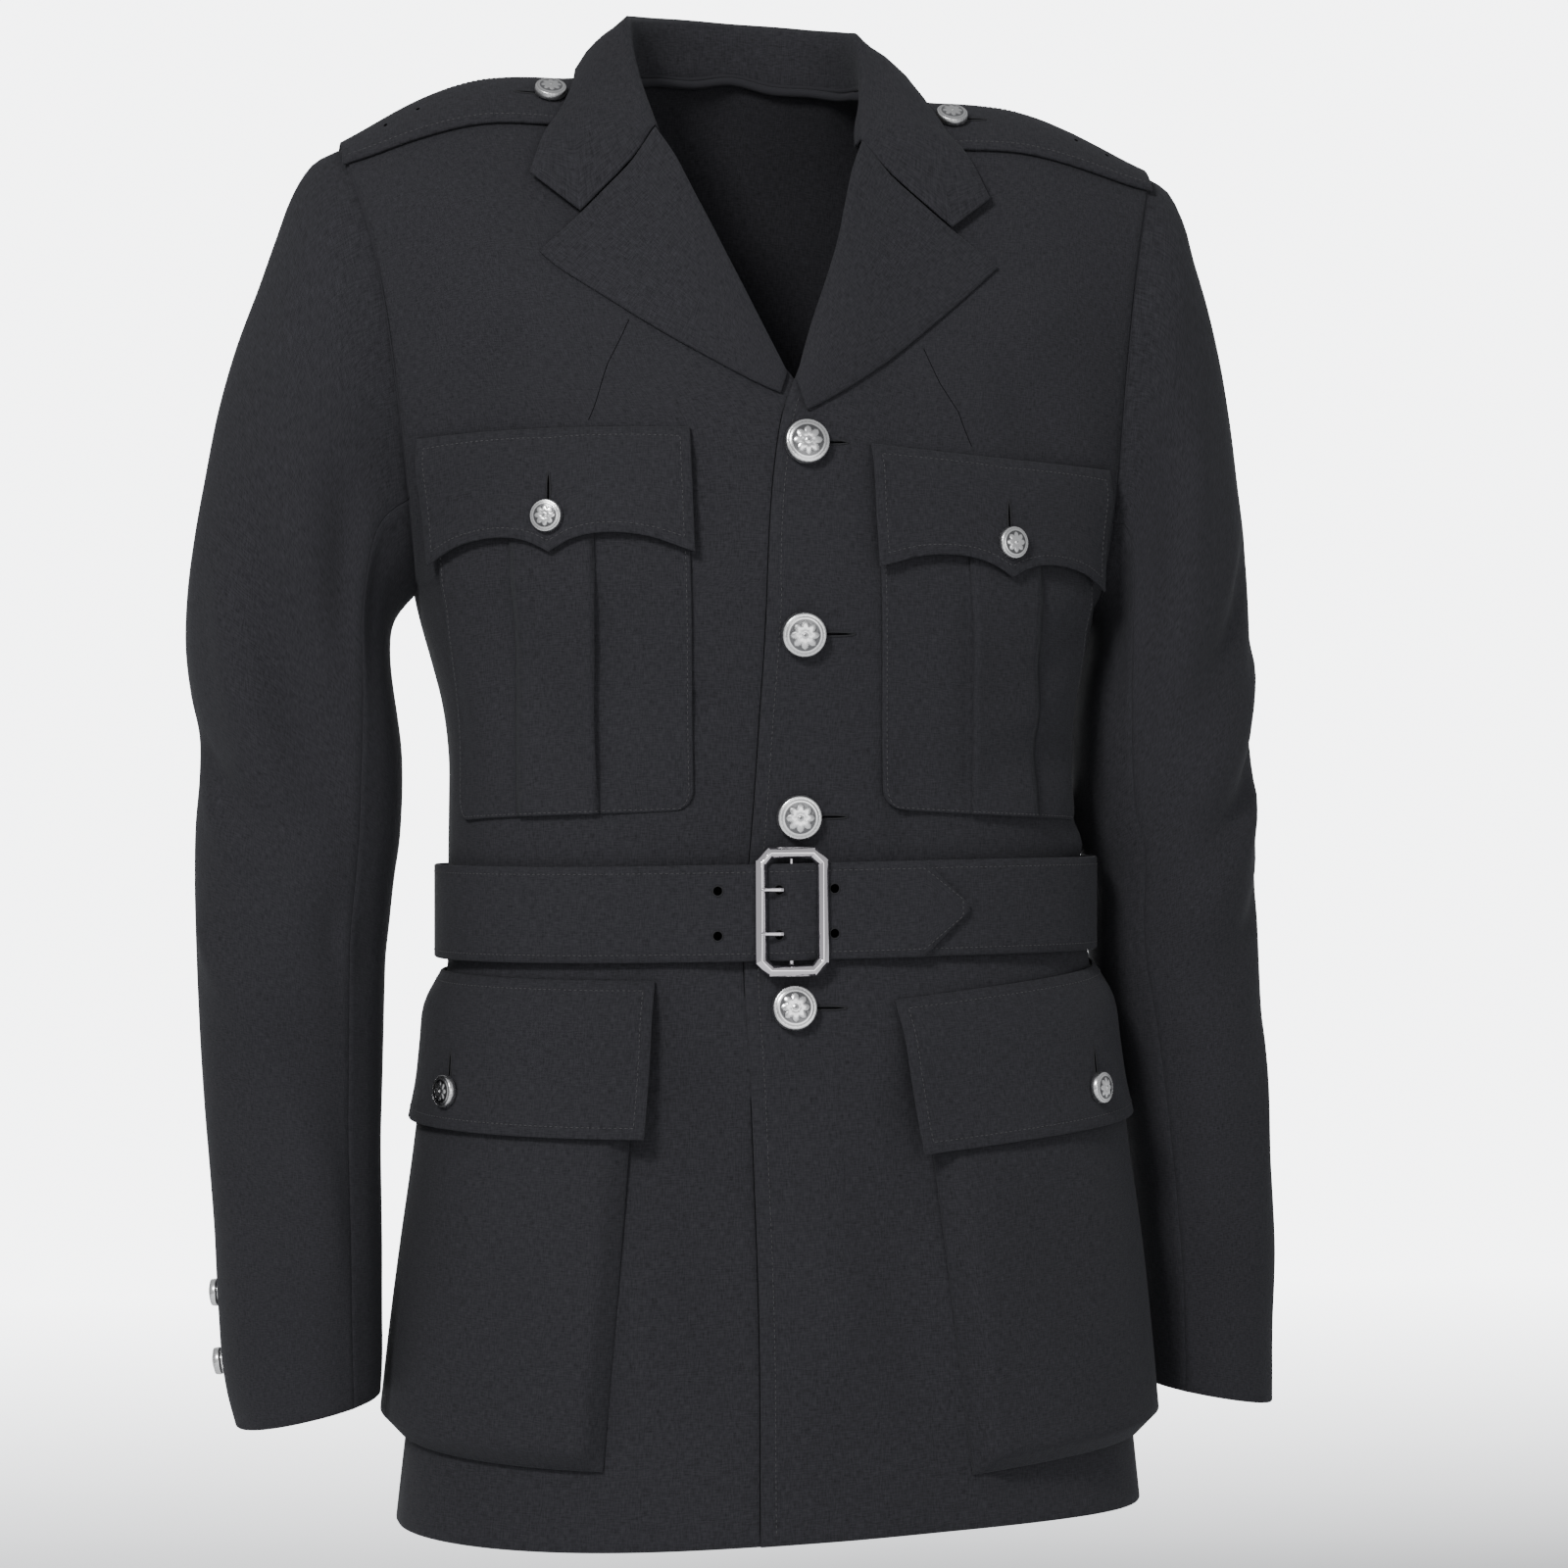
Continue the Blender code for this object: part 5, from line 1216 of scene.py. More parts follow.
@dataclass(frozen=True)
class MetalFinish:
    """Plated metal with faint smears and, in the low places of a relief, a darker tone."""

    name: str
    colour: tuple
    roughness: float
    smear: float
    hollow: tuple = (0.0, 0.0, 0.0)
    hollow_share: float = 0.0

    def build(self):
        """The node material."""
        made, tree, shader, output = new_material(self.name)
        place = node(tree, "ShaderNodeTexCoord", (-1000, 0))
        haze = noise(tree, place, 90.0, 4.0, 0.6, (-760, 0))
        grain = noise(tree, place, 1800.0, 2.0, 0.5, (-760, -260))
        ramp = node(tree, "ShaderNodeMapRange", (-520, 0))
        ramp.inputs["From Min"].default_value = 0.3
        ramp.inputs["From Max"].default_value = 0.7
        ramp.inputs["To Min"].default_value = self.roughness - self.smear
        ramp.inputs["To Max"].default_value = self.roughness + self.smear
        tree.links.new(haze.outputs["Fac"], ramp.inputs["Value"])
        tree.links.new(ramp.outputs[0], shader.inputs["Roughness"])
        shader.inputs["Metallic"].default_value = 1.0
        relief = node(tree, "ShaderNodeAttribute", (-760, 260))
        relief.attribute_name = "Hollow"
        share = maths(tree, "MULTIPLY", relief.outputs["Fac"], self.hollow_share, (-520, 260))
        mix = node(tree, "ShaderNodeMix", (-260, 200))
        mix.data_type = "RGBA"
        mix.inputs["A"].default_value = (*self.colour, 1.0)
        mix.inputs["B"].default_value = (*self.hollow, 1.0)
        tree.links.new(share.outputs[0], mix.inputs["Factor"])
        tree.links.new(mix.outputs["Result"], shader.inputs["Base Color"])
        bump = node(tree, "ShaderNodeBump", (-260, -200))
        bump.inputs["Strength"].default_value = 0.06
        bump.inputs["Distance"].default_value = 0.0002
        tree.links.new(grain.outputs["Fac"], bump.inputs["Height"])
        tree.links.new(bump.outputs[0], shader.inputs["Normal"])
        return made


@dataclass(frozen=True)
class FloorFinish:
    """A pale matt floor that fades into the light round it."""

    name: str
    colour: tuple
    fade_from: float = 0.6
    fade_to: float = 2.6

    def build(self):
        """The node material."""
        made, tree, shader, output = new_material(self.name)
        place = node(tree, "ShaderNodeTexCoord", (-1000, 0))
        parts = node(tree, "ShaderNodeSeparateXYZ", (-780, 0))
        tree.links.new(place.outputs["Object"], parts.inputs[0])
        ramp = node(tree, "ShaderNodeMapRange", (-560, 0))
        ramp.inputs["From Min"].default_value = self.fade_from
        ramp.inputs["From Max"].default_value = self.fade_to
        tree.links.new(parts.outputs["Y"], ramp.inputs["Value"])
        tone = noise(tree, place, 3.0, 3.0, 0.5, (-780, -260))
        shade = node(tree, "ShaderNodeMapRange", (-560, -260))
        shade.inputs["To Min"].default_value = 0.97
        shade.inputs["To Max"].default_value = 1.03
        tree.links.new(tone.outputs["Fac"], shade.inputs["Value"])
        tint = node(tree, "ShaderNodeVectorMath", (-340, -200))
        tint.operation = "SCALE"
        tint.inputs[0].default_value = self.colour
        tree.links.new(shade.outputs[0], tint.inputs["Scale"])
        tree.links.new(tint.outputs[0], shader.inputs["Base Color"])
        shader.inputs["Roughness"].default_value = 0.95
        glow = node(tree, "ShaderNodeEmission", (0, -260))
        glow.inputs["Color"].default_value = BACKGROUND
        glow.inputs["Strength"].default_value = BACKDROP_STRENGTH
        mix = node(tree, "ShaderNodeMixShader", (260, 0))
        tree.links.new(ramp.outputs[0], mix.inputs[0])
        tree.links.new(shader.outputs[0], mix.inputs[1])
        tree.links.new(glow.outputs[0], mix.inputs[2])
        tree.links.new(mix.outputs[0], output.inputs["Surface"])
        return made


def new_material(name):
    """An empty Principled material: material, tree, shader and output."""
    made = bpy.data.materials.new(name)
    made.use_nodes = True
    tree = made.node_tree
    return made, tree, tree.nodes["Principled BSDF"], tree.nodes["Material Output"]


def node(tree, kind, place):
    """A node at a place."""
    made = tree.nodes.new(kind)
    made.location = place
    return made


def maths(tree, operation, first, second, place):
    """A math node whose inputs are sockets or numbers."""
    made = node(tree, "ShaderNodeMath", place)
    made.operation = operation
    for k, value in enumerate((first, second)):
        if isinstance(value, (int, float)):
            made.inputs[k].default_value = value
        else:
            tree.links.new(value, made.inputs[k])
    return made


def stretched_noise(tree, uv, scales, spot):
    """A noise on the cut's own lengths, drawn out along one thread direction."""
    mapping = node(tree, "ShaderNodeMapping", (spot[0] - 200, spot[1]))
    mapping.inputs["Scale"].default_value = scales
    tree.links.new(uv.outputs[0], mapping.inputs["Vector"])
    made = node(tree, "ShaderNodeTexNoise", spot)
    made.inputs["Scale"].default_value = 1.0
    made.inputs["Detail"].default_value = 2.0
    made.inputs["Roughness"].default_value = 0.6
    tree.links.new(mapping.outputs[0], made.inputs["Vector"])
    return made


def noise(tree, place, scale, detail, roughness, spot):
    """A noise texture on object coordinates."""
    made = node(tree, "ShaderNodeTexNoise", spot)
    made.inputs["Scale"].default_value = scale
    made.inputs["Detail"].default_value = detail
    made.inputs["Roughness"].default_value = roughness
    tree.links.new(place.outputs["Object"], made.inputs["Vector"])
    return made


BACKGROUND = (0.95, 0.96, 0.98, 1.0)
WORLD_STRENGTH = 0.5
BACKDROP_STRENGTH = 6.0


def glow_finish(name):
    """A lit white backdrop."""
    made, tree, shader, output = new_material(name)
    glow = node(tree, "ShaderNodeEmission", (0, -260))
    glow.inputs["Color"].default_value = BACKGROUND
    glow.inputs["Strength"].default_value = BACKDROP_STRENGTH
    tree.links.new(glow.outputs[0], output.inputs["Surface"])
    return made


def make_finishes():
    """All the finishes, by short name."""
    FINISHES["cloth"] = ClothFinish("tunic_wool", (0.0236, 0.0233, 0.0268)).build()
    # Painted shade: near-black for the sunk dart and seam lines and the shadow under the left front's edge
    FINISHES["seam"] = ThreadFinish("seam_shadow", (0.007, 0.007, 0.0078), 0.0).build()
    FINISHES["thread"] = ThreadFinish("sewing_thread", (0.054, 0.053, 0.056)).build()
    FINISHES["silver"] = MetalFinish(
        "button_silver", (0.80, 0.80, 0.80), 0.27, 0.06, hollow=(0.05, 0.05, 0.055), hollow_share=0.85).build()
    FINISHES["satin"] = MetalFinish(
        "button_satin", (0.62, 0.62, 0.62), 0.34, 0.06, hollow=(0.12, 0.12, 0.125), hollow_share=0.8).build()
    FINISHES["chrome"] = MetalFinish("buckle_chrome", (0.80, 0.765, 0.80), 0.10, 0.04).build()
    FINISHES["thread_dark"] = ThreadFinish("buttonhole_thread", (0.016, 0.016, 0.018)).build()
    # Painted shade: near-black standing for the shade inside buttonhole slits and pierced holes
    FINISHES["dark"] = ThreadFinish("hole_painted_shade", (0.0008, 0.0008, 0.0008), 0.0).build()
    FINISHES["floor"] = FloorFinish("studio_floor", (0.86, 0.87, 0.88)).build()
    FINISHES["backdrop"] = glow_finish("studio_backdrop")


# Stitches: length, pitch and half thickness
STITCH = 2.1 * MM
STITCH_PITCH = 2.9 * MM
STITCH_HALF = 0.26 * MM
STITCH_LIFT = 0.05 * MM


def stitch_tree():
    """Geometry Nodes: one small capsule on every point, turned along its run and realized."""
    tree = bpy.data.node_groups.new("StitchRow", "GeometryNodeTree")
    tree.interface.new_socket("Geometry", in_out="INPUT", socket_type="NodeSocketGeometry")
    length = tree.interface.new_socket("Length", in_out="INPUT", socket_type="NodeSocketFloat")
    half = tree.interface.new_socket("Half Thickness", in_out="INPUT", socket_type="NodeSocketFloat")
    thread = tree.interface.new_socket("Thread", in_out="INPUT", socket_type="NodeSocketMaterial")
    tree.interface.new_socket("Geometry", in_out="OUTPUT", socket_type="NodeSocketGeometry")
    source = node(tree, "NodeGroupInput", (-1000, 0))
    ball = node(tree, "GeometryNodeMeshIcoSphere", (-800, -200))
    ball.inputs["Radius"].default_value = 1.0
    ball.inputs["Subdivisions"].default_value = 1
    size = node(tree, "ShaderNodeCombineXYZ", (-800, -420))
    halved = node(tree, "ShaderNodeMath", (-980, -420))
    halved.operation = "MULTIPLY"
    halved.inputs[1].default_value = 0.5
    tree.links.new(source.outputs["Length"], halved.inputs[0])
    tree.links.new(halved.outputs[0], size.inputs["X"])
    tree.links.new(source.outputs["Half Thickness"], size.inputs["Y"])
    tree.links.new(source.outputs["Half Thickness"], size.inputs["Z"])
    run = node(tree, "GeometryNodeInputNamedAttribute", (-800, 240))
    run.data_type = "FLOAT_VECTOR"
    run.inputs["Name"].default_value = "run"
    out = node(tree, "GeometryNodeInputNamedAttribute", (-800, 420))
    out.data_type = "FLOAT_VECTOR"
    out.inputs["Name"].default_value = "out"
    first = node(tree, "FunctionNodeAlignRotationToVector", (-560, 240))
    first.axis = "X"
    tree.links.new(run.outputs["Attribute"], first.inputs["Vector"])
    second = node(tree, "FunctionNodeAlignRotationToVector", (-360, 300))
    second.axis = "Z"
    second.pivot_axis = "X"
    tree.links.new(first.outputs[0], second.inputs["Rotation"])
    tree.links.new(out.outputs["Attribute"], second.inputs["Vector"])
    placed = node(tree, "GeometryNodeInstanceOnPoints", (-140, 0))
    tree.links.new(source.outputs["Geometry"], placed.inputs["Points"])
    tree.links.new(ball.outputs["Mesh"], placed.inputs["Instance"])
    tree.links.new(second.outputs[0], placed.inputs["Rotation"])
    tree.links.new(size.outputs[0], placed.inputs["Scale"])
    real = node(tree, "GeometryNodeRealizeInstances", (80, 0))
    tree.links.new(placed.outputs[0], real.inputs[0])
    coat = node(tree, "GeometryNodeSetMaterial", (260, 0))
    tree.links.new(real.outputs[0], coat.inputs["Geometry"])
    tree.links.new(source.outputs["Thread"], coat.inputs["Material"])
    sink = node(tree, "NodeGroupOutput", (460, 0))
    tree.links.new(coat.outputs[0], sink.inputs[0])
    return tree, {"length": length.identifier, "half": half.identifier, "thread": thread.identifier}


def stitch_piece(name, lines, tree, keys, length=STITCH, half=STITCH_HALF):
    """Stitches along lines, each a list of (point, normal) pairs close together."""
    points, runs, outs = [], [], []
    for line in lines:
        spots = np.array([p for p, _ in line])
        normals = np.array([n for _, n in line])
        gone = np.concatenate([[0], np.cumsum(np.linalg.norm(np.diff(spots, axis=0), axis=1))])
        count = max(int(gone[-1] / STITCH_PITCH), 1)
        for k in range(count):
            here = (k + 0.5) * gone[-1] / count
            at = [np.interp(here, gone, spots[:, c]) for c in range(3)]
            low = [np.interp(here - 0.4 * length, gone, spots[:, c]) for c in range(3)]
            high = [np.interp(here + 0.4 * length, gone, spots[:, c]) for c in range(3)]
            n = np.array([np.interp(here, gone, normals[:, c]) for c in range(3)])
            points.append(at)
            runs.append(np.array(high) - np.array(low))
            outs.append(n / np.linalg.norm(n))
    mesh = bpy.data.meshes.new(name + "_points")
    mesh.from_pydata([tuple(map(float, p)) for p in points], [], [])
    for key, values in (("run", runs), ("out", outs)):
        layer = mesh.attributes.new(key, "FLOAT_VECTOR", "POINT")
        layer.data.foreach_set("vector", np.array(values, dtype=np.float32).ravel())
    carrier = bpy.data.objects.new(name + "_points", mesh)
    bpy.context.scene.collection.objects.link(carrier)
    modifier = carrier.modifiers.new("StitchRow", "NODES")
    modifier.node_group = tree
    modifier[keys["length"]] = length
    modifier[keys["half"]] = half
    modifier[keys["thread"]] = FINISHES["thread"]
    graph = bpy.context.evaluated_depsgraph_get()
    made = bpy.data.meshes.new_from_object(carrier.evaluated_get(graph), depsgraph=graph)
    bpy.data.objects.remove(carrier)
    made.name = name
    made.polygons.foreach_set("use_smooth", [True] * len(made.polygons))
    if not made.materials:
        made.materials.append(FINISHES["thread"])
    piece = bpy.data.objects.new(name, made)
    bpy.context.scene.collection.objects.link(piece)
    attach(piece, "root")
    LOG.info("%s: %d stitches", name, len(points))
    return piece


def tube_along(name, lines, radius, finish, sides=6, closed=False, sink=0.0):
    """Thin tubes along lines of (point, normal) pairs, half sunk by sink."""
    vertices, faces = [], []
    for line in lines:
        spots = np.array([p for p, _ in line])
        normals = np.array([n for _, n in line])
        if closed:
            run = np.roll(spots, -1, axis=0) - np.roll(spots, 1, axis=0)
        else:
            run = np.gradient(spots, axis=0)
        run /= np.linalg.norm(run, axis=1, keepdims=True)
        cross = np.cross(run, normals)
        cross /= np.linalg.norm(cross, axis=1, keepdims=True)
        start = len(vertices)
        count = len(spots)
        for k in range(count):
            for s in range(sides):
                angle = 2 * math.pi * s / sides
                taper = 1.0 if closed or 0 < k < count - 1 else 0.3
                vertices.append(spots[k] - normals[k] * sink + (
                    cross[k] * math.cos(angle) + normals[k] * math.sin(angle)) * radius * taper)
        last = count if closed else count - 1
        for k in range(last):
            for s in range(sides):
                a, b = start + k * sides + s, start + k * sides + (s + 1) % sides
                c, d = start + (k + 1) % count * sides + (s + 1) % sides, start + (k + 1) % count * sides + s
                faces.append((a, b, c, d))
        if not closed:
            faces.append(tuple(start + s for s in reversed(range(sides))))
            faces.append(tuple(start + (count - 1) * sides + s for s in range(sides)))
    piece = mesh_object(name, vertices, faces, FINISHES[finish])
    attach(piece, "root")
    return piece


def line_on(shell, path, lift=STITCH_LIFT, step=2.5 * MM):
    """Pairs of point and normal on a shell along a path of (u, v) corners in metres."""
    made = []
    for (u0, v0), (u1, v1) in zip(path[:-1], path[1:]):
        count = max(int(math.hypot(u1 - u0, v1 - v0) / step), 2)
        for k in range(count):
            t = k / count
            made.append(shell.at(u0 + (u1 - u0) * t, v0 + (v1 - v0) * t, lift))
    made.append(shell.at(*path[-1], lift))
    return made


def inset_path(shell, inset, sides="tlbr", round_bottom=0.0):
    """Path of corners at an inset from the edges of a shell: rows run from v=0."""
    u0, u1 = shell.across[0] + inset, shell.across[-1] - inset
    v0, v1 = shell.along[0] + inset, shell.along[-1] - inset
    if sides == "tlbr":
        return [(u0, v0), (u1, v0), (u1, v1), (u0, v1), (u0, v0)]
    if sides == "ends_low":
        return [(u0, shell.along[-1]), (u0, v0), (u1, v0), (u1, shell.along[-1])]
    return [(u0, v0), (u0, v1), (u1, v1), (u1, v0)]


def buttonhole(name, shell, centre, direction, length):
    """A worked buttonhole: a slit of painted shade in a loop of thread, on a shell at (u, v) along a (u, v)
    direction.
    """
    loop, slit = [], []
    du, dv = direction
    for k in range(28):
        angle = 2 * math.pi * k / 28
        along = math.cos(angle) * length / 2
        across = math.sin(angle) * 1.15 * MM
        u = centre[0] + du * along - dv * across
        v = centre[1] + dv * along + du * across
        loop.append(shell.at(u, v, 0.12 * MM))
    for k in range(9):
        along = (k / 8 - 0.5) * length * 0.9
        slit.append(shell.at(centre[0] + du * along, centre[1] + dv * along, 0.02 * MM))
    tube_along(name + "_thread", [loop], 0.5 * MM, "thread_dark", closed=True)
    # The slit is painted shade: a near-black tube for the shade inside the opening
    tube_along(name + "_slit", [slit], 0.42 * MM, "dark", sides=5)


def relief_button(node_name, centre, normal, size, palette):
    """A domed button with a rope rim and a raised eight-petal rosette, standing on its cloth."""
    radius, height = size[0] / 2, size[1]
    rings, spokes = 26, 64
    normal = normal / np.linalg.norm(normal)
    first = np.cross(np.array([0.0, 0.0, 1.0]), normal)
    first /= np.linalg.norm(first)
    second = np.cross(normal, first)
    vertices, hollow, faces = [], [], []
    for r in range(rings + 1):
        s = r / rings
        for k in range(spokes):
            angle = 2 * math.pi * k / spokes
            dome = height * (0.52 + 0.46 * math.sqrt(max(1 - (s * 0.92) ** 2, 0.0)))
            raised = 0.0
            petal = 0.42 + 0.20 * abs(math.cos(4 * angle))
            inner = 0.16
            if s < inner:
                raised = 0.55 * math.cos(s / inner * math.pi / 2) + 0.1
            elif s < petal:
                raised = 0.42 * math.sin(math.pi * (s - inner) / (petal - inner)) ** 0.6
            if 0.84 < s < 0.97:
                bead = 0.65 + 0.35 * math.cos(28 * angle + 16 * s)
                raised = 0.40 * math.sin(math.pi * (s - 0.84) / 0.13) * bead
            ring_leaf = 0.70 < s < 0.82
            if ring_leaf:
                raised = 0.16 * math.sin(math.pi * (s - 0.70) / 0.12)
            lift = dome + raised * MM * (size[0] / (24 * MM)) ** 0.5
            if s > 0.97:
                lift = dome * (1 - (s - 0.97) / 0.03 * 0.35)
            around = first * math.cos(angle) + second * math.sin(angle)
            vertices.append(centre + around * radius * s + normal * lift)
            hollow.append(0.0 if raised > 0.07 or s > 0.97 else 1.0 - raised / 0.07)
    profile = ((1.0, 0.26), (0.97, 0.12), (0.80, 0.0))
    for share, up in profile:
        for k in range(spokes):
            angle = 2 * math.pi * k / spokes
            around = first * math.cos(angle) + second * math.sin(angle)
            vertices.append(centre + around * radius * share + normal * height * up)
            hollow.append(0.0)
    rows = rings + 1 + len(profile)
    for r in range(1, rows - 1):
        for k in range(spokes):
            j = (k + 1) % spokes
            faces.append((r * spokes + k, r * spokes + j, (r + 1) * spokes + j, (r + 1) * spokes + k))
    faces.append(tuple(spokes + k for k in range(spokes)))
    faces.append(tuple((rows - 1) * spokes + k for k in reversed(range(spokes))))
    keep = vertices[spokes:]
    faces = [tuple(v - spokes for v in f) for f in faces]
    piece = mesh_object(node_name + "_rosette", keep, faces, FINISHES[palette])
    layer = piece.data.attributes.new("Hollow", "FLOAT", "POINT")
    layer.data.foreach_set("value", np.array(hollow[spokes:], dtype=np.float32))
    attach(piece, "root")
    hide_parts(node_name)
    return piece


# Creases: where (front or back by girth and height in mm, or a sleeve by place and angle), start, end,
# half width and depth in mm
CREASE_TABLE = (
    ("front", -150, -300, -120, -372, 15, -1.6), ("front", -112, -330, -80, -392, 12, 1.2),
    ("front", -60, -345, -25, -352, 9, -1.0), ("front", -185, -318, -160, -385, 14, 1.6),
    ("front", 150, -318, 205, -292, 13, -1.8), ("front", 120, -352, 190, -330, 12, 1.5),
    ("front", 95, -385, 165, -362, 12, -1.3), ("front", 170, -402, 215, -350, 14, 1.5),
    ("front", 60, -420, 62, -380, 12, -1.0), ("front", -30, -430, -70, -405, 12, 1.2),
    ("front", -40, -700, -60, -560, 26, -3.0), ("front", 62, -720, 38, -560, 26, -3.2),
    ("front", 100, -760, 86, -600, 18, 2.0), ("front", -96, -770, -82, -600, 16, 1.6),
    ("front", 4, -770, 10, -640, 20, 1.6), ("front", -20, -560, -46, -500, 16, 1.5),
    ("front", 40, -560, 66, -500, 16, 1.3), ("front", 170, -700, 128, -630, 22, -2.2),
    ("front", 190, -660, 150, -600, 18, 1.8), ("front", -170, -700, -130, -640, 24, -2.0),
    ("front", -200, -640, -160, -600, 18, 1.6), ("front", -130, -150, -160, -215, 20, -2.2),
    ("front", 130, -160, 162, -222, 20, -2.2), ("front", 170, -120, 120, -150, 20, 1.5),
    ("front", -175, -120, -120, -150, 20, 1.2),
    ("front", 175, -419, 206, -421, 9, 2.4),
    ("back", -120, -640, -90, -490, 20, -3.0), ("back", -60, -620, -48, -480, 16, 2.4),
    ("back", 20, -650, 12, -490, 18, -2.6), ("back", 90, -640, 70, -480, 20, 2.6),
    ("back", 140, -600, 118, -485, 18, -2.6), ("back", -110, -430, -150, -300, 20, -3.0),
    ("back", -60, -428, -80, -330, 16, 2.0), ("back", 10, -430, 0, -340, 14, -2.0),
    ("back", 70, -430, 100, -320, 18, 2.2), ("back", 120, -430, 165, -290, 20, -3.2),
    ("back", -170, -250, -120, -150, 24, -2.6), ("back", 170, -250, 125, -150, 24, -2.6),
    ("back", -60, -90, 60, -86, 22, -1.8), ("back", 40, -760, 52, -640, 22, 2.4),
    ("back", -40, -770, -48, -640, 24, -2.4),
    ("sleeve_right", 5.0, 62, 8.2, 98, 16, -3.2), ("sleeve_right", 6.2, 45, 9.4, 76, 13, 2.2),
    ("sleeve_right", 9.0, 20, 9.9, 84, 11, -2.6), ("sleeve_right", 9.8, 30, 10.9, 100, 11, 2.0),
    ("sleeve_right", 10.6, 60, 11.2, 130, 12, -2.4), ("sleeve_right", 11.6, 20, 12.6, 74, 12, 1.6),
    ("sleeve_right", 2.6, 96, 5.0, 120, 16, -2.8), ("sleeve_right", 14.0, 40, 16.4, 84, 16, -1.6),
    ("sleeve_right", 12.6, 70, 15.6, 120, 15, 1.8), ("sleeve_right", 3.2, -60, 6.0, -110, 20, -3.0),
    ("sleeve_right", 9.4, -40, 10.2, -120, 12, 2.2), ("sleeve_right", 10.4, -60, 11.0, -150, 12, -2.4),
    ("sleeve_right", 14.0, -60, 16.0, -100, 16, 1.8),
    ("sleeve_left", 6.0, 30, 7.2, 78, 13, -2.4), ("sleeve_left", 7.4, 10, 8.4, 84, 12, 2.0),
    ("sleeve_left", 8.4, 14, 9.6, 74, 11, -2.8), ("sleeve_left", 9.3, 24, 10.6, 92, 12, 1.8),
    ("sleeve_left", 10.6, 20, 11.6, 80, 12, -1.8), ("sleeve_left", 2.2, 96, 5.2, 122, 18, -3.0),
    ("sleeve_left", 3.4, 70, 6.2, 104, 16, 2.2), ("sleeve_left", 12.6, 30, 15.2, 76, 16, 1.5),
    ("sleeve_left", 13.6, 60, 16.6, 98, 16, -1.6), ("sleeve_left", 3.2, -60, 6.0, -110, 20, -3.0),
    ("sleeve_left", 9.4, -40, 10.4, -120, 12, 2.2), ("sleeve_left", 11.0, -60, 12.0, -150, 12, -2.4),
    ("sleeve_left", 7.0, 176, 7.7, 182, 12, 1.6),
)


# Creases of the fronts and back are this much deeper than in the table, and those of the sleeves
BODY_DEPTH, SLEEVE_DEPTH = 1.9, 2.7


def make_creases():
    """Turn the crease table into lines in space."""
    for where, a0, b0, a1, b1, half_width, depth in CREASE_TABLE:
        if where in ("front", "back"):
            start = at_girth(a0 * MM, b0 * MM, where == "back")
            end = at_girth(a1 * MM, b1 * MM, where == "back")
        else:
            side = 1 if where == "sleeve_left" else -1
            start, end = sleeve_ring(side, a0, b0), sleeve_ring(side, a1, b1)
        deeper = BODY_DEPTH if where in ("front", "back") else SLEEVE_DEPTH
        CREASES.append(Crease(tuple(start), tuple(end), half_width * MM, depth * deeper * MM))


def locate(shell, x, z, front=True):
    """Place (u, v) on a shell nearest a point seen from the front, in metres."""
    grid = shell.outer
    away = np.hypot(grid[..., 0] - x, grid[..., 2] - z)
    if front:
        away = away + np.where(grid[..., 1] < 0, 0.0, 1.0)
    r, c = np.unravel_index(int(np.argmin(away)), away.shape)
    r, c = min(max(r, 1), grid.shape[0] - 2), min(max(c, 1), grid.shape[1] - 2)
    du = (grid[r, c + 1] - grid[r, c - 1]) / (shell.across[c + 1] - shell.across[c - 1])
    dv = (grid[r + 1, c] - grid[r - 1, c]) / (shell.along[r + 1] - shell.along[r - 1])
    want = np.array([x - grid[r, c, 0], z - grid[r, c, 2]])
    step = np.linalg.solve(np.array([[du[0], dv[0]], [du[2], dv[2]]]), want)
    return shell.across[c] + step[0], shell.along[r] + step[1]


def near_point(shell, point):
    """Place (u, v) on a shell nearest a point in space."""
    grid = shell.outer
    away = np.linalg.norm(grid - np.array(point), axis=-1)
    r, c = np.unravel_index(int(np.argmin(away)), away.shape)
    r, c = min(max(r, 1), grid.shape[0] - 2), min(max(c, 1), grid.shape[1] - 2)
    du = (grid[r, c + 1] - grid[r, c - 1]) / (shell.across[c + 1] - shell.across[c - 1])
    dv = (grid[r + 1, c] - grid[r - 1, c]) / (shell.along[r + 1] - shell.along[r - 1])
    rest = np.array(point) - grid[r, c]
    return shell.across[c] + rest @ du / (du @ du), shell.along[r] + rest @ dv / (dv @ dv)


def crease_shift(point, normal):
    """A point moved as the cloth under it is."""
    push = sum(float(crease.push(np.array([point]))[0]) for crease in CREASES)
    return point + normal / np.linalg.norm(normal) * push


def direction_on(shell, place, target):
    """Unit (u, v) direction from a place towards a point in space."""
    u, v = near_point(shell, target)
    length = math.hypot(u - place[0], v - place[1])
    return (u - place[0]) / length, (v - place[1]) / length


def button_spot(name, point, normal, size, palette, shell_name, hole_to=None, hole_length=0.0):
    """A button moved with the cloth, and its buttonhole towards a point."""
    spot = crease_shift(point, normal)
    relief_button(name, spot, normal, size, palette)
    if hole_to is not None:
        shell = SHELLS[shell_name]
        place = near_point(shell, spot)
        du, dv = direction_on(shell, place, hole_to)
        off = hole_length / 2 - 2.0 * MM
        buttonhole(name + "_hole", shell, (place[0] + du * off, place[1] + dv * off), (du, dv), hole_length)


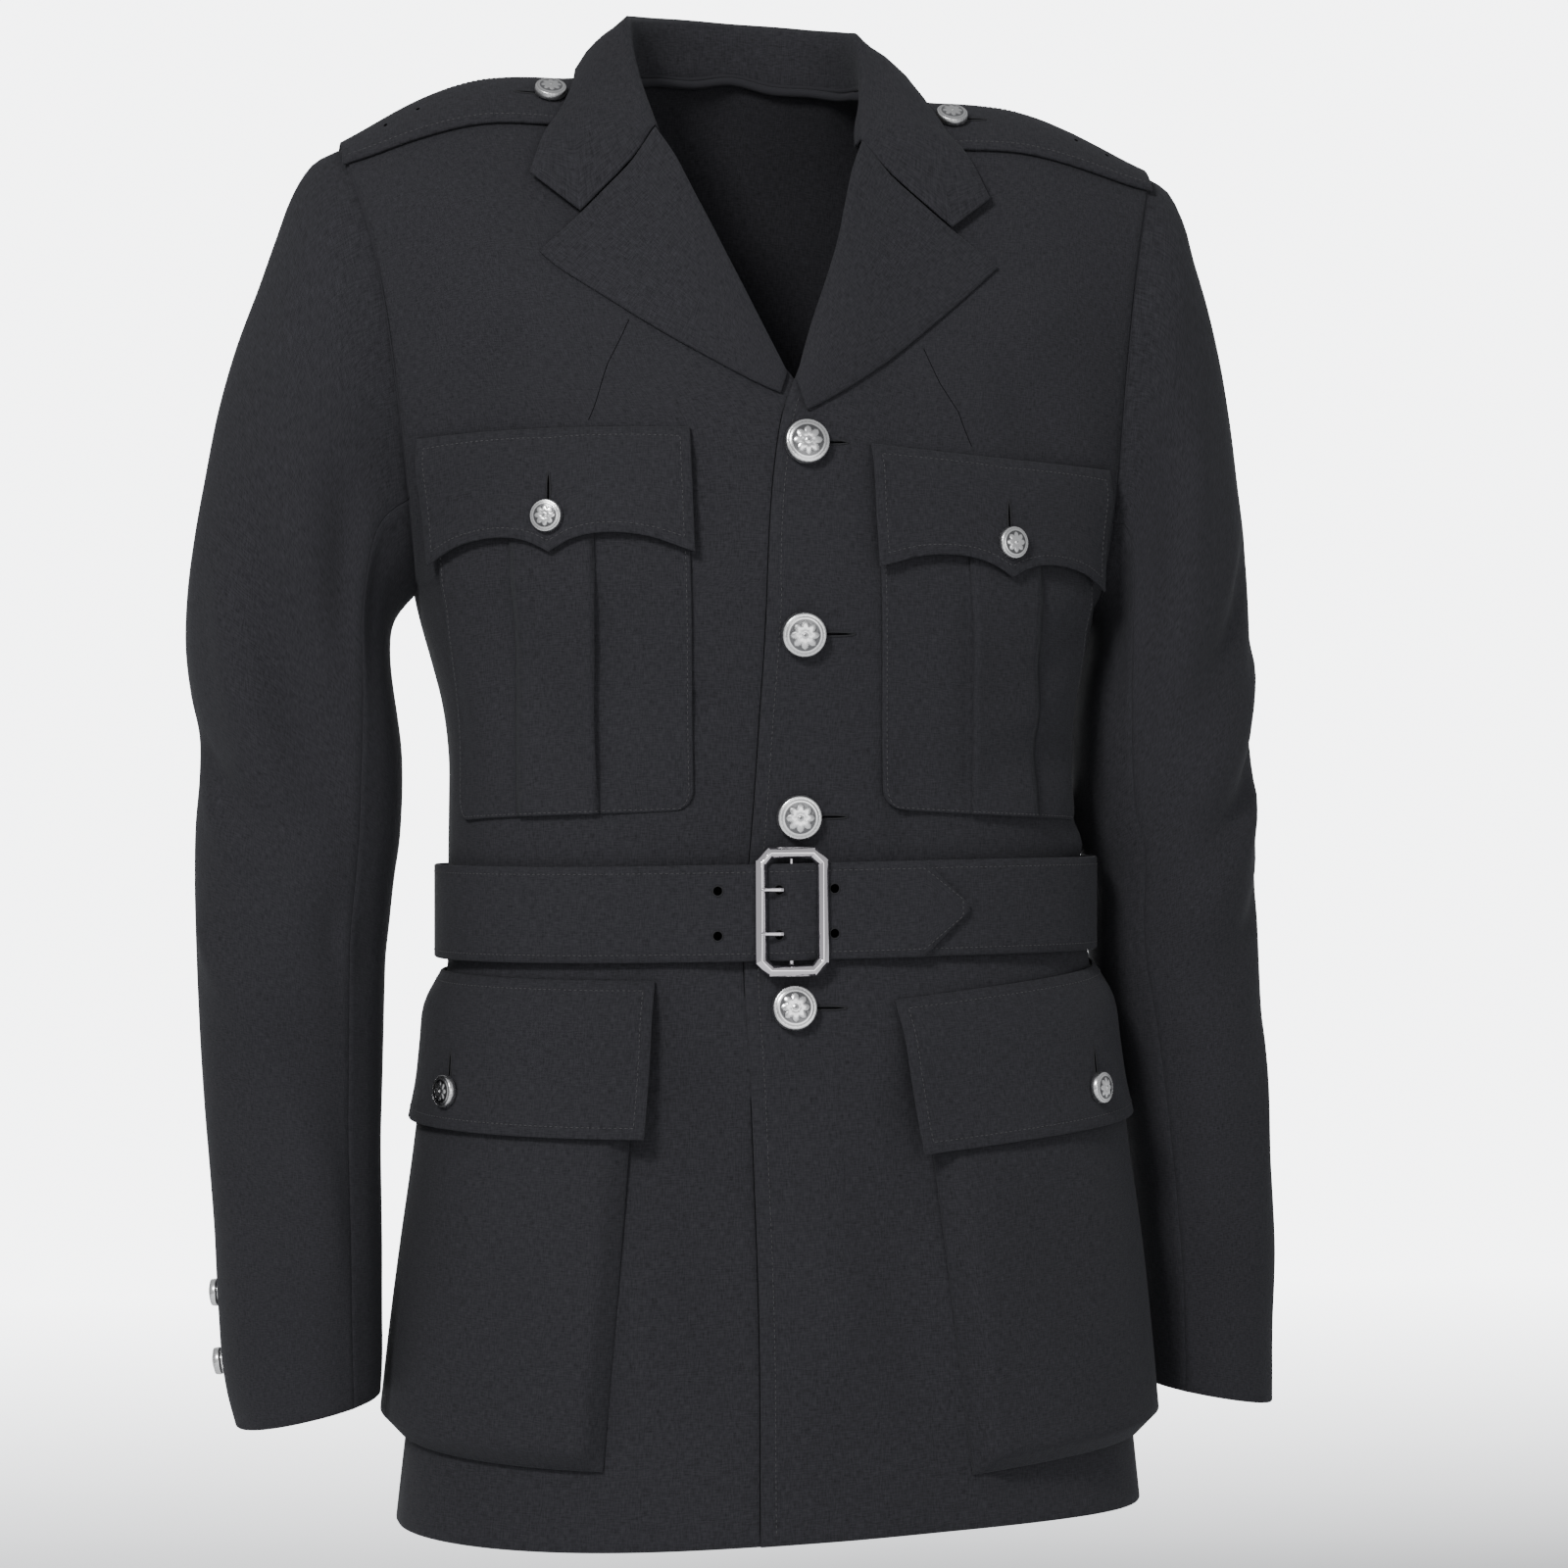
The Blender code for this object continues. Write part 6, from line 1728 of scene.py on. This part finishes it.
def make_buttons():
    """All the buttons with their buttonholes: front, pocket flaps, epaulettes and cuffs."""
    for k, (girth, height) in enumerate(FRONT_BUTTONS, start=1):
        base = lay_girth(girth * MM, height * MM, BUTTON_SEAT)
        normal = lay_girth(girth * MM, height * MM, 10 * MM) - base
        target = base + np.array([40 * MM, 0, 0])
        button_spot(f"button_front_{k}", base, normal, FRONT_BUTTON, "silver", "front_left", target, 27 * MM)
    for word, (side, low, high, top, _, drop) in CHEST_POCKETS.items():
        lift = 2 * POCKET_GAP + 2 * POCKET_CLOTH + PLEAT_RISE + BUTTON_SEAT
        height = top * MM + CHEST_FLAP_TOP - (46 + drop / 2) * MM
        girth = side * (low + high) / 2 * MM
        base = lay_girth(girth, height, lift)
        normal = lay_girth(girth, height, lift + 10 * MM) - base
        target = base + np.array([0, 0, 30 * MM])
        button_spot(
            f"button_chest_{word}", base, normal, SMALL_BUTTON, "silver", "chest_flap_" + word, target, 23 * MM)
    for word in HIP_POCKETS:
        girth, level = hip_place(word, 0.5, HIP_BUTTON_DOWN, HIP_FLAP_SPARE)
        full = HIP_RISE_TOP + (HIP_RISE - HIP_RISE_TOP) * float(smoothstep(HIP_BUTTON_DOWN, 0.0, 0.75))
        lift = 2.4 * POCKET_GAP + full + CLOTH + POCKET_CLOTH + BUTTON_SEAT
        base = lay_girth(girth, level, lift)
        normal = lay_girth(girth, level, lift + 10 * MM) - base
        target = lay_girth(girth, level + 30 * MM, lift)
        button_spot(f"button_hip_{word}", base, normal, SMALL_BUTTON, "silver", "hip_flap_" + word, target, 24 * MM)
    for side, word in ((-1, "right"), (1, "left")):
        distance, forward = EPAULETTE_BUTTON
        lift = POCKET_GAP + EPAULETTE_CLOTH + BUTTON_SEAT
        base = on_shoulder(side, distance, forward, lift)
        normal = on_shoulder(side, distance, forward, lift + 10 * MM) - base
        target = on_shoulder(side, distance + 30 * MM, forward - 3 * MM, lift)
        button_spot(
            f"button_epaulette_{word}", base, normal, SMALL_BUTTON, "satin", "epaulette_" + word, target, 22 * MM)
        for k, place in enumerate(CUFF_BUTTON_PLACES, start=1):
            angle = seam_angle(side, place) + 9
            here = sleeve_ring(side, place, angle)
            along = sleeve_ring(side, place + 0.2, angle) - sleeve_ring(side, place - 0.2, angle)
            around = sleeve_ring(side, place, angle + 3) - sleeve_ring(side, place, angle - 3)
            centre = (sleeve_ring(side, place, 0.0) + sleeve_ring(side, place, 180.0)) / 2
            normal = cross_normal(along, around, here - centre)
            button_spot(f"button_cuff_{word}_{k}", here + normal * BUTTON_SEAT / 2, normal, CUFF_BUTTON, "silver", "")


def make_stitching():
    """Top stitching of flaps, pockets, straps, belt and the front edge."""
    tree, keys = stitch_tree()
    for word in ("right", "left"):
        flap = SHELLS["chest_flap_" + word]
        stitch_piece(f"chest_flap_{word}_stitches", [line_on(flap, inset_path(flap, 5.5 * MM))], tree, keys)
        pocket = SHELLS["chest_pocket_" + word]
        stitch_piece(
            f"chest_pocket_{word}_stitches", [line_on(pocket, inset_path(pocket, 2.2 * MM, "ends_low"))], tree, keys)
        flap = SHELLS["hip_flap_" + word]
        stitch_piece(f"hip_flap_{word}_stitches", [line_on(flap, inset_path(flap, 6.0 * MM))], tree, keys)
        strap = SHELLS["epaulette_" + word]
        u0, u1 = strap.across[0] + 5.5 * MM, strap.across[-1] - 5.5 * MM
        v0, v1 = strap.along[0] + 2 * MM, strap.along[-1]
        stitch_piece(
            f"epaulette_{word}_stitches",
            [line_on(strap, [(u0, v0), (u0, v1)]), line_on(strap, [(u1, v0), (u1, v1)])], tree, keys)
    front = SHELLS["front_left"]
    _, break_v = locate(front, 0.012, -0.186)
    stitch_piece(
        "front_edge_stitches",
        [line_on(front, [(front.across[0] + 6.5 * MM, 6 * MM), (front.across[0] + 6.5 * MM, break_v)])], tree, keys)
    belt = SHELLS["belt"]
    inset = 4.0 * MM
    low, high = belt.across[0] + inset, belt.across[-1] - inset
    stop = belt.along[-1] - 5.0 * MM
    path = [(low, belt.along[0] + 10 * MM), (low, stop), (high, stop), (high, belt.along[0] + 10 * MM)]
    stitch_piece("belt_stitches", [line_on(belt, path)], tree, keys)


# Darts from lapel to pocket as seen from the front: side, then x and z of their points in mm
DARTS = (
    ("right", ((-73.7, -143), (-86, -168), (-97.3, -200))),
    ("left", ((82, -156), (91, -176.6), (100.6, -191.6), (108.4, -212))),
)
SEAM_TUBE = 0.42 * MM


ARMHOLE_WELT = 1.1 * MM
TURNING = 2.4 * MM


def make_armhole_welts():
    """The turned-in cloth that fills the groove where each sleeve is set in."""
    for word in ("right", "left"):
        lines = []
        for piece in ("sleeve_top_", "sleeve_under_"):
            shell = SHELLS[piece + word]
            lines.append(list(zip(shell.outer[0], shell.normal[0])))
        tube_along(f"armhole_{word}_welt", lines, ARMHOLE_WELT, "cloth", sides=8, sink=0.85 * MM)
        tube_along(f"armhole_{word}_turning", lines, TURNING, "cloth", sides=8, sink=TURNING + 0.6 * MM)
    for name in ("back", "front_left", "front_right"):
        shell = SHELLS[name]
        edges = [list(zip(shell.outer[:, side], shell.normal[:, side])) for side in (0, -1)]
        if name != "back":
            edges = edges[:1] if abs(shell.outer[40, 0, 1]) < abs(shell.outer[40, -1, 1]) else edges[1:]
        edges.append(list(zip(shell.outer[-1], shell.normal[-1])))
        tube_along(f"{name}_turning", edges, TURNING, "cloth", sides=8, sink=TURNING + 0.6 * MM)
    collar = SHELLS["collar"]
    tube_along(
        "collar_foot_turning", [list(zip(collar.outer[:, 0], collar.normal[:, 0]))], 0.8 * TURNING, "cloth",
        sides=8, sink=1.0 * MM)


def make_seams():
    """Darts, a line under the left front's edge and the back's centre seam as fine sunk lines of painted shade."""
    for word, spots in DARTS:
        shell = SHELLS["front_" + word]
        path = [locate(shell, x * MM, z * MM) for x, z in spots]
        # The dart line is painted shade: a near-black tube for the shade in the dart's fold
        tube_along(f"front_{word}_dart", [line_on(shell, path, 0.0, 3 * MM)], SEAM_TUBE, "seam", sink=0.3 * MM)
    front = SHELLS["front_left"]
    _, break_v = locate(front, 0.012, -0.19)
    edge = line_on(front, [(front.across[0], 2 * MM), (front.across[0], break_v)], 0.0, 6 * MM)
    # Painted shadow: a near-black tube under the left front's edge where it laps over the right front
    tube_along("front_edge_shadow", [edge], SEAM_TUBE, "seam", sink=1.5 * MM)
    back = SHELLS["back"]
    middle = (back.across[0] + back.across[-1]) / 2
    line = line_on(back, [(middle, back.along[0] + 2 * MM), (middle, back.along[-1] - 2 * MM)], 0.0, 4 * MM)
    # The centre back seam line is painted shade: a near-black tube for the shade in the seam's groove
    tube_along("back_seam", [line], SEAM_TUBE, "seam", sink=0.12 * MM)


# Pairs of eyelets along the belt, from the buckle's middle
EYELET_RUNS = (-38 * MM, -6.7 * MM, 22.5 * MM)
EYELET_RADIUS = 2.7 * MM


def ring_on(shell, place, radius, lift, count=20):
    """Pairs of point and normal round a place on a shell."""
    made = []
    for k in range(count):
        angle = 2 * math.pi * k / count
        made.append(shell.at(place[0] + radius * math.cos(angle), place[1] + radius * math.sin(angle), lift))
    return made


def disc_on(name, shell, places, radius, finish, lift):
    """Small flat discs on a shell."""
    vertices, faces = [], []
    for place in places:
        ring = ring_on(shell, place, radius, lift, 16)
        low = ring_on(shell, place, radius, lift - 0.25 * MM, 16)
        start = len(vertices)
        vertices += [p for p, _ in ring] + [p for p, _ in low]
        faces.append(tuple(start + k for k in range(16)))
        faces.append(tuple(start + 16 + k for k in reversed(range(16))))
        for k in range(16):
            j = (k + 1) % 16
            faces.append((start + j, start + k, start + 16 + k, start + 16 + j))
    piece = mesh_object(name, vertices, faces, FINISHES[finish], smooth=False)
    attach(piece, "root")
    return piece


def make_eyelets():
    """The belt's pairs of worked holes and the small pierced holes of the straps, with discs of painted shade for the
    openings.
    """
    belt = SHELLS["belt"]
    middle = (belt.across[0] + belt.across[-1]) / 2
    total = whole_girth(WAIST)
    places = []
    for run in EYELET_RUNS:
        centre = belt_point(BUCKLE_AT + run, WAIST, BELT_LIFT_FRONT + 2 * BELT_CLOTH)
        tail = belt.outer[belt.along > belt.along[-1] - 160 * MM]
        rows = np.nonzero(belt.along > belt.along[-1] - 160 * MM)[0]
        column = belt.outer.shape[1] // 2
        best = rows[int(np.argmin(np.linalg.norm(tail[:, column] - centre, axis=-1)))]
        v = belt.along[best] + (centre - belt.outer[best, column])[0]
        for off in (-PRONG_OFF_MIDDLE, PRONG_OFF_MIDDLE):
            places.append((middle + off, v))
    # Painted shade: near-black discs for the shade inside the belt's eyelet holes
    disc_on("belt_eyelet_holes", belt, places, EYELET_RADIUS * 0.95, "dark", 0.06 * MM)
    rings = [ring_on(belt, place, EYELET_RADIUS, 0.1 * MM) for place in places]
    tube_along("belt_eyelet_threads", rings, 0.42 * MM, "thread_dark", closed=True)
    LOG.info("belt girth %.0f mm", total * 1000)
    for word in ("left", "right"):
        strap = SHELLS["epaulette_" + word]
        side = 1 if word == "left" else -1
        spots = [near_point(strap, on_shoulder(side, d * MM, 24 * MM, 3 * MM)) for d in (180, 197)]
        # Painted shade: near-black discs for the shade inside the strap's holes
        disc_on(f"epaulette_{word}_holes", strap, spots, 1.1 * MM, "dark", 0.05 * MM)


def bevel(piece, width, segments=2):
    """Bevel a mesh object's edges and keep the result as plain mesh."""
    modifier = piece.modifiers.new("Bevel", "BEVEL")
    modifier.width, modifier.segments, modifier.limit_method = width, segments, "ANGLE"
    modifier.angle_limit = math.radians(12)
    modifier.harden_normals = True
    graph = bpy.context.evaluated_depsgraph_get()
    mesh = bpy.data.meshes.new_from_object(piece.evaluated_get(graph), depsgraph=graph)
    old = piece.data
    piece.modifiers.clear()
    piece.data = mesh
    bpy.data.meshes.remove(old)
    mesh.polygons.foreach_set("use_smooth", [True] * len(mesh.polygons))


def make_buckle():
    """The buckle: an eight-sided two-bevel frame, its bar and two round prongs."""
    centre, across, up, out = buckle_axes()
    half_w, half_h, cut = BUCKLE_WIDTH / 2, BUCKLE_HEIGHT / 2, BUCKLE_CORNER

    def loop(inset, height):
        w, h = half_w - inset, half_h - inset
        c = max(cut - inset * 0.6, 1.2 * MM)
        corners = ((w - c, h), (w, h - c), (w, c - h), (w - c, -h), (c - w, -h), (-w, c - h), (-w, h - c), (c - w, h))
        return [centre + across * x + up * y + out * height for x, y in corners]

    rings = [
        loop(0.0, 0.0), loop(0.15 * MM, BUCKLE_DEPTH * 0.45), loop(BUCKLE_BAR * 0.44, BUCKLE_DEPTH),
        loop(BUCKLE_BAR * 0.60, BUCKLE_DEPTH), loop(BUCKLE_BAR, BUCKLE_DEPTH * 0.4), loop(BUCKLE_BAR, 0.0),
    ]
    vertices = [point for ring in rings for point in ring]
    faces = []
    for r in range(len(rings)):
        for c in range(8):
            a, b = r * 8 + c, r * 8 + (c + 1) % 8
            d, e = ((r + 1) % len(rings)) * 8 + (c + 1) % 8, ((r + 1) % len(rings)) * 8 + c
            faces.append((a, b, d, e))
    frame_piece = mesh_object("buckle_frame_chrome", vertices, faces, FINISHES["chrome"], smooth=False)
    bevel(frame_piece, 0.25 * MM)
    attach(frame_piece, "root")
    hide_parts("buckle_frame")

    def rod(name, node_name, start, end, radius, tip=0.3, sides=12):
        line = []
        length = np.linalg.norm(end - start)
        for share in (0.0, 0.02, 0.2, 0.5, 0.8, 0.94, 1.0):
            line.append(start + (end - start) * share)
        side = np.cross(end - start, out)
        side /= np.linalg.norm(side)
        points, sheets = [], []
        widths = (0.6, 1.0, 1.0, 0.95, 0.85, 0.6, tip)
        for spot, width in zip(line, widths):
            for k in range(sides):
                angle = 2 * math.pi * k / sides
                points.append(spot + (side * math.cos(angle) + out * math.sin(angle)) * radius * width)
        for r in range(len(line) - 1):
            for k in range(sides):
                j = (k + 1) % sides
                sheets.append((r * sides + k, r * sides + j, (r + 1) * sides + j, (r + 1) * sides + k))
        sheets.append(tuple(reversed(range(sides))))
        sheets.append(tuple((len(line) - 1) * sides + k for k in range(sides)))
        piece = mesh_object(name, points, sheets, FINISHES["chrome"])
        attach(piece, "root")
        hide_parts(node_name)
        LOG.info("%s: %.1f mm", name, length * 1000)

    bar_reach = half_h - 2.0 * MM
    bar_middle = -BUCKLE_BAR_DROP - BUCKLE_BAR_THICK / 2
    rod("buckle_bar_rod", "buckle_bar", centre - up * bar_reach + out * bar_middle,
        centre + up * bar_reach + out * bar_middle, 1.2 * MM, tip=0.6)
    for word, sign in (("upper", 1), ("lower", -1)):
        level = up * sign * PRONG_OFF_MIDDLE + out * (BUCKLE_DEPTH + SEAM_GAP + PRONG_THICK / 2)
        root = centre + level - across * PRONG_ROOT
        tip = centre + level - across * (half_w - PRONG_TIP)
        rod(f"buckle_prong_{word}_rod", f"buckle_prong_{word}", root, tip, 1.15 * MM, tip=0.45)


# Camera: turn round the tunic in degrees, what it looks at, distance and lens
CAMERA_TURN = -8.0
CAMERA_TARGET = (0.0218, 0.0, -0.389)
CAMERA_DISTANCE = 2.4
CAMERA_LENS = 99.9
FLOOR_HEIGHT = -0.97
BACKDROP_AT = 6.0
BACKDROP_TOP = 1.6


def area_light(name, place, target, size, power, colour=(1.0, 1.0, 1.0)):
    """A soft square light turned to a target."""
    data = bpy.data.lights.new(name, "AREA")
    data.shape, data.size, data.energy, data.color = "SQUARE", size, power, colour
    made = bpy.data.objects.new(name, data)
    made.location = place
    made.rotation_euler = (Vector(target) - Vector(place)).to_track_quat("-Z", "Y").to_euler()
    bpy.context.scene.collection.objects.link(made)


def stage_sheet(name, corners):
    """A flat sheet of the studio, finished by its own name."""
    mesh = bpy.data.meshes.new(name)
    mesh.from_pydata(corners, [], [(0, 1, 2, 3)])
    mesh.materials.append(FINISHES[name])
    sheet = bpy.data.objects.new(name, mesh)
    bpy.context.scene.collection.objects.link(sheet)


def make_studio():
    """Pale floor, even soft light and the camera at the photo's viewing angle."""
    low, near, high, far = -1.2, -3.0, 2.9, BACKDROP_AT
    floor = [(low, near), (high, near), (high, far), (low, far)]
    stage_sheet("floor", [(x, y, FLOOR_HEIGHT) for x, y in floor])
    wall_corners = [(low, FLOOR_HEIGHT), (high, FLOOR_HEIGHT), (high, BACKDROP_TOP), (low, BACKDROP_TOP)]
    stage_sheet("backdrop", [(x, far, z) for x, z in wall_corners])
    world = bpy.data.worlds.new("studio")
    bpy.context.scene.world = world
    world.use_nodes = True
    sky = world.node_tree.nodes["Background"]
    sky.inputs[0].default_value = BACKGROUND
    sky.inputs[1].default_value = WORLD_STRENGTH
    area_light("key", (-1.35, -2.2, 1.15), (0.0, 0.0, -0.4), 0.55, 62.0)
    area_light("fill", (0.5, -2.9, -0.3), (0.0, 0.0, -0.45), 1.6, 18.0)
    data = bpy.data.cameras.new("camera")
    data.sensor_width, data.lens = 36.0, CAMERA_LENS
    camera = bpy.data.objects.new("camera", data)
    turn = math.radians(CAMERA_TURN)
    camera.location = Vector(CAMERA_TARGET) + Vector((math.sin(turn), -math.cos(turn), 0.0)) * CAMERA_DISTANCE
    camera.rotation_euler = (math.pi / 2, 0.0, turn)
    bpy.context.scene.collection.objects.link(camera)
    bpy.context.scene.camera = camera


def main():
    """Dress every node of the tunic and set up the studio."""
    logging.basicConfig(level=logging.INFO, format="%(name)s %(message)s")
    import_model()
    make_finishes()
    make_creases()
    make_back()
    for side in (-1, 1):
        make_front(side)
        make_lapel(side)
        make_sleeve(side)
        make_epaulette(side)
    make_collar()
    for word in ("right", "left"):
        make_chest_pocket(word)
        make_hip_pocket(word)
    make_belt()
    make_buckle()
    make_buttons()
    make_stitching()
    make_seams()
    make_armhole_welts()
    make_eyelets()
    make_studio()
    for name, width, length, area in CUTS:
        LOG.info("cut %s %.3f x %.3f m, %.4f m2", name, width, length, area)


if __name__ == "__main__":
    main()
